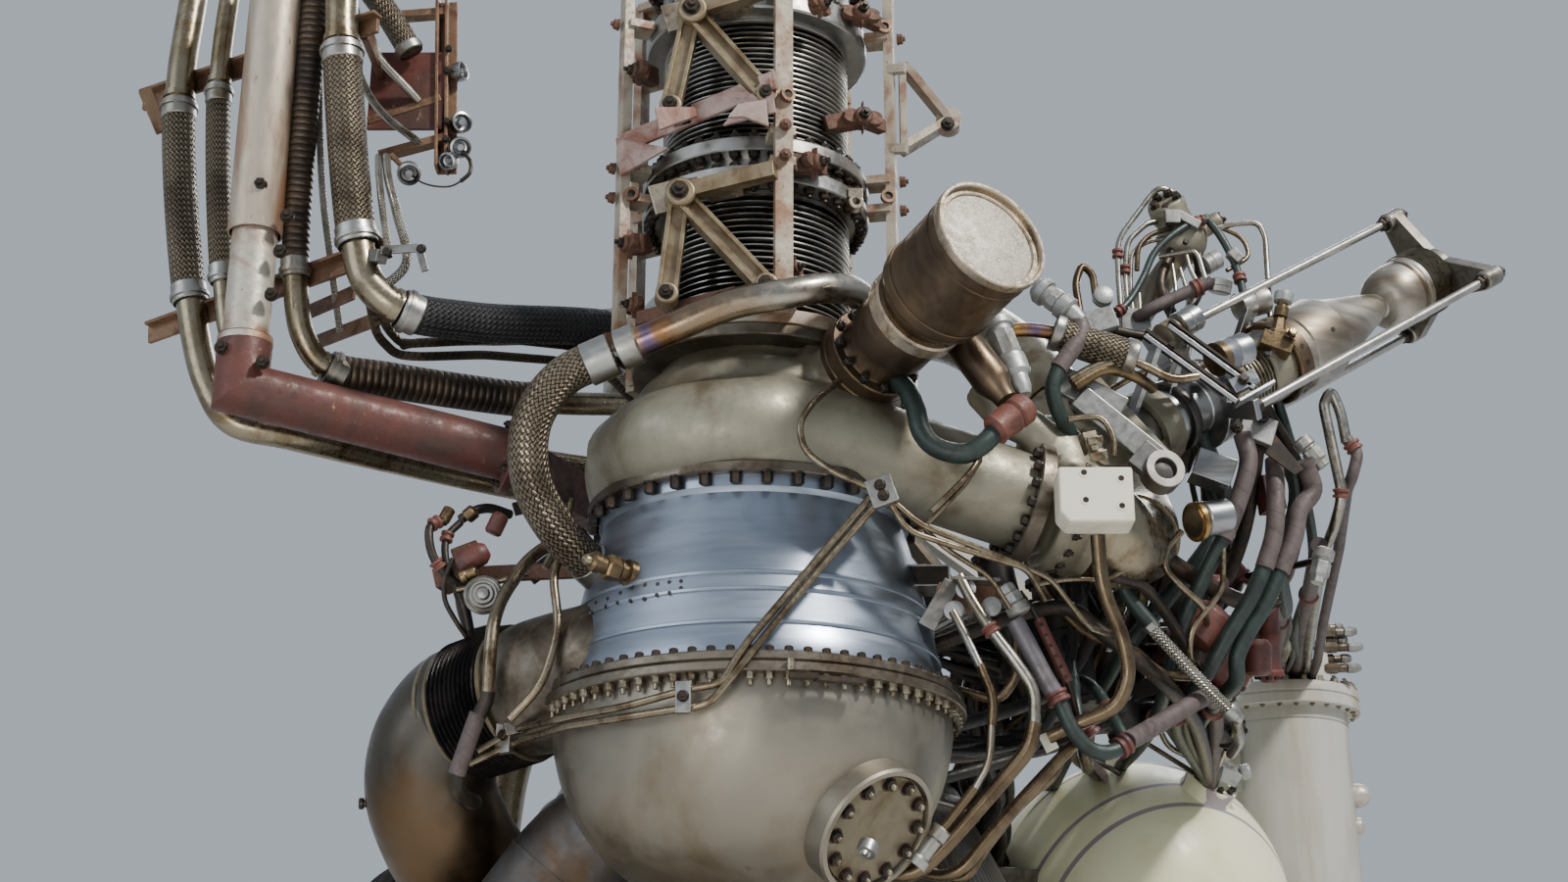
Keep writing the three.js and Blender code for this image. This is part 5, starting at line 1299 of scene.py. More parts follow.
def build_manifolds():
    for name, (height, radius, look) in RING_MANIFOLDS.items():
        spine = outline_radius(height) + radius * 0.9
        arc = [(spine + radius * math.cos(math.radians(a)), height + radius * math.sin(math.radians(a)))
               for a in range(-90, 91, 9)]
        low = (outline_radius(height - radius * 0.8) + 4.0, height - radius * 0.8)
        high = (outline_radius(height + radius * 0.8) + 4.0, height + radius * 0.8)
        build(f"{name}_ring", look, lathe([low, *arc, high, low], 160, ends=False), replaces=[name])


def build_chamber():
    wall = lathe([*CHAMBER_OUTER, (268, 2801), (309, 2801), (312, 2804), (312, 2847), (309, 2850),
                  *CHAMBER_INNER, CHAMBER_OUTER[0]], 128, ends=False)
    ribs = [flange_ring(200, outer, low, low + 12, 128, Vector(), UP)
            for outer, low in ((226, 2352), (224, 2420), (252, 2540), (274, 2620), (274, 2700), (274, 2760))]
    build("chamber_wall", "nozzle", wall, *ribs, replaces=["chamber_body"])
    dome = lathe([(309, 2850.5), (312, 2853), (312, 2892), (309, 2895), (276, 2897), (270, 2902),
                  *rounded([(270, 2904), (255, 2960), (205, 3020), (150, 3050)], 12.0), (150, 3110)], 128)
    build("dome_shell", "silver", dome, replaces=["injector_dome"])
    heads = [bolt_circle(UP * 2895, UP, 292, 60, 17, 12, 5), bolt_circle(UP * 2801, -UP, 290, 60, 17, 12, 5)]
    build("dome_bolts", "nut", *heads)


def build_fuel_side():
    body = lathe(FUEL_PUMP_PROFILE, 96, FUEL_PUMP)
    outlet = sweep(smooth_route(FUEL_OUTLET_PATH, 12.0), 66, 48)
    generator = sweep(smooth_route(GENERATOR_PATH, 12.0), 74, 48)
    build("fuel_pump_body", "casting", body, outlet, generator, replaces=["fuel_turbopump"])
    collars = [flange_ring(60, 84, -16, 0, 64, GENERATOR_PATH[-1], UP),
               flange_ring(50, 80, -14, 0, 64, FUEL_OUTLET_PATH[-1], (-1.0, 0.4, -0.15))]
    build("fuel_collars", "flange", *collars)
    heads = [bolt_circle(FUEL_PUMP + UP * 2184, -UP, 214, 40, 13, 10, 4),
             bolt_circle(FUEL_PUMP + UP * 2210, UP, 214, 40, 13, 10, 4),
             bolt_circle(FUEL_PUMP + UP * 1946, UP, 228, 44, 14, 10, 4)]
    build("fuel_pump_bolts", "bolt", *heads)
    duct = [(172, 2690.5), (176, 2694), (176, 2712), (172, 2716), (146, 2718), (146, 2730)]
    duct += convolutions(2734, 3056, 134, 154, 30, 6)
    duct += [(148, 3066), (172, 3072), (176, 3076), (176, 3106), (172, 3110), (150, 3114), (150, 3260),
             (186, 3264), (190, 3268), (190, 3287), (187, 3290), (138, 3290), (138, 3230)]
    build("fuel_inlet", "silver", lathe(duct, 72, FUEL_PUMP), replaces=["fuel_inlet_duct"], sharp=60)
    inlet_heads = [bolt_circle(FUEL_PUMP + UP * 3264, -UP, 176, 32, 15, 11, 5),
                   bolt_circle(FUEL_PUMP + UP * 2716, UP, 163, 32, 13, 10, 4)]
    build("fuel_inlet_bolts", "bolt", *inlet_heads)
    feed = sweep(smooth_route(FUEL_FEED_PATH, 14.0), FUEL_FEED_RADIUS, 48)
    build("fuel_feed", "pipe", feed, replaces=["fuel_feed_duct"])


# Small tubes and cables. All tables of them have these columns: look, radius, bend radius (0 for one
# smooth curve), shares of the way where a rubber clamp sits, and the places on the way.
TWIN_TUBES = [
    ("tube", 5.5, 26, (), [
        seen(903, 491, -1106), near(860, 540, 322), near(809, 600, 318), near(759, 659, 332),
        near(736, 698, 334), near(708, 702, 334), near(689, 707, 334), near(638, 721, 334),
        near(570, 734, 334), near(526, 744, 336), near(487, 767, 345)]),
    ("tube", 5.5, 26, (), [
        seen(908, 499, -1106), near(866, 546, 322), near(814, 607, 318), near(765, 668, 332),
        near(726, 716, 334), near(708, 722, 334), near(689, 724, 334), near(638, 732, 332),
        near(579, 741, 332), near(526, 757, 336), near(478, 780, 345)]),
    ("tube", 6.5, 34, (), [
        near(609, 568, 300), seen(598, 566, -915), seen(574, 560, -920), seen(564, 588, -930),
        seen(571, 642, -950), seen(553, 700, -955), seen(520, 734, -945)]),
    ("tube", 5.0, 22, (), [
        seen(857, 388, -1050), seen(828, 412, -1110), seen(815, 432, -1118), seen(820, 460, -1118),
        seen(850, 482, -1112), seen(888, 498, -1106)]),
    ("tube", 4.5, 22, (), [
        seen(905, 508, -1100), seen(926, 542, -1090), seen(985, 561, -1060), seen(1048, 580, -1000),
        seen(1066, 612, -940)]),
    ("tube", 4.5, 22, (), [
        seen(911, 511, -1098), seen(938, 535, -1090), seen(1000, 560, -1050), seen(1072, 590, -960),
        seen(1110, 640, -900), seen(1140, 650, -780), seen(1160, 600, -540)]),
    ("tube", 4.0, 22, (), [
        seen(915, 514, -1096), seen(965, 560, -1060), seen(1010, 588, -1010), seen(1030, 620, -960)]),
    ("tube", 4.0, 16, (), [
        seen(1000, 470, -1010), seen(985, 494, -1066), seen(960, 520, -1078), seen(935, 545, -1080)]),
]


def build_tubes(name, rows):
    """One piece for each look in a table of tubes, and one for their clamps."""
    looks = {}
    clamps = Shape()
    for look, radius, bend, shares, places in rows:
        points = bent_route(places, bend) if bend else smooth_route(places, 9.0)
        looks.setdefault(look, []).append(sweep(points, radius, 16))
        for share in shares:
            i = min(int(share * (len(points) - 1)), len(points) - 2)
            clamps.join(lathe([(radius - 1, -8), (radius + 4.5, -7), (radius + 4.5, -3), (radius + 2, -1),
                               (radius + 2, 1), (radius + 4.5, 3), (radius + 4.5, 7), (radius - 1, 8)], 24,
                              points[i], points[i + 1] - points[i]))
    for look, shapes in looks.items():
        build(f"{name}_{look}", look, *shapes)
    if clamps.points:
        build(f"{name}_clamps", "clamp", clamps)


def clamp_block(place, right, up, wide, tall, deep, bolts):
    """Plate clamp facing the camera, with its bolts at heights over its middle."""
    out = Vector(right).cross(Vector(up)).normalized()
    plate = block(place, (wide, tall, deep), right, up)
    heads = Shape()
    for rise in bolts:
        heads.join(bolt(Vector(place) + Vector(up).normalized() * rise + out * deep / 2, out, 13.0, 7.0, 3.0))
    return plate, heads


def build_twin_tubes():
    build_tubes("twin", TWIN_TUBES)


# Perforations in the casing's middle band: their pixels, left to right in each row
PERFORATIONS = [(598, 619), (608, 615), (620, 611), (633, 605), (645, 600), (658, 597), (671, 596),
                (683, 594), (695, 593), (596, 629), (604, 625), (618, 619), (630, 615), (643, 613),
                (657, 611), (670, 607), (683, 605), (695, 600), (676, 655), (694, 653), (713, 652)]


# Plate clamps: place, directions right and up, width, height and depth, and heights of the bolts
PLATE_CLAMPS = [
    (near(697, 712, 344), (1, 0, 0.02), (0, 0.1, 1), (21, 45, 12), (0,)),
    (near(516, 742, 352), (1, -0.5, 0), (-0.12, 0.1, 1), (26, 80, 14), (18, -14)),
    (seen(900, 502, -1116), (0.9, -0.1, 0.3), (-0.3, 0, 0.95), (38, 42, 16), (8, -8)),
]


def build_casing_details():
    # The perforations are dark discs: painted shade in the holes
    perforation_shades = Shape()
    for u, v in PERFORATIONS:
        place = near(u, v, 272)
        place = near(u, v, radius_at(CASING_OUTLINE, place.z))
        perforation_shades.join(lathe([(3.0, -2), (3.0, 0.8)], 10, place, (place.x, place.y - PUMP.y, 0)))
    build("casing_perforation_shades", "bolt", perforation_shades)
    root = near(641, 585, 266)
    out = Vector((-0.80, -0.60, 0.10)).normalized()
    body = [lathe([(20, -8), (20, 4), (13, 6), (13, 14), (17, 15), (17, 18), (12, 20)], 32, root, out),
            lathe([(19, 20), (19, 38), (16, 41)], 6, root, out),
            lathe([(12, 40), (12, 50), (14, 51), (14, 62), (10, 66)], 24, root, out)]
    build("pressure_fitting", "brass_dull", *body)
    elbow = sweep(bent_route([root + out * 60, root + out * 74, near(609, 568, 300)], 8), 7.5, 20)
    build("pressure_elbow", "nut", elbow)
    plates = []
    heads = []
    for place, right, up, size, rises in PLATE_CLAMPS:
        plate, bolts = clamp_block(place, right, up, *size, rises)
        plates.append(plate)
        heads.append(bolts)
    feet = [bar(near(697, 700, 344), near(697, 700, 316), 14, 6),
            bar(near(514, 746, 348), near(545, 740, 300), 20, 30, UP),
            bar(seen(900, 502, -1112), seen(905, 500, -1050), 24, 24, UP)]
    build("clamp_plates", "silver", *plates, *feet, bevel=1.5)
    build("clamp_bolts", "bolt", *heads)
    tab = [block(near(856, 694, 327), (70, 7, 14), (1, 0.32, 0), UP),
           block(near(820, 690, 329), (40, 7, 14), (1, 0.1, 0))]
    build("flange_tab", "bolt", *tab)
    build("flange_sensor", "nut", rod(near(807, 672, 330), near(807, 684, 330), 6, 16))


# Left cluster by the hot bellows: sensor block with its ringed dome, cables and brackets
LEFT_TUBES = [
    ("tube", 10.0, 40, (), [
        seen(580, 545, -850), seen(540, 568, -860), seen(512, 610, -880), seen(503, 636, -895),
        seen(500, 668, -900), seen(498, 708, -895)]),
    ("mauve", 13.0, 0, (), [seen(488, 728, -885), seen(478, 756, -875), seen(466, 790, -862)]),
    ("bolt", 11.0, 0, (), [
        seen(467, 786, -863), seen(468, 806, -845), seen(484, 818, -790), (-450, -660, 1890)]),
    ("bolt", 11.0, 20, (), [seen(498, 706, -895), seen(497, 714, -893), seen(489, 730, -885)]),
    ("tube", 5.5, 20, (), [seen(466, 602, -800), seen(500, 595, -800), seen(538, 585, -800)]),
    ("bolt", 7.0, 0, (0.1, 0.6), [
        seen(455, 532, -780), seen(440, 536, -790), seen(438, 552, -795), seen(444, 572, -790),
        seen(462, 592, -775), seen(480, 600, -760)]),
    ("bolt", 6.0, 0, (0.2,), [
        seen(470, 533, -760), seen(456, 548, -770), seen(455, 572, -775), seen(466, 600, -770),
        seen(470, 622, -765), seen(478, 648, -755)]),
    ("bolt", 4.0, 0, (), [
        seen(462, 570, -795), seen(454, 590, -798), seen(454, 612, -795), seen(464, 632, -785),
        seen(476, 650, -770)]),
    ("bolt", 9.0, 0, (), [
        seen(468, 604, -775), seen(474, 622, -770), seen(480, 650, -760), seen(488, 672, -740)]),
    ("bolt", 8.0, 26, (), [
        seen(470, 530, -740), seen(486, 520, -730), seen(500, 518, -700), seen(520, 525, -660)]),
    ("tube", 6.0, 26, (), [seen(556, 580, -820), seen(576, 540, -810), seen(584, 510, -800)]),
]


def build_left_cluster():
    build_tubes("left", LEFT_TUBES)
    body = [block((-470, -752, 2226), (52, 34, 46), (1, -0.3, 0.3)),
            block((-452, -740, 2262), (44, 36, 30), (1, 0, 0.4)),
            bar((-440, -742, 2232), (-238, -796, 2225), 26, 12, UP)]
    build("sensor_housing", "rust", *body, replaces=["sensor_block"], bevel=3.0)
    dome = lathe([(30, -6), (30, 0), (26, 4), (24, 3), (21, 8), (18, 8), (15, 12), (11, 12), (8, 16),
                  (1, 17)], 48, seen(493, 607, -812), (0.1, -1.0, -0.1))
    neck = rod(seen(493, 607, -806), seen(493, 607, -750), 24, 32)
    build("sensor_dome", "silver", dome, neck)
    red = [lathe([(15, 0), (19, 6), (19, 40), (14, 48), (10, 52)], 24, seen(468, 578, -785),
                 (0.85, -0.1, 0.5)),
           lathe([(11, 0), (14, 4), (14, 30), (9, 36)], 20, seen(502, 545, -760), (0.4, -0.1, 0.9))]
    build("sensor_plugs", "rubber", *red)
    plugs = [lathe([(9, 0), (12, 2), (12, 10), (10, 12), (10, 26), (8, 28)], 18, seen(470, 590, -805),
                   (0.9, -0.2, 0.4)),
             lathe([(8, 0), (10, 2), (10, 22), (8, 24)], 18, seen(452, 532, -780), (0.4, 0.1, 0.9)),
             lathe([(10, 0), (12, 2), (12, 16), (9, 18)], 18, seen(476, 528, -760), (0.7, -0.3, 0.5))]
    build("sensor_sleeves", "brass_dull", *plugs)
    brace = [bar(seen(476, 648, -770), seen(505, 640, -700), 14, 10, UP),
             bar(seen(524, 520, -640), seen(585, 505, -620), 22, 8, UP),
             bar(seen(540, 590, -760), seen(600, 545, -740), 26, 8, UP)]
    build("left_brackets", "bolt", *brace, bevel=1.0)


# Under the can: the bypass duct, its boot, the ring-ended hose and the white-painted fittings
UNDER_CAN_TUBES = [
    ("green", 15.0, 0, (), [
        seen(910, 386, -1000), seen(924, 396, -1030), seen(934, 416, -1052), seen(940, 440, -1062),
        seen(954, 456, -1068), seen(984, 463, -1076), seen(1002, 454, -1078), seen(1016, 440, -1073)]),
    ("tube", 4.5, 20, (), [
        seen(1000, 466, -1072), seen(992, 480, -1080), seen(975, 498, -1085), seen(950, 522, -1090)]),
    ("mauve", 14.0, 26, (), [
        seen(1098, 322, -960), seen(1106, 340, -965), seen(1090, 362, -970), seen(1080, 376, -970)]),
    ("green", 12.0, 0, (), [
        seen(1080, 376, -970), seen(1074, 396, -968), seen(1080, 420, -955), seen(1090, 438, -930),
        seen(1096, 450, -890)]),
    ("pipe_silver", 11.0, 18, (), [seen(1022, 338, -950), seen(1052, 336, -950), seen(1088, 342, -950)]),
    ("tube", 7.0, 30, (), [
        seen(1092, 388, -960), seen(1120, 372, -955), seen(1150, 366, -950), seen(1170, 374, -940),
        seen(1196, 388, -930), seen(1222, 384, -920)]),
    ("brass_dull", 9.0, 30, (), [
        seen(1096, 394, -955), seen(1128, 374, -948), seen(1160, 384, -935), seen(1176, 396, -890)]),
    ("tube", 5.0, 24, (), [
        seen(1090, 428, -990), seen(1124, 424, -990), seen(1137, 446, -990), seen(1136, 466, -992)]),
]


# White-painted couplings: start, end and radius
COUPLINGS = [
    (seen(1016, 330, -1010), seen(1042, 396, -1030), 25),
    (seen(1062, 296, -950), seen(1098, 322, -965), 22),
]
FORK_EYE = seen(1186, 482, -944)
FORK_EYE_FACE = (0.2, -1, 0.1)


def coupling(start, end, radius):
    """Screwed coupling: a round end, two nuts and a tail."""
    away = end - start
    length = away.length
    return [lathe([(radius - 7, -10), (radius, 0), (radius, 12), (radius - 5, 14), (radius - 5, 22)], 32,
                  start, away),
            lathe([(radius - 3, 22), (radius - 3, length * 0.5), (radius - 6, length * 0.54)], 8, start,
                  away),
            lathe([(radius - 6, length * 0.52), (radius - 1, length * 0.56), (radius - 1, length * 0.8),
                   (radius - 8, length * 0.86)], 12, start, away),
            lathe([(radius - 8, length * 0.84), (radius - 9, length), (radius - 14, length + 14)], 24,
                  start, away)]


def build_under_can():
    build_tubes("undercan", UNDER_CAN_TUBES)
    boot = [lathe([(20, 0), (24, 6), (24, 22), (20, 26), (24, 32), (22, 60), (24, 66), (17, 72)], 32,
                  seen(1048, 414, -1062), (-0.75, -0.2, -0.65))]
    build("undercan_boot", "clamp", *boot)
    start = seen(985, 352, -1030)
    run = seen(1024, 404, -1046) - start
    duct = lathe([(28, -8), (29, 0), (29, 74), (26, 82), (19, 98), (17, 112)], 40, start, run)
    build("undercan_duct", "can", duct)
    white = [part for row in COUPLINGS for part in coupling(*row)]
    build("undercan_couplings", "wrap_white", *white, bevel=1.0)
    braid = smooth_route([seen(1074, 338, -955), seen(1112, 352, -950), seen(1158, 366, -940)], 6.0)
    build("undercan_braid", "braid", sweep(braid, 27.0, 28))
    build("undercan_cuffs", "silver", ferrule(braid, 27.0, 16.0, 2.0, 28),
          ferrule(list(reversed(braid)), 27.0, 18.0, 2.0, 28))
    knot = [lathe([(13, 0), (15, 3), (15, 14), (10, 16), (10, 24), (13, 26), (13, 36)], 6,
                  seen(1122, 470, -1000), (-0.2, -0.3, 0.9)),
            block(seen(1112, 452, -990), (22, 30, 22), (1, 0.2, 0.3))]
    build("undercan_fitting", "nut", *knot, bevel=1.0)
    link = [bar(seen(1083, 388, -930), seen(1146, 420, -930), 46, 14, UP),
            bar(seen(1100, 404, -936), seen(1190, 476, -936), 40, 18, UP)]
    build("fork_plates", "polished_dull", *link, bevel=4.0)
    eye = [hoop(17, 31, -16, 16, 40, FORK_EYE, FORK_EYE_FACE),
           bar(seen(1160, 462, -936), seen(1180, 478, -938), 44, 26, UP)]
    build("fork_eye", "polished_dull", *eye, bevel=1.5)
    # Near-black inside of the eye: painted shade in its bore
    build("fork_eye_bore_shade", "shade", lathe([(19, -14), (19, 8), (8, 10)], 32, FORK_EYE, FORK_EYE_FACE))


# Cage round the inlet: star nuts, bushed holes, gussets, wishbones and the clevises on the ring
# Struts: the x and y of their middles
STRUTS = [(46, -1024), (222, -842), (-212, -886)]
STRUT_BOLT_HEIGHTS = (2572, 2815, 2867, 3132, 3277)
STRUT_FACE = 15.0
# Wishbones: CAD node, apex, near foot and far foot
WISHBONES = [("wishbone_upper", (-100, -990, 3092), (-132, -985, 2925), (20, -1020, 2925)),
             ("wishbone_lower", (-114, -990, 2768), (-132, -985, 2602), (20, -1020, 2602))]
# Star nuts: place, direction that they face, and size
STAR_NUTS = [
    (seen(879, 122, -905), (0.25, -1.0, 0.0), 34), (seen(877, 17, -905), (0.3, -1.0, 0.2), 34),
    (seen(828, 168, -985), (0.95, -0.6, 0.0), 32), (seen(833, 6, -985), (0.9, -0.6, 0.1), 30),
    (seen(655, 74, -905), (-0.9, -0.45, 0.0), 30), (seen(646, 250, -900), (-0.9, -0.45, 0.0), 30),
    (seen(650, 312, -900), (-0.9, -0.45, 0.0), 26), (seen(808, 274, -1000), (0.9, -0.6, 0.0), 22),
]


# Ties that the star nuts sit on: start, end, width and depth
CAGE_TIES = [
    (seen(879, 122, -895), seen(842, 128, -905), 26, 22),
    (seen(877, 17, -895), seen(840, 12, -905), 26, 22),
    (seen(828, 168, -978), seen(806, 168, -1000), 30, 20),
    (seen(655, 74, -895), seen(668, 80, -870), 30, 20),
    (seen(879, 122, -890), seen(900, 130, -850), 22, 18),
    (seen(877, 17, -890), seen(902, 28, -850), 22, 18),
    (seen(646, 250, -895), seen(660, 250, -870), 30, 20),
    (seen(652, 326, -915), seen(752, 300, -1000), 22, 16),
]
# Bushed holes: place, and the direction that the bush faces
CAGE_BUSHES = [(seen(902, 28, -860), (0.2, -1, 0)), (seen(906, 201, -860), (0.2, -1, 0)),
               (seen(803, 97, -1036), (0.5, -1, 0)), (seen(645, 199, -900), (-0.2, -1, 0))]


def star_nut(place, face, size):
    """Four-armed nut with forked tips round a boss."""
    side, other, ahead = square_axes(face)
    outline = []
    for i in range(48):
        angle = 2.0 * math.pi * i / 48
        arm = max(math.cos(2.0 * angle), 0.0) if i % 12 != 0 else 0.8
        reach = size * (0.46 + 0.54 * arm)
        outline.append((reach * math.cos(angle), reach * math.sin(angle)))
    body = prism(outline, size * 0.36, Vector(place), side, other)
    boss = lathe([(size * 0.45, -size * 0.3), (size * 0.45, size * 0.5), (size * 0.36, size * 0.62)], 24,
                 place, ahead)
    return [body, boss], bolt(Vector(place) + ahead * size * 0.6, ahead, size * 0.46, size * 0.25, size * 0.2)


LEG_WALL = 7.0


def channel_leg(start, end, width, depth, across):
    """Leg with an I section: a thin web between two edges."""
    side = across_of(start, end, across)
    shift = side * (width - LEG_WALL) / 2
    start, end = Vector(start), Vector(end)
    return [bar(start, end, width - LEG_WALL, LEG_WALL, side),
            bar(start + shift, end + shift, LEG_WALL, depth, side),
            bar(start - shift, end - shift, LEG_WALL, depth, side)]


def build_cage_details():
    stars = Shape()
    heads = Shape()
    for place, face, size in STAR_NUTS:
        parts, head = star_nut(place, face, size)
        stars.join(*parts)
        heads.join(head)
    ties = [bar(*tie, UP) for tie in CAGE_TIES]
    build("cage_stars", "rust", stars, *ties, bevel=1.5)
    bushes = [hoop(7, 12, -3, 6, 24, place, face) for place, face in CAGE_BUSHES]
    # Dark discs in the bushes: painted shade in their holes
    bush_hole_shades = [lathe([(8, -3), (8, 3)], 20, place, (0.2, -1, 0)) for place, _ in CAGE_BUSHES]
    build("cage_bushes", "bronze_rust", *bushes)
    build("cage_bush_hole_shades", "bolt", *bush_hole_shades)
    plates = [prism([(-28, -6), (-28, 34), (34, 24), (34, 8)], 7, seen(690, 128, -1010), (1, 0.1, 0.22),
                    UP),
              prism([(-30, 20), (-6, 14), (28, -12), (34, 34), (-10, 38)], 7, seen(765, 128, -1040),
                    (1, -0.1, 0.22), UP)]
    build("cage_gussets", "pink", *plates, bevel=1.0)
    for number, (node, apex, near_foot, far_foot) in enumerate(WISHBONES):
        hub = Vector(apex)
        legs = [*channel_leg(hub, near_foot, 32, 24, (1, 0, 0)),
                *channel_leg(hub, far_foot, 32, 24, (1, 0, 0)),
                bar(hub + Vector((0, 0, 6)), Vector((34, -1042, hub.z + 20)), 26, 22, UP)]
        eye = lathe([(20, -24), (24, -20), (24, 20), (20, 24)], 40, hub, (0.1, -1.0, 0.0))
        feet = [lathe([(15, -18), (18, -15), (18, 15), (15, 18)], 32, place, (0.1, -1.0, 0.0))
                for place in (near_foot, far_foot)]
        build(f"wishbone_casting_{number}", "bronze", *legs, eye, *feet,
              replaces=[node], bevel=1.5)
        pin = hub + Vector((0.0, -24.0, 0.0))
        heads.join(bolt(pin, (0.1, -1.0, 0.0), 22, 12, 6),
                   bolt(Vector(near_foot) - Vector((0, 18, 0)), (0, -1, 0), 18, 9, 4),
                   bolt(Vector(far_foot) - Vector((0, 18, 0)), (0, -1, 0), 18, 9, 4))
        build(f"clevis_{number}", "can_rim",
              bar(hub + Vector((-16, 20, -16)), hub + Vector((-30, 22, 34)), 10, 46, (0, 1, 0)),
              bar(hub + Vector((14, 20, -4)), hub + Vector((4, 22, 40)), 10, 46, (0, 1, 0)),
              bar(hub + Vector((40, 6, 12)), hub + Vector((94, -8, 18)), 28, 30, UP), bevel=2.0)
    build("vee_tabs", "paint", bar(seen(903, 72, -848), seen(924, 70, -862), 16, 12, UP),
          bar(seen(905, 152, -848), seen(926, 152, -862), 16, 12, UP), bevel=1.0)
    heads.join(bolt(seen(967, 127, -880), (0.1, -1, 0), 18, 10, 5))
    build("cage_bolts", "bolt", heads)
    clevis = [hoop(6, 12, -10, 10, 28, seen(873, 208, -905), (0.1, -1, 0)),
              block(seen(873, 199, -905), (24, 16, 20))]
    build("ring_clevis", "can_rim", *clevis, bevel=1.0)
    inner = []
    for x, y in STRUTS:
        outward = Vector((x, y - PUMP.y, 0)).normalized()
        for height in STRUT_BOLT_HEIGHTS:
            place = Vector((x, y, height)) + outward * STRUT_FACE
            inner.append(bolt(place, outward, 15, 9, 4))
    build("strut_bolts", "rust", *inner)


# Connector panel on the left: braided hose, bright tube stubs, capped couplings and a link bracket
PANEL_TUBES = [
    ("pipe_plain", 7.5, 0, (), [(-684, -890, 3250), seen(372, 38, -790), seen(427, 103, -712)]),
    ("pipe_plain", 7.0, 0, (), [(-672, -888, 3090), seen(384, 108, -790), seen(429, 147, -706)]),
    ("wire_braid", 6.0, 0, (), [
        seen(326, 42, -800), seen(326, 120, -830), seen(330, 205, -840), seen(337, 262, -800),
        seen(347, 338, -726)]),
    ("wire_braid", 6.0, 0, (), [
        seen(386, 160, -712), seen(387, 182, -850), seen(390, 210, -900), seen(397, 262, -908)]),
    ("wire_braid", 7.5, 0, (), [
        seen(394, 160, -712), seen(397, 186, -850), seen(405, 218, -900), seen(414, 270, -905),
        (-598, -884, 2652)]),
    ("braid", 7.5, 20, (), [
        (-604, -884, 2660), seen(394, 334, -850), seen(410, 351, -800), seen(433, 350, -790),
        seen(516, 346, -740), seen(582, 353, -640), seen(640, 372, -600), (-110, -690, 2455)]),
    ("braid", 7.5, 20, (), [
        (-612, -884, 2664), seen(384, 342, -850), seen(404, 362, -800), seen(427, 364, -790),
        seen(493, 362, -740), seen(570, 368, -640), seen(622, 384, -600), (-110, -680, 2450)]),
    ("wire_braid", 8.0, 0, (), [
        seen(412, 352, -800), seen(424, 350, -760), seen(500, 348, -700), seen(600, 356, -620),
        (-120, -670, 2460)]),
    ("bolt", 1.6, 0, (), [
        seen(420, 179, -724), seen(430, 186, -728), seen(444, 190, -728), seen(460, 190, -728),
        seen(472, 184, -728)]),
    ("bolt", 3.5, 0, (), [
        seen(470, 185, -728), seen(479, 177, -728), seen(480, 165, -722), seen(470, 152, -714)]),
]


# Cups on the panel: place, the direction that they face, and radius
PANEL_CUPS = [
    (seen(467, 74, -700), (0.9, -0.4, 0.1), 17),
    (seen(469, 126, -705), (0.5, -0.8, -0.2), 18),
    (seen(469, 150, -715), (0.3, -0.8, -0.5), 18),
    (seen(459, 164, -725), (-0.3, -0.8, -0.5), 15),
    (seen(417, 176, -725), (0.2, -0.7, -0.6), 20),
]
# Panel bolts: pixels of their heads
PANEL_BOLTS = [(458, 50), (456, 72), (455, 142), (456, 124)]


def build_panel():
    build_tubes("panel", PANEL_TUBES)
    hose = smooth_route([(-668, -760, 3278), (-640, -755, 3240), (-612, -748, 3196), (-594, -742, 3166)], 6.0)
    build("panel_hose", "braid", sweep(hose, 22.0, 28))
    build("panel_hose_cuffs", "silver", ferrule(list(reversed(hose)), 22.0, 18.0, 2.5, 28))
    cups = []
    for place, face, radius in PANEL_CUPS:
        cups.append(lathe([(radius * 0.45, -26), (radius * 0.45, -12), (radius * 0.9, -8), (radius, 0),
                           (radius, 12), (radius * 0.8, 13), (radius * 0.66, 4), (radius * 0.34, 2),
                           (radius * 0.3, 10), (2, 10)], 36, place, face))
    build("panel_cups", "polished", *cups)
    frame_bars = [bar((-545, -700, LINES_TOP), (-529, -700, 2960), 6, 30, (1, 0, 0)),
                  bar((-561, -703, LINES_TOP), (-545, -703, 2962), 6, 30, (1, 0, 0)),
                  bar((-546, -686, LINES_TOP), (-530, -686, 2962), 34, 4, (1, 0, 0)),
                  bar((-668, -700, 3052), (-545, -700, 3098), 24, 14, (0, 1, 0)),
                  bar((-645, -700, 2989), (-530, -700, 3024), 24, 14, (0, 1, 0)),
                  bar((-640, -700, 3262), (-545, -700, 3270), 22, 14, (0, 1, 0)),
                  bar((-650, -700, 3150), (-650, -860, 3140), 34, 12, UP),
                  bar(seen(399, 158, -712), seen(418, 178, -712), 12, 8, (0, 1, 0))]
    build("panel_bars", "bronze_rust", *frame_bars, replaces=["panel_frame"], bevel=1.5)
    build("panel_sheet", "primer", block((-604, -706, 3112), (130, 150, 8)), bevel=1.5)
    studs = [bolt(seen(u, v, -718), (0, -1, 0), 10, 6) for u, v in PANEL_BOLTS]
    build("panel_bolts", "bolt", *studs)
    link = [prism([(-8, -7), (52, -7), (52, 7), (-8, 7)], 5, seen(394, 256, -925), (1, 0, 0.08), UP),
            prism([(-6, -6), (34, -6), (34, 6), (-6, 6)], 5, seen(429, 258, -925), (0.3, 0, -1), (1, 0, 0.3)),
            bar(seen(390, 262, -922), seen(380, 262, -900), 20, 20, UP)]
    build("link_bracket", "polished_dull", *link, bevel=1.0)
    build("link_bolts", "bolt", bolt(seen(395, 257, -930), (0, -1, 0), 12, 6),
          bolt(seen(430, 254, -930), (0, -1, 0), 12, 6))


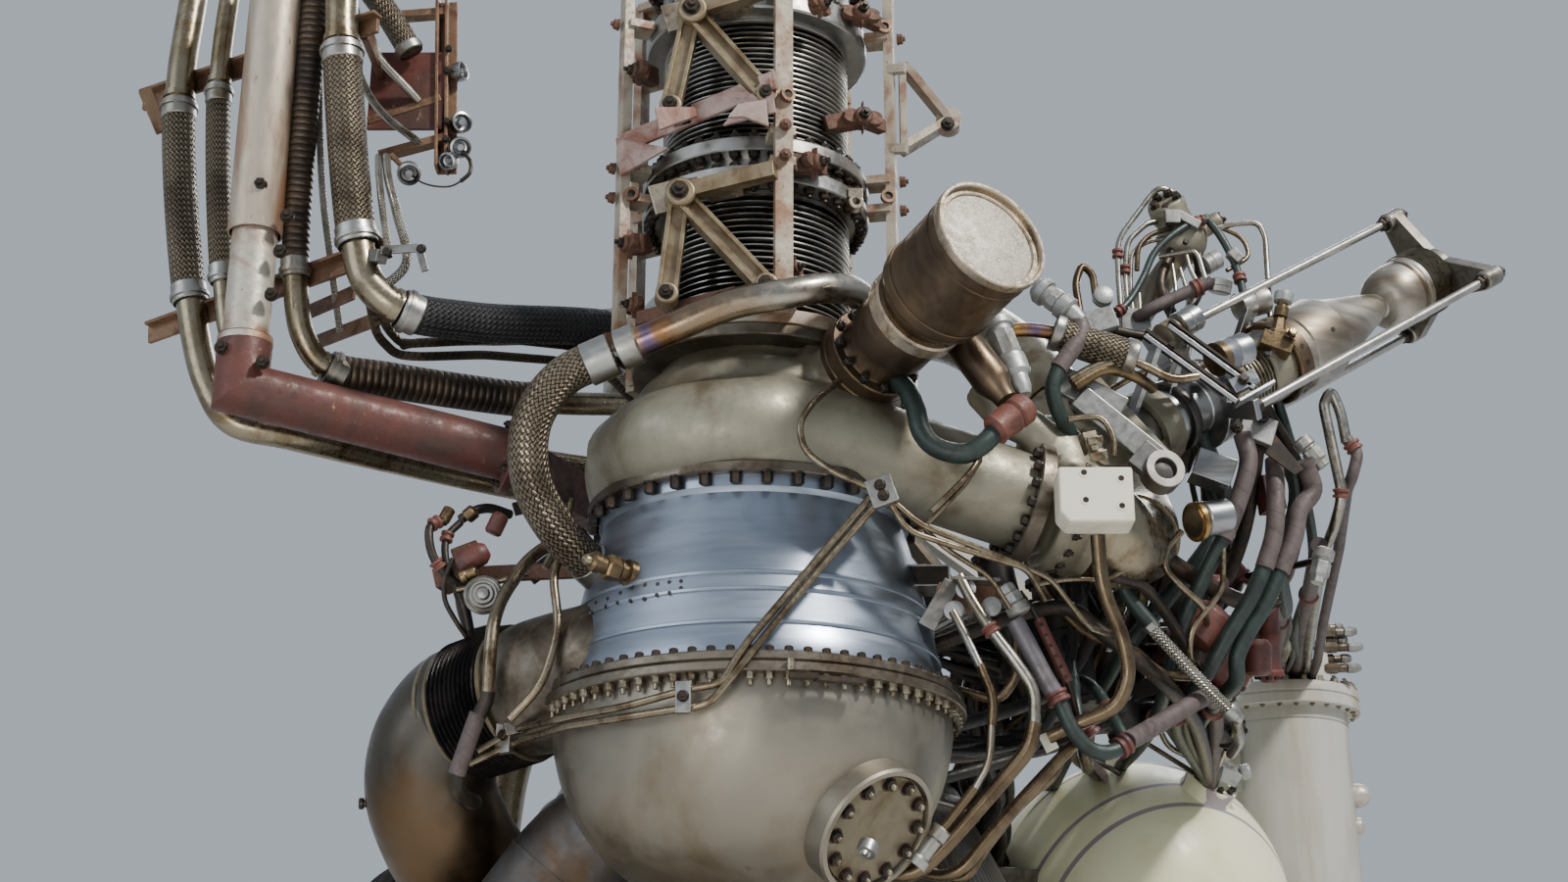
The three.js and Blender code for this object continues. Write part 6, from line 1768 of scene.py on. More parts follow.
# Places just inside the bodies that cables end on
ON_SPHERE_FRONT = SPHERE_CENTRE + Vector((-0.1, 0.2, 0.97)) * 294.0
ON_SPHERE_LEFT = SPHERE_CENTRE + Vector((-0.55, 0.15, 0.82)) * 294.0
ON_BOSS = SPHERE_BOSS_TOP + Vector((-8.0, -16.0, -10.0))
ON_TANK = TANK_CENTRE + Vector((0.0, -60.0, 2354.0))
ON_SADDLE = SPHERE_CENTRE + Vector((-0.963, 0.25, 0.1)) * 297.0
ON_CASING = Vector((255.0, -780.0, 2100.0))
ON_BOWL = Vector((262.0, -730.0, 1960.0))

# Right harness under the actuator: wrapped cables, red bodies, valves, tubes and connectors
HARNESS = [
    ("tube_dark", 11.0, 46, (), [
        seen(1120, 546, -985), seen(1124, 600, -970), seen(1146, 650, -950), seen(1153, 690, -935),
        seen(1140, 722, -920), seen(1101, 738, -905), seen(1070, 752, -890)]),
    ("mauve", 15.0, 0, (), [
        seen(1268, 444, -765), seen(1274, 470, -770), seen(1262, 515, -765), seen(1248, 550, -760)]),
    ("green", 12.5, 0, (0.4,), [
        seen(1249, 546, -760), seen(1230, 585, -740), seen(1205, 640, -700), seen(1190, 700, -600),
        seen(1172, 748, -240), ON_SPHERE_FRONT]),
    ("mauve", 15.0, 0, (), [
        seen(1300, 470, -715), seen(1302, 512, -730), seen(1300, 545, -728), seen(1290, 580, -725)]),
    ("green", 13.0, 0, (0.45,), [
        seen(1291, 576, -725), seen(1276, 610, -720), seen(1252, 650, -700), seen(1236, 680, -680),
        seen(1222, 700, -650), seen(1200, 735, -400), ON_BOSS]),
    ("mauve", 15.0, 0, (), [
        seen(1330, 470, -720), seen(1340, 500, -700), seen(1326, 520, -705), seen(1320, 550, -705),
        seen(1306, 584, -705)]),
    ("green", 13.0, 0, (0.4,), [
        seen(1307, 580, -705), seen(1292, 615, -700), seen(1272, 648, -690), seen(1262, 672, -680),
        seen(1262, 692, -660), seen(1246, 712, -560), seen(1222, 744, -300), ON_BOSS]),
    ("mauve", 14.0, 0, (0.3,), [
        seen(1346, 556, -620), seen(1340, 585, -460), seen(1332, 625, -80), seen(1326, 660, 300),
        seen(1320, 690, 540), ON_TANK]),
    ("mauve", 13.0, 0, (0.35,), [
        seen(1286, 600, -450), seen(1304, 625, -200), seen(1306, 664, 300), seen(1304, 690, 540),
        ON_TANK + Vector((-36, 16, 0))]),
    ("green", 12.0, 0, (), [seen(1128, 552, -800), seen(1150, 606, -790), seen(1178, 642, -780)]),
    ("mauve", 14.5, 0, (0.5,), [
        seen(1150, 757, -876), seen(1180, 740, -800), seen(1226, 713, -700), seen(1240, 724, -420),
        ON_BOSS]),
    ("pipe_plain", 9.0, 22, (0.45,), [
        seen(1374, 452, -680), seen(1368, 420, -685), seen(1358, 398, -690), seen(1350, 412, -690),
        seen(1358, 450, -690), seen(1370, 506, -690), seen(1362, 536, -660), seen(1350, 566, -540),
        seen(1340, 632, -60), seen(1334, 672, 380), seen(1332, 694, 560), ON_TANK + Vector((24, 0, 0))]),
    ("mauve", 10.0, 26, (0.05,), [
        seen(1374, 448, -680), seen(1386, 462, -680), seen(1380, 486, -680), seen(1374, 500, -600),
        seen(1366, 560, -340), seen(1350, 636, 120), seen(1344, 676, 440), ON_TANK + Vector((44, 0, 0))]),
    ("tube", 5.5, 26, (), [
        seen(1206, 542, -800), seen(1190, 560, -800), seen(1188, 580, -800), seen(1206, 600, -790),
        seen(1228, 618, -770), seen(1232, 640, -690)]),
    ("tube", 5.0, 26, (), [
        seen(1248, 552, -758), seen(1248, 598, -760), seen(1240, 612, -760), seen(1216, 640, -755),
        seen(1213, 668, -740), seen(1222, 680, -670)]),
    ("tube", 4.0, 26, (), [
        seen(1190, 552, -760), seen(1150, 580, -860), seen(1128, 592, -870), seen(1092, 590, -880),
        seen(1058, 596, -905)]),
    ("bolt", 9.0, 0, (), [
        seen(1092, 556, -880), seen(1130, 585, -860), seen(1168, 600, -800), seen(1216, 668, -670)]),
    ("bolt", 12.0, 0, (), [
        ON_CASING, seen(1085, 620, -800), seen(1130, 650, -790), seen(1180, 690, -740),
        seen(1215, 730, -540), ON_BOSS]),
    ("bolt", 14.0, 0, (), [
        seen(1150, 520, -760), seen(1180, 560, -740), seen(1220, 590, -700), seen(1262, 612, -640),
        seen(1270, 600, -460)]),
    ("green", 13.0, 0, (0.5,), [
        station(140, 90, 40), seen(1250, 520, -620), seen(1200, 600, -600), seen(1150, 660, -560),
        seen(1110, 730, -360), ON_SPHERE_LEFT]),
    # Near-black cable that reads as painted shade on its way to the bowl
    ("shade", 11.0, 0, (), [
        MAIN_DUCT[1], seen(1150, 590, -640), seen(1120, 640, -640), seen(1080, 700, -640),
        ON_BOWL + Vector((0, -40, 10))]),
    ("bolt", 12.0, 0, (), [
        station(300, 90, 40), seen(1270, 540, -560), seen(1240, 620, -540), seen(1210, 700, -480),
        ON_BOSS]),
    # Near-black cable that reads as painted shade on its way to the bowl
    ("shade", 9.0, 30, (), [
        seen(1080, 500, -700), seen(1100, 600, -700), seen(1090, 700, -700), seen(1050, 770, -690),
        ON_BOWL + Vector((0, -20, -60))]),
    ("green", 9.0, 0, (), [
        station(330, 100, 50), seen(1330, 500, -560), seen(1340, 570, -360), seen(1322, 640, 60),
        seen(1318, 690, 540), ON_TANK + Vector((-16, 4, 0))]),
    ("bolt", 6.0, 20, (), [seen(1262, 590, -455), seen(1345, 572, -636)]),
    ("pipe_plain", 5.0, 24, (), [
        seen(1196, 676, -480), seen(1240, 704, -480), seen(1262, 716, -440), seen(1262, 740, -300),
        ON_BOSS]),
    ("tube_dark", 8.0, 30, (), [
        seen(1040, 556, -780), seen(1070, 610, -750), seen(1110, 650, -740), seen(1150, 655, -730),
        seen(1186, 690, -710), seen(1222, 690, -670)]),
]
BRAIDED_LINE = [seen(1174, 640, -790), seen(1200, 668, -775), seen(1228, 698, -750), seen(1254, 724, -715)]


def build_harness():
    build_tubes("harness", HARNESS)
    line = smooth_route(BRAIDED_LINE, 6.0)
    build("harness_braided", "wire_braid", sweep(line, 9.5, 20))
    ahead = (line[-1] - line[-2]).normalized()
    end = [lathe([(11, -6), (13, -3), (13, 14), (10, 18), (10, 26)], 20, line[-1], ahead),
           lathe([(12, 2), (12, 12)], 6, line[0] - (line[1] - line[0]).normalized() * 8, line[1] - line[0])]
    build("harness_ends", "silver", *end)
    elbow = bent_route([line[-1] + ahead * 20, seen(1262, 742, -690), seen(1266, 756, -640),
                        seen(1256, 770, -600)], 18)
    build("harness_elbow", "pipe_plain", sweep(elbow, 8.5, 20))
    red = [lathe([(26, 0), (38, 8), (40, 40), (34, 60), (20, 70)], 40, seen(1216, 655, -660),
                 (0.75, -0.2, 0.85)),
           lathe([(16, 0), (18, 4), (18, 24), (12, 30)], 24, seen(1240, 606, -650), (0.2, -0.5, 0.9)),
           lathe([(14, 0), (22, 6), (24, 50), (16, 60)], 32, seen(1284, 690, -560), (0.0, -0.2, 1.0)),
           block(seen(1296, 505, -600), (34, 60, 40), (1, 0.2, 0.1)),
           lathe([(15, 0), (18, 5), (18, 50), (12, 56)], 28, seen(1128, 575, -770), (0.6, -0.2, -0.5))]
    build("harness_red_bodies", "rubber", *red, bevel=1.5)
    box = [block(seen(1237, 481, -830), (62, 46, 50), (0.93, 0.0, -0.36), UP)]
    build("solenoid_box", "polished", *box, bevel=2.5)
    run = Vector((0.85, 0.35, 0.25))
    mouth = seen(1224, 532, -835)
    drum = lathe([(24, 0), (27, 3), (27, 46), (24, 50)], 40, seen(1226, 530, -830), run)
    build("solenoid_drum", "polished", drum, replaces=["pilot_valve_lower"])
    cap = lathe([(22, -2), (27, 0), (31, 2), (31, 10), (27, 12)], 40, mouth, run * -1)
    build("solenoid_ring", "brass", cap)
    # Dark disc inside the mouth: painted shade
    build("solenoid_mouth_shade", "bolt", lathe([(24, 8), (24, 13)], 32, mouth, run * -1))
    sheet = prism([(-44, -16), (40, -30), (48, -14), (-34, 24)], 5, seen(1306, 458, -745), (0.85, 0, -0.5),
                  (0.5, 0, 0.85))
    foot = bar(seen(1266, 430, -770), seen(1300, 444, -760), 46, 14, UP)
    build("actuator_plate", "bolt", sheet, bevel=1.0)
    build("actuator_foot", "polished_dull", foot, bevel=2.0)
    build("actuator_foot_bolts", "bolt", bolt(seen(1262, 436, -778), (0, -1, 0), 16, 9, 4),
          bolt(seen(1288, 426, -778), (0, -1, 0), 16, 9, 4))
    joints = []
    for start, away in ((seen(1326, 448, -700), (0.6, 0, -0.8)), (seen(1352, 560, -690), (-0.3, 0, -1))):
        joints += [lathe([(12, 0), (17, 3), (17, 18), (13, 20), (13, 24)], 24, start, away),
                   lathe([(16, 24), (16, 46), (12, 50), (12, 60)], 6, start, away)]
    build("harness_connectors", "wrap_white", *joints, bevel=1.0)


# Middle right: perforated bracket plate, tubes down beside the bowl, the wrapped hose and its sleeve
SIDE_TUBES = [
    ("pipe_plain", 9.0, 40, (0.42,), [
        seen(979, 588, -940), seen(990, 610, -945), seen(1009, 640, -950), seen(1037, 676, -950),
        seen(1056, 704, -945), seen(1056, 738, -940)]),
    ("tube_dark", 11.5, 46, (), [
        seen(1056, 736, -940), seen(1050, 765, -930), seen(1010, 812, -915), seen(968, 860, -900),
        seen(930, 898, -890), (150, -850, 1768)]),
    ("pipe_plain", 6.5, 34, (), [seen(972, 624, -940), seen(986, 650, -945), seen(1000, 680, -948)]),
    ("tube_dark", 7.0, 30, (), [seen(1000, 678, -948), seen(1014, 712, -945), seen(1012, 740, -940)]),
    ("pipe_plain", 5.5, 30, (), [seen(1012, 738, -940), seen(1010, 778, -930), seen(994, 806, -920)]),
    ("tube_dark", 7.5, 30, (), [seen(995, 804, -920), seen(972, 834, -912), seen(948, 862, -905)]),
    ("tube_dark", 9.0, 40, (), [
        seen(1103, 752, -880), seen(1078, 778, -880), seen(1046, 812, -870), seen(1012, 850, -860),
        seen(975, 898, -850), (180, -770, 1780)]),
    ("tube_dark", 6.5, 30, (), [
        seen(1086, 762, -860), seen(1078, 790, -860), seen(1040, 822, -850), seen(1004, 868, -840),
        seen(985, 900, -835), (190, -740, 1790)]),
    ("tube_dark", 7.0, 26, (), [
        seen(1036, 640, -925), seen(1038, 690, -880), seen(1020, 716, -870), (255, -830, 2040)]),
    ("hose_grey", 14.0, 40, (), [
        seen(1036, 634, -930), seen(1050, 660, -930), seen(1066, 692, -925), seen(1080, 714, -920)]),
    ("green", 11.5, 0, (), [
        seen(1080, 714, -920), seen(1094, 744, -915), seen(1112, 764, -905), seen(1130, 768, -895),
        seen(1146, 762, -880)]),
    ("bolt", 5.0, 0, (), [
        seen(1040, 604, -918), seen(1060, 632, -905), seen(1090, 696, -900), seen(1100, 736, -880)]),
    ("rubber", 8.5, 0, (), [seen(1060, 632, -905), seen(1072, 658, -905), seen(1090, 696, -900)]),
    ("green", 9.0, 0, (0.75,), [
        seen(1094, 690, -560), seen(1120, 706, -760), seen(1140, 740, -850), seen(1150, 758, -868)]),
    ("green", 8.0, 0, (), [
        seen(1086, 650, -580), seen(1096, 690, -760), seen(1098, 716, -830), seen(1102, 740, -840)]),
]


# Rubber rings: pixel, depth, the way that they face, and radius
SIDE_RINGS = [
    (1079, 712, -921, (0.4, 0, -0.8), 15),
    (1146, 761, -880, (0.7, 0.2, 0.5), 14),
    (1098, 742, -840, (0.2, 0.2, 1), 11),
    (1112, 746, -846, (0.5, 0, -0.6), 12),
]
SLEEVE_HOLES = 6


def build_side_tubes():
    build_tubes("side", SIDE_TUBES)
    plate = prism([(-14, 26), (-30, -12), (-24, -24), (88, -12), (108, 6), (92, 22)], 5, seen(968, 612, -920),
                  (1, 0.1, 0.02), (0, 0, 1))
    lip = [bar(seen(945, 640, -930), seen(972, 594, -930), 6, 26, (0, 1, 0)),
           bar(seen(972, 592, -935), seen(1020, 594, -935), 30, 5, (0, 1, 0))]
    build("side_plate", "bronze_rust", plate, bevel=1.0)
    build("side_plate_lip", "polished_dull", *lip, bevel=1.0)
    discs = [lathe([(13, 0), (15, 2), (15, 6), (9, 8)], 28, place, (-0.2, -1, 0.1))
             for place in (seen(986, 602, -936), seen(974, 624, -932), seen(1012, 620, -930))]
    build("side_washers", "wrap_white", *discs)
    start = seen(1026, 600, -932)
    run = seen(1050, 640, -930) - start
    hexes = [lathe([(12, -4), (14, 0), (14, 10), (17, 12), (17, 26), (14, 28)], 8, start, run),
             lathe([(14, 26), (18, 30), (18, 42), (14, 46)], 24, start, run)]
    build("side_coupling", "wrap_white", *hexes, bevel=1.0)
    rings = []
    for u, v, depth, away, radius in SIDE_RINGS:
        rings.append(lathe([(radius - 2, -9), (radius + 3, -8), (radius + 3, -4), (radius, -2), (radius, 1),
                            (radius + 3, 3), (radius + 3, 8), (radius - 2, 9)], 28, seen(u, v, depth), away))
    build("side_rings", "rubber", *rings)
    # Dark discs for the sleeve's holes: painted shade in them
    holes = Shape()
    for i in range(SLEEVE_HOLES):
        place = seen(1060, 632, -914).lerp(seen(1090, 696, -909), (i + 0.5) / SLEEVE_HOLES)
        holes.join(lathe([(2.6, -1), (2.6, 1.5)], 10, place, (0.15 * (-1) ** i, -1, 0)))
    build("side_sleeve_hole_shades", "bolt", holes)
    ends = [lathe([(13, 0), (16, 3), (16, 18), (13, 21), (13, 50), (17, 54), (17, 66)], 28,
                  seen(962, 845, -912), (-0.6, 0.1, -0.75)),
            lathe([(9, 0), (12, 2), (12, 14), (9, 16), (9, 34)], 24, seen(952, 858, -905),
                  (-0.6, 0.1, -0.75)),
            hoop(8, 14, -8, 8, 24, seen(885, 866, -1046), (-0.3, -0.4, -0.8))]
    build("side_fittings", "silver", *ends)
    tag = block(seen(1070, 757, -890), (20, 28, 3), (0.9, 0, 0.4), UP)
    build("blank_tag", "cream", tag, bevel=0.5)


# Upper right: bolted valve block on its round body, its small tubes, green cables and drums
CLUSTER_TUBES = [
    ("pipe_plain", 5.0, 26, (0.75,), [
        seen(1196, 196, -640), seen(1184, 191, -645), seen(1174, 199, -645), seen(1140, 245, -650),
        seen(1141, 282, -650), seen(1146, 346, -660)]),
    ("pipe_plain", 5.0, 20, (0.75,), [
        seen(1180, 226, -640), seen(1170, 228, -645), seen(1150, 246, -650), seen(1148, 282, -650),
        seen(1153, 346, -660)]),
    ("pipe_plain", 4.5, 20, (), [
        seen(1190, 243, -640), seen(1170, 246, -645), seen(1154, 258, -650), seen(1153, 290, -650),
        seen(1158, 344, -660)]),
    ("pipe_plain", 5.0, 0, (), [seen(1162, 300, -650), seen(1164, 344, -660)]),
    ("tube_dark", 4.5, 18, (), [
        seen(1196, 232, -645), seen(1172, 240, -650), seen(1161, 252, -655), seen(1160, 276, -655)]),
    ("pipe_plain", 4.5, 16, (), [
        seen(1182, 262, -650), seen(1218, 256, -660), seen(1223, 262, -660), seen(1231, 288, -665)]),
    ("pipe_plain", 4.0, 16, (), [seen(1210, 258, -655), seen(1214, 274, -660), seen(1224, 292, -660)]),
    ("pipe_plain", 5.0, 22, (), [
        seen(1240, 233, -620), seen(1262, 228, -620), seen(1284, 227, -620), seen(1291, 242, -620),
        seen(1296, 322, -640), seen(1298, 356, -664)]),
    ("tube_dark", 4.0, 24, (), [
        seen(1245, 232, -615), seen(1268, 242, -620), seen(1276, 262, -625), seen(1252, 276, -640)]),
    ("green", 6.0, 0, (0.04, 0.5), [
        seen(1232, 224, -650), seen(1216, 228, -655), seen(1196, 240, -665), seen(1178, 258, -670),
        seen(1166, 284, -675), seen(1148, 312, -690), seen(1112, 336, -720), seen(1086, 344, -900)]),
    ("green", 7.0, 0, (0.5,), [
        seen(1228, 220, -645), seen(1242, 236, -640), seen(1256, 260, -640), seen(1265, 284, -640),
        seen(1276, 352, -690)]),
    ("mauve", 11.0, 0, (0.85,), [
        seen(1160, 324, -672), seen(1174, 316, -690), seen(1198, 304, -690), seen(1236, 288, -690)]),
    ("tube_dark", 6.5, 26, (), [
        seen(1104, 332, -720), seen(1097, 288, -712), seen(1104, 270, -706), seen(1115, 280, -700),
        seen(1119, 308, -700)]),
    ("bolt", 10.0, 0, (), [
        seen(1198, 250, -625), seen(1184, 290, -640), seen(1200, 330, -680), station(150, 300, 40)]),
    ("bolt", 9.0, 0, (), [
        seen(1222, 252, -615), seen(1222, 300, -640), seen(1180, 342, -680), seen(1128, 336, -716)]),
    ("pipe_plain", 3.5, 14, (), [
        seen(1196, 270, -650), seen(1200, 296, -660), seen(1192, 340, -690), station(110, 300, 30)]),
    ("pipe_plain", 3.5, 14, (), [
        seen(1204, 274, -650), seen(1211, 296, -660), seen(1216, 340, -690), station(140, 300, 30)]),
    ("tube", 5.0, 20, (), [
        seen(1130, 400, -860), seen(1160, 382, -870), seen(1174, 378, -870), seen(1200, 386, -860),
        seen(1222, 382, -850), seen(1228, 374, -850)]),
]
# Drums: look, radius, length, place of the near end, and the way that it runs. The pilot valve is
# the drum of that number.
PILOT_DRUM = 2
DRUMS = [
    ("polished", 22, 44, seen(1201, 334, -880), (0.75, 0.3, 0.55)),
    ("casting", 24, 30, seen(1186, 346, -890), (0.75, 0.3, 0.55)),
    ("polished", 26, 62, seen(1243, 366, -890), (0.8, 0.4, 0.45)),
    ("wrap_white", 17, 22, seen(1124, 306, -700), (0.1, -1.0, 0.1)),
    ("silver", 19, 26, seen(1244, 300, -680), (0.2, -0.3, 1.0)),
    ("wrap_white", 17, 34, seen(1228, 272, -640), (0.8, 0.1, 0.5)),
    ("silver", 24, 60, seen(1262, 314, -660), (0.75, 0.2, 0.3)),
]


def drum_of(radius, length, place, away):
    """Round drum with broken edges and a groove round its middle."""
    return lathe([(radius - 5, 0), (radius, 3), (radius, length * 0.45), (radius - 1, length * 0.48),
                  (radius, length * 0.51), (radius, length - 3), (radius - 6, length)], 40, place, away)


def build_cluster():
    build_tubes("cluster", CLUSTER_TUBES)
    top = seen(1190, 208, -640)
    face = Vector((-0.35, -0.8, 0.4)).normalized()
    middle = seen(1206, 246, -610)
    head = lathe([(26, -34), (34, -30), (34, 0), (31, 3)], 40, top, face)
    neck = sweep(smooth_route([top, middle, (690, -600, 2790), (630, -580, 2700), (580, -565, 2610)], 8.0),
                 lambda run: 30.0 if run < 60 else 24.0, 24)
    arm = rod(middle, seen(1244, 224, -612), 17, 24)
    foot = lathe([(40, 0), (44, 4), (44, 22), (38, 26)], 40, (572, -560, 2590), (0.3, -0.1, 1.0))
    cast("cluster_body", "casting", head, ball(middle, 44, 32), neck, arm, foot, voxel=3.5, smooth=3,
         replaces=["valve_cluster"])
    side, other, _ = square_axes(face)
    studs = [bolt(top + side * 20 * math.cos(angle) + other * 20 * math.sin(angle) + face * 3, face, 13, 12)
             for angle in (0.3, 1.4, 2.5, 3.6, 4.9)]
    studs += [bolt(middle + Vector((22 * math.cos(a), -42, 22 * math.sin(a))), (0.1, -1, 0), 8, 5)
              for a in (0.4, 1.7, 3.2, 4.6)]
    studs.append(bolt(seen(1244, 224, -616), (0.5, -0.5, 0.5), 18, 10))
    build("cluster_bolts", "bolt", *studs)
    plates = [block(seen(1212, 226, -655), (44, 16, 22), (0.8, 0, -0.5)),
              block(seen(1196, 222, -660), (26, 26, 16)),
              block(seen(1260, 262, -640), (26, 18, 22), (0.6, 0, -0.7)),
              block(seen(1158, 330, -660), (50, 44, 30)),
              block(seen(1120, 330, -720), (60, 40, 30), (1, 0, 0.3))]
    build("cluster_plates", "polished_dull", *plates, bevel=2.0)
    for number, (look, radius, length, place, away) in enumerate(DRUMS):
        build(f"drum_{number}", look, drum_of(radius, length, place, away),
              replaces=["pilot_valve_upper"] if number == PILOT_DRUM else ())
    place, away = DRUMS[PILOT_DRUM][3:]
    end = lathe([(22, -8), (27, -6), (27, 8), (24, 10)], 40, place, away)
    inner = lathe([(4, -9), (20, -9), (20, -4)], 32, place, away)
    build("drum_brass", "brass_dull", end, inner)
    stem_foot = seen(1303, 352, -757)
    channel = [bar(seen(1168, 340, -905), seen(1262, 408, -905), 34, 5, (0, 1, 0)),
               bar(seen(1192, 330, -905), seen(1280, 394, -905), 34, 4, (0, 1, 0))]
    build("channel_web", "bolt", *channel)
    edges = [bar(seen(1168, 342, -924), seen(1262, 410, -924), 4, 7, (0, 1, 0)),
             bar(seen(1192, 332, -924), seen(1280, 396, -924), 4, 7, (0, 1, 0)),
             block(seen(1269, 390, -918), (44, 24, 16), (0.9, 0, 0.45)),
             bar(seen(1262, 412, -920), seen(1298, 392, -905), 26, 5, (0, 1, 0)),
             bar(seen(1256, 404, -905), station(158, 310, 66), 22, 10, UP),
             bar(seen(1182, 348, -905), station(24, 300, 44), 22, 10, UP),
             bar(seen(1212, 326, -872), station(100, 310, 44), 20, 10, UP),
             bar((748, -878, 2552), station(225, 0, 0), 28, 16, ACTUATOR_AXIS),
             bar(seen(1278, 308, -655), station(300, 270, 50), 24, 12, UP),
             bar(stem_foot, station(310, 300, 50), 40, 20, UP)]
    build("channel_edges", "polished", *edges, bevel=1.0)
    build("channel_bolts", "bolt", bolt(seen(1269, 387, -928), (0, -1, 0.2), 13, 8),
          bolt(seen(1196, 352, -924), (0, -1, 0), 10, 6))
    knob = seen(1310, 302, -760)
    stem = seen(1303, 344, -760)
    up = (knob - stem).normalized()
    build("knob_cap", "wrap_white",
          lathe([(8, -14), (15, -12), (16, -6), (16, 4), (13, 7), (2, 7)], 32, knob, up))
    stem_parts = [lathe([(12, -40), (12, -22), (9, -20), (9, -8), (12, -6)], 24, knob, up),
                  lathe([(13, -8), (17, -4), (17, 8), (12, 12), (10, 34)], 6, stem, up),
                  block(stem - up * 14, (52, 26, 36), (0.9, 0, -0.35)),
                  bolt(seen(1318, 340, -785), (0.2, -1, 0.2), 15, 8)]
    build("knob_stem", "brass_dull", *stem_parts, bevel=1.0)


# Dense runs, mostly dark, put in as painted shade to fill the gap between the pump, the sphere and the tank:
# looks in turn, how many cables, their spread and the places on the way
RUN_RADII = (5.0, 8.5, 12.0)
BUNDLES = [
    (("bolt", "tube_dark", "green"), 7, 30, [
        (480, -840, 2285), seen(1090, 620, -560), seen(1056, 730, -480), seen(1012, 760, -340),
        ON_SADDLE + Vector((12, -20, 60))]),
    (("bolt", "mauve", "tube_dark"), 7, 34, [
        MAIN_DUCT[1], seen(1160, 600, -520), seen(1120, 700, -440), seen(1100, 760, -260),
        ON_SPHERE_FRONT]),
    (("bolt", "green", "bolt"), 6, 34, [
        station(150, 90, 30), seen(1240, 580, -440), seen(1210, 690, -300), ON_BOSS]),
    (("tube_dark", "bolt", "pipe_plain"), 6, 28, [
        (225, -720, 2110), seen(1040, 620, -560), seen(1130, 650, -480), seen(1250, 640, -300),
        seen(1296, 656, 240), seen(1300, 692, 540), ON_TANK + Vector((-30, 14, 0))]),
    (("shade", "bolt", "shade"), 7, 30, [
        ON_BOWL, seen(1040, 760, -480), seen(1110, 740, -400), seen(1200, 726, -260), ON_BOSS]),
    (("shade", "bolt", "shade"), 11, 44, [
        (262, -620, 2140), seen(1004, 640, -500), seen(994, 700, -460), seen(996, 762, -340), ON_SADDLE]),
    (("shade", "shade", "bolt"), 11, 42, [
        (250, -640, 2160), seen(1030, 690, -480), seen(1020, 740, -400), seen(1008, 786, -200),
        ON_SADDLE + Vector((2, 0, 30))]),
    (("shade", "bolt", "shade"), 9, 30, [
        MAIN_DUCT[2], seen(1090, 560, -420), seen(1130, 640, -380), seen(1170, 716, -280),
        seen(1210, 752, -60), ON_BOSS]),
    (("mauve", "bolt", "green"), 5, 22, [
        station(300, 110, 30), seen(1325, 500, -580), seen(1310, 570, -480), seen(1304, 640, 80),
        seen(1310, 692, 550), ON_TANK + Vector((-10, 6, 0))]),
]
# Flanged bodies that the runs end on, the near-black ones painted shade in the gap: look, radius and both
# ends of each
BODIES = [
    ("shade", 44, seen(1078, 590, -560), seen(1094, 720, -540)),
    ("shade", 38, seen(1150, 560, -520), seen(1214, 620, -470)),
    ("shade_red", 40, seen(1196, 650, -470), seen(1262, 694, -430)),
    ("shade", 30, seen(1012, 566, -600), seen(1042, 690, -590)),
    ("shade", 30, seen(1128, 684, -430), seen(1152, 748, -360)),
    ("shade_red", 26, seen(1238, 566, -470), seen(1290, 622, -440)),
    ("shade_red", 20, seen(1292, 612, -420), seen(1296, 690, -380)),
    ("shade", 26, seen(1196, 712, -330), seen(1256, 748, -200)),
]
# Near-black struts that carry them, also painted shade in the gap: start, end, width and depth
SHADE_STRUTS = [
    (seen(1086, 640, -550), (150, -130, 2410), 44, 16),
    (seen(1230, 672, -450), (180, -60, 2330), 44, 16),
    (seen(1180, 590, -500), MAIN_DUCT[2], 36, 14),
    (seen(1264, 594, -455), seen(1220, 640, -450), 30, 14),
    (seen(1294, 650, -400), seen(1230, 672, -450), 30, 14),
    (seen(1028, 630, -595), seen(1086, 650, -550), 30, 14),
    (seen(1140, 716, -395), seen(1226, 676, -450), 30, 14),
    (seen(1226, 730, -260), seen(1240, 690, -440), 30, 14),
]


def build_shade():
    runs = {}
    for looks, count, spread, places in BUNDLES:
        line = smooth_route(places, 22.0)
        for i in range(count):
            phase = 2.0 * math.pi * i / count
            shift = [Vector((math.cos(phase + j * 0.12), math.sin(phase * 2.0 + j * 0.1),
                             math.sin(phase + j * 0.07))) * spread
                     * (0.55 + 0.45 * math.sin(i * 2.1 + j * 0.16))
                     * min(1.0, 0.3 + 2.2 * math.sin(math.pi * j / (len(line) - 1)))
                     for j in range(len(line))]
            path = [p + s for p, s in zip(line, shift)]
            runs.setdefault(looks[i % 3], []).append(sweep(path, RUN_RADII[i % 3], 10))
    for look, shapes in runs.items():
        build(f"shade_{look}_runs", look, *shapes)
    shells = {}
    heads = Shape()
    for look, radius, start, end in BODIES:
        away = end - start
        length = away.length
        wide = radius * 1.2
        profile = [(radius * 0.6, -8), (radius, -2), (wide, 0), (wide, 9), (radius, 12),
                   (radius, length * 0.42), (radius * 1.08, length * 0.44), (radius * 1.08, length * 0.56),
                   (radius, length * 0.58), (radius, length - 12), (wide, length - 9), (wide, length),
                   (radius * 0.7, length + 10)]
        shells.setdefault(look, []).append(lathe(profile, 40, start, away))
        for rise in (9, length):
            heads.join(bolt_circle(start + away.normalized() * rise, away, radius * 1.1, 10, 9, 5))
    for look, shapes in shells.items():
        build(f"{look}_bodies", look, *shapes)
    build("shade_bolts", "bolt", heads)
    build("shade_struts", "shade", *[bar(*strut, UP) for strut in SHADE_STRUTS], bevel=1.5)


# Sphere and tank extras: lifting tab, seam, boss connector, elbows, studded plate and dome caps
def over_boss(rise, across, towards):
    """A place by its height over the sphere's boss, and mm to the right and to the camera."""
    return SPHERE_BOSS_TOP + BOSS_AXIS * rise + Vector((across, -towards, 0))


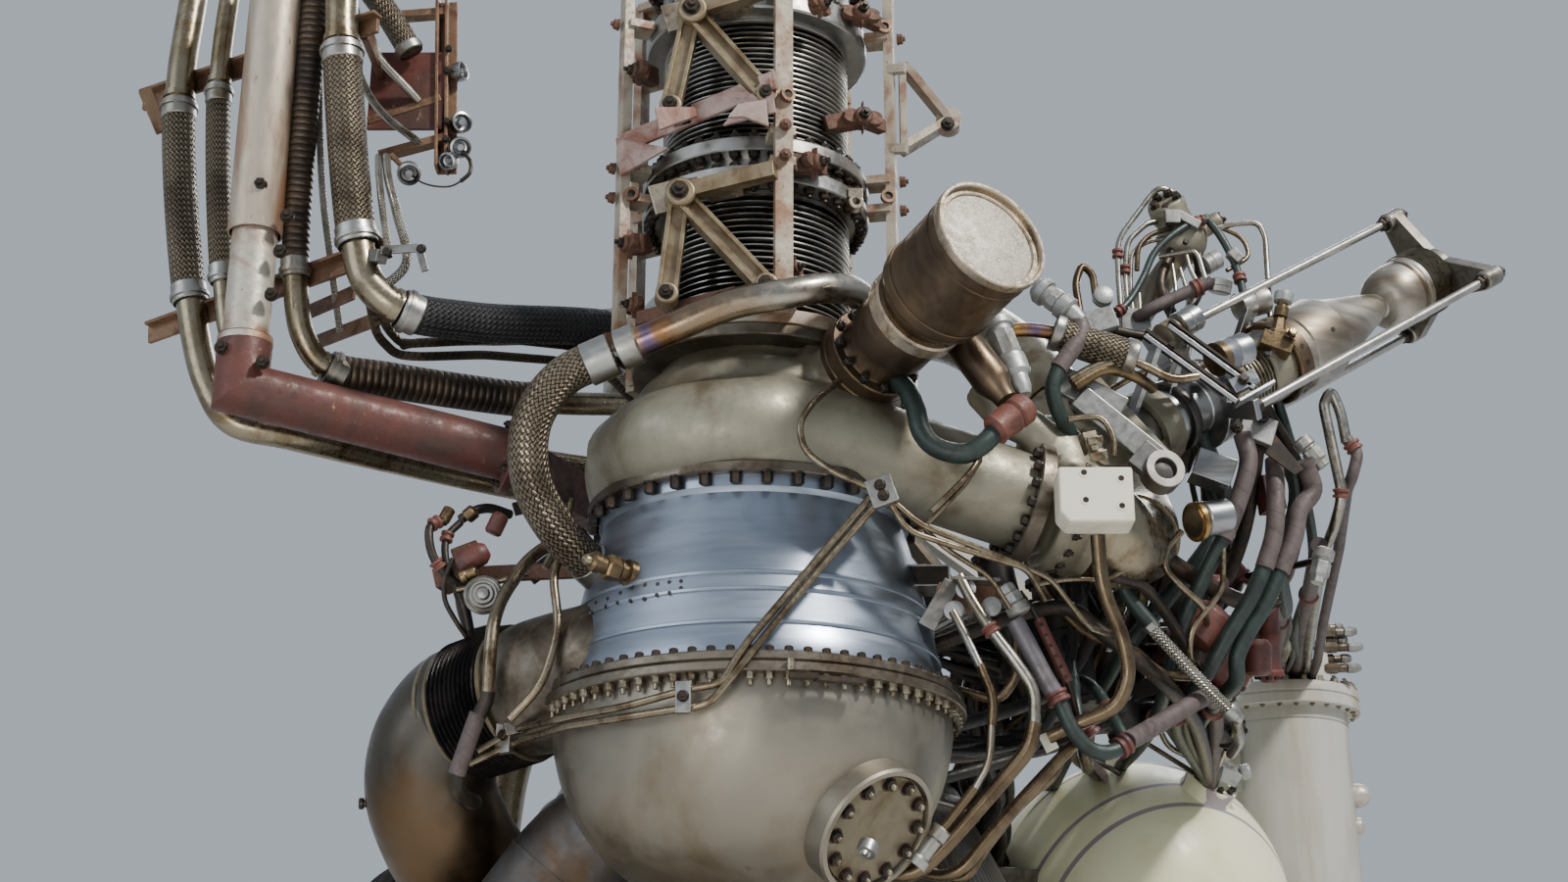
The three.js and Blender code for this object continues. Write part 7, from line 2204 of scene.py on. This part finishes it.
SPHERE_TUBES = [
    ("pipe_plain", 6.0, 26, (), [
        over_boss(22, -6, 10), seen(1192, 762, 60), seen(1184, 746, 20), seen(1180, 728, -40)]),
    ("pipe_plain", 6.5, 26, (), [
        over_boss(24, 20, 14), seen(1226, 770, 40), seen(1240, 762, 0), seen(1258, 756, -60),
        seen(1262, 745, -200), seen(1258, 730, -480)]),
    ("tube_dark", 5.0, 20, (), [
        over_boss(10, -30, 0), seen(1160, 752, 40), seen(1150, 738, -40), seen(1130, 726, -200)]),
]
SEAM_STEPS = 40
# Connectors on the tank's lid plate: height over the lid, length, and mm back from its front edge
TANK_CONNECTORS = [(26, 74, 0), (50, 58, 14), (72, 82, 0), (92, 54, 16), (106, 72, 0), (118, 46, 12)]
CONNECTOR_RUN = (1, 0.1, 0.05)
# Caps on the tank's side: angle round it, height, radius and how far they stand out
TANK_CAPS = [(-0.25, 2136, 26, 33), (-0.25, 2071, 18, 16)]
TANK_RADIUS = 143


def build_sphere_extras():
    parts = [block(over_boss(16, 18, 12), (44, 30, 40), (0.8, 0.3, -0.3), BOSS_AXIS),
             lathe([(13, 0), (15, 3), (15, 16), (11, 20)], 24, over_boss(14, 44, 16), (1, -0.2, 0.2))]
    build("boss_connector", "wrap_white", *parts, bevel=2.0)
    build_tubes("sphere", SPHERE_TUBES)
    seam = []
    for i in range(SEAM_STEPS + 1):
        angle = math.radians(196.0 + 120.0 * i / SEAM_STEPS)
        out = Vector((math.cos(angle), -0.35, -math.sin(angle))).normalized()
        seam.append(SPHERE_CENTRE + out * (SPHERE_RADIUS + 0.3))
    build("sphere_seam", "tank", sweep(seam, 2.0, 8))
    tab_place = SPHERE_CENTRE + Vector((-0.18, -0.42, 0.89)).normalized() * SPHERE_RADIUS
    outline = [(-26, -8), (26, -8), (22, 26), (12, 36), (-12, 36), (-22, 26)]
    build("sphere_tab", "cream", prism(outline, 7, tab_place, (1, 0.2, 0.1), (-0.2, -0.4, 0.9)), bevel=1.5)
    # Dark rod in the tab's hole: painted shade in it
    build("sphere_tab_hole_shade", "bolt",
          lathe([(7, -1), (7, 8)], 20, tab_place + Vector((-2, -5, 18)), (0.1, -0.9, -0.4)))
    lid = TANK_CENTRE + UP * TANK_TOP
    plate = prism([(0, 0), (31, 0), (27, 130), (22, 138), (5, 100)], 6, lid + Vector((47, -150, 0)),
                  (1, 0.1, 0), UP)
    build("tank_plate", "tank", plate, bevel=1.0)
    nuts = []
    tips = []
    for rise, reach, back in TANK_CONNECTORS:
        start = lid + Vector((74, -150 + back, rise))
        nuts += [lathe([(9, -6), (12, 0), (12, reach * 0.3)], 6, start, CONNECTOR_RUN),
                 lathe([(7, reach * 0.3), (9, reach * 0.34), (9, reach * 0.56), (7, reach * 0.6)], 20, start,
                       CONNECTOR_RUN)]
        tips.append(lathe([(10, reach * 0.6), (11, reach * 0.64), (11, reach * 0.86), (7, reach)], 6, start,
                          CONNECTOR_RUN))
    build("tank_connectors", "flange", *nuts)
    build("tank_tips", "polished_dull", *tips)
    wires = [sweep(smooth_route([lid + Vector((52, -144, r)), lid + Vector((30, -124, r - 10)),
                                 lid + Vector((0, -100, r * 0.4)), lid + Vector((-14, -90, -2))], 8.0), 4.0,
                   8) for r in (24, 48, 74, 96, 112)]
    build("tank_wires", "green", *wires)
    caps = [lathe([(wide, -8), (wide, tall * 0.2), (wide * 0.92, tall * 0.6), (wide * 0.6, tall * 0.9),
                   (2, tall)], 32,
                  TANK_CENTRE + Vector((TANK_RADIUS * math.cos(a), TANK_RADIUS * math.sin(a), z)),
                  (math.cos(a), math.sin(a), 0)) for a, z, wide, tall in TANK_CAPS]
    build("tank_caps", "galvanised_rust", *caps)
    frame_bars = [bar(TANK_CENTRE + Vector((113, 92, 1660)), TANK_CENTRE + Vector((113, 92, 2060)), 12, 8,
                      (1, 1, 0)),
                  bar(TANK_CENTRE + Vector((-66, 130, 1670)), TANK_CENTRE + Vector((-66, 130, 2240)), 30,
                      10, (1, 0, 0))]
    build("tank_straps", "tank", *frame_bars, bevel=1.0)


# Stage: pale floor, soft lights and the camera

def make_stage():
    """A pale floor at the height of the nozzle's rim."""
    mesh = bpy.data.meshes.new("floor")
    reach, level = 14.0, -GIMBAL_FACE / 1000.0
    mesh.from_pydata([(-reach, -reach, level), (reach, -reach, level), (reach, reach, level),
                      (-reach, reach, level)], [], [(0, 1, 2, 3)])
    floor = bpy.data.objects.new("floor", mesh)
    bpy.context.scene.collection.objects.link(floor)
    surface = Nodes("pale_floor")
    surface.shader.inputs["Base Color"].default_value = tone(226, 225, 222)
    surface.shader.inputs["Roughness"].default_value = 0.8
    mesh.materials.append(surface.material)


# Soft lights: place in metres, size, power in watts and colour
LIGHTS = {
    "key": ((4.0, -4.4, 3.9), 0.9, 760.0, (1.0, 0.97, 0.92)),
    "fill": ((-5.0, -4.5, 0.4), 4.0, 120.0, (0.9, 0.95, 1.0)),
    "back": ((2.0, 5.0, 3.0), 3.0, 240.0, (1.0, 1.0, 1.0)),
    "low": ((-1.2, -4.6, -2.2), 1.6, 45.0, (1.0, 0.97, 0.93)),
}
LIGHT_TARGET = Vector((0.0, -0.4, -1.2))


def make_lights():
    """A soft sky and the lamps."""
    world = bpy.data.worlds.new("studio")
    bpy.context.scene.world = world
    world.use_nodes = True
    backdrop = world.node_tree.nodes["Background"]
    backdrop.inputs["Color"].default_value = tone(206, 216, 228)
    backdrop.inputs["Strength"].default_value = 0.7
    for name, (place, size, power, colour) in LIGHTS.items():
        lamp = bpy.data.lights.new(name, "AREA")
        lamp.size = size
        lamp.energy = power
        lamp.color = colour
        holder = bpy.data.objects.new(name, lamp)
        holder.location = place
        aim = LIGHT_TARGET - Vector(place)
        holder.rotation_euler = aim.to_track_quat("-Z", "Y").to_euler()
        bpy.context.scene.collection.objects.link(holder)


def make_camera():
    """The photograph's camera."""
    camera = bpy.data.cameras.new("camera")
    camera.lens = CAMERA_LENS
    camera.sensor_width = SENSOR_WIDTH
    holder = bpy.data.objects.new("camera", camera)
    holder.location = in_frame(CAMERA_PLACE)
    holder.rotation_euler = (math.pi / 2.0 + CAMERA_PITCH, 0.0, 0.0)
    bpy.context.scene.collection.objects.link(holder)
    bpy.context.scene.camera = holder


# Everything is made here, in this order
for make in (
    dress_nodes, build_nozzle, build_bowl, build_turbine_flange, build_casing, build_volute,
    build_inlet, build_can, build_bleed, build_hot_gas, build_discharge, build_junction_box,
    build_actuator, build_spider, build_sphere, build_tank, build_lines, build_post, build_manifolds,
    build_chamber, build_fuel_side, build_twin_tubes, build_casing_details, build_left_cluster,
    build_under_can, build_cage_details, build_panel, build_harness, build_side_tubes, build_cluster,
    build_shade, build_sphere_extras, make_stage, make_lights, make_camera):
    make()
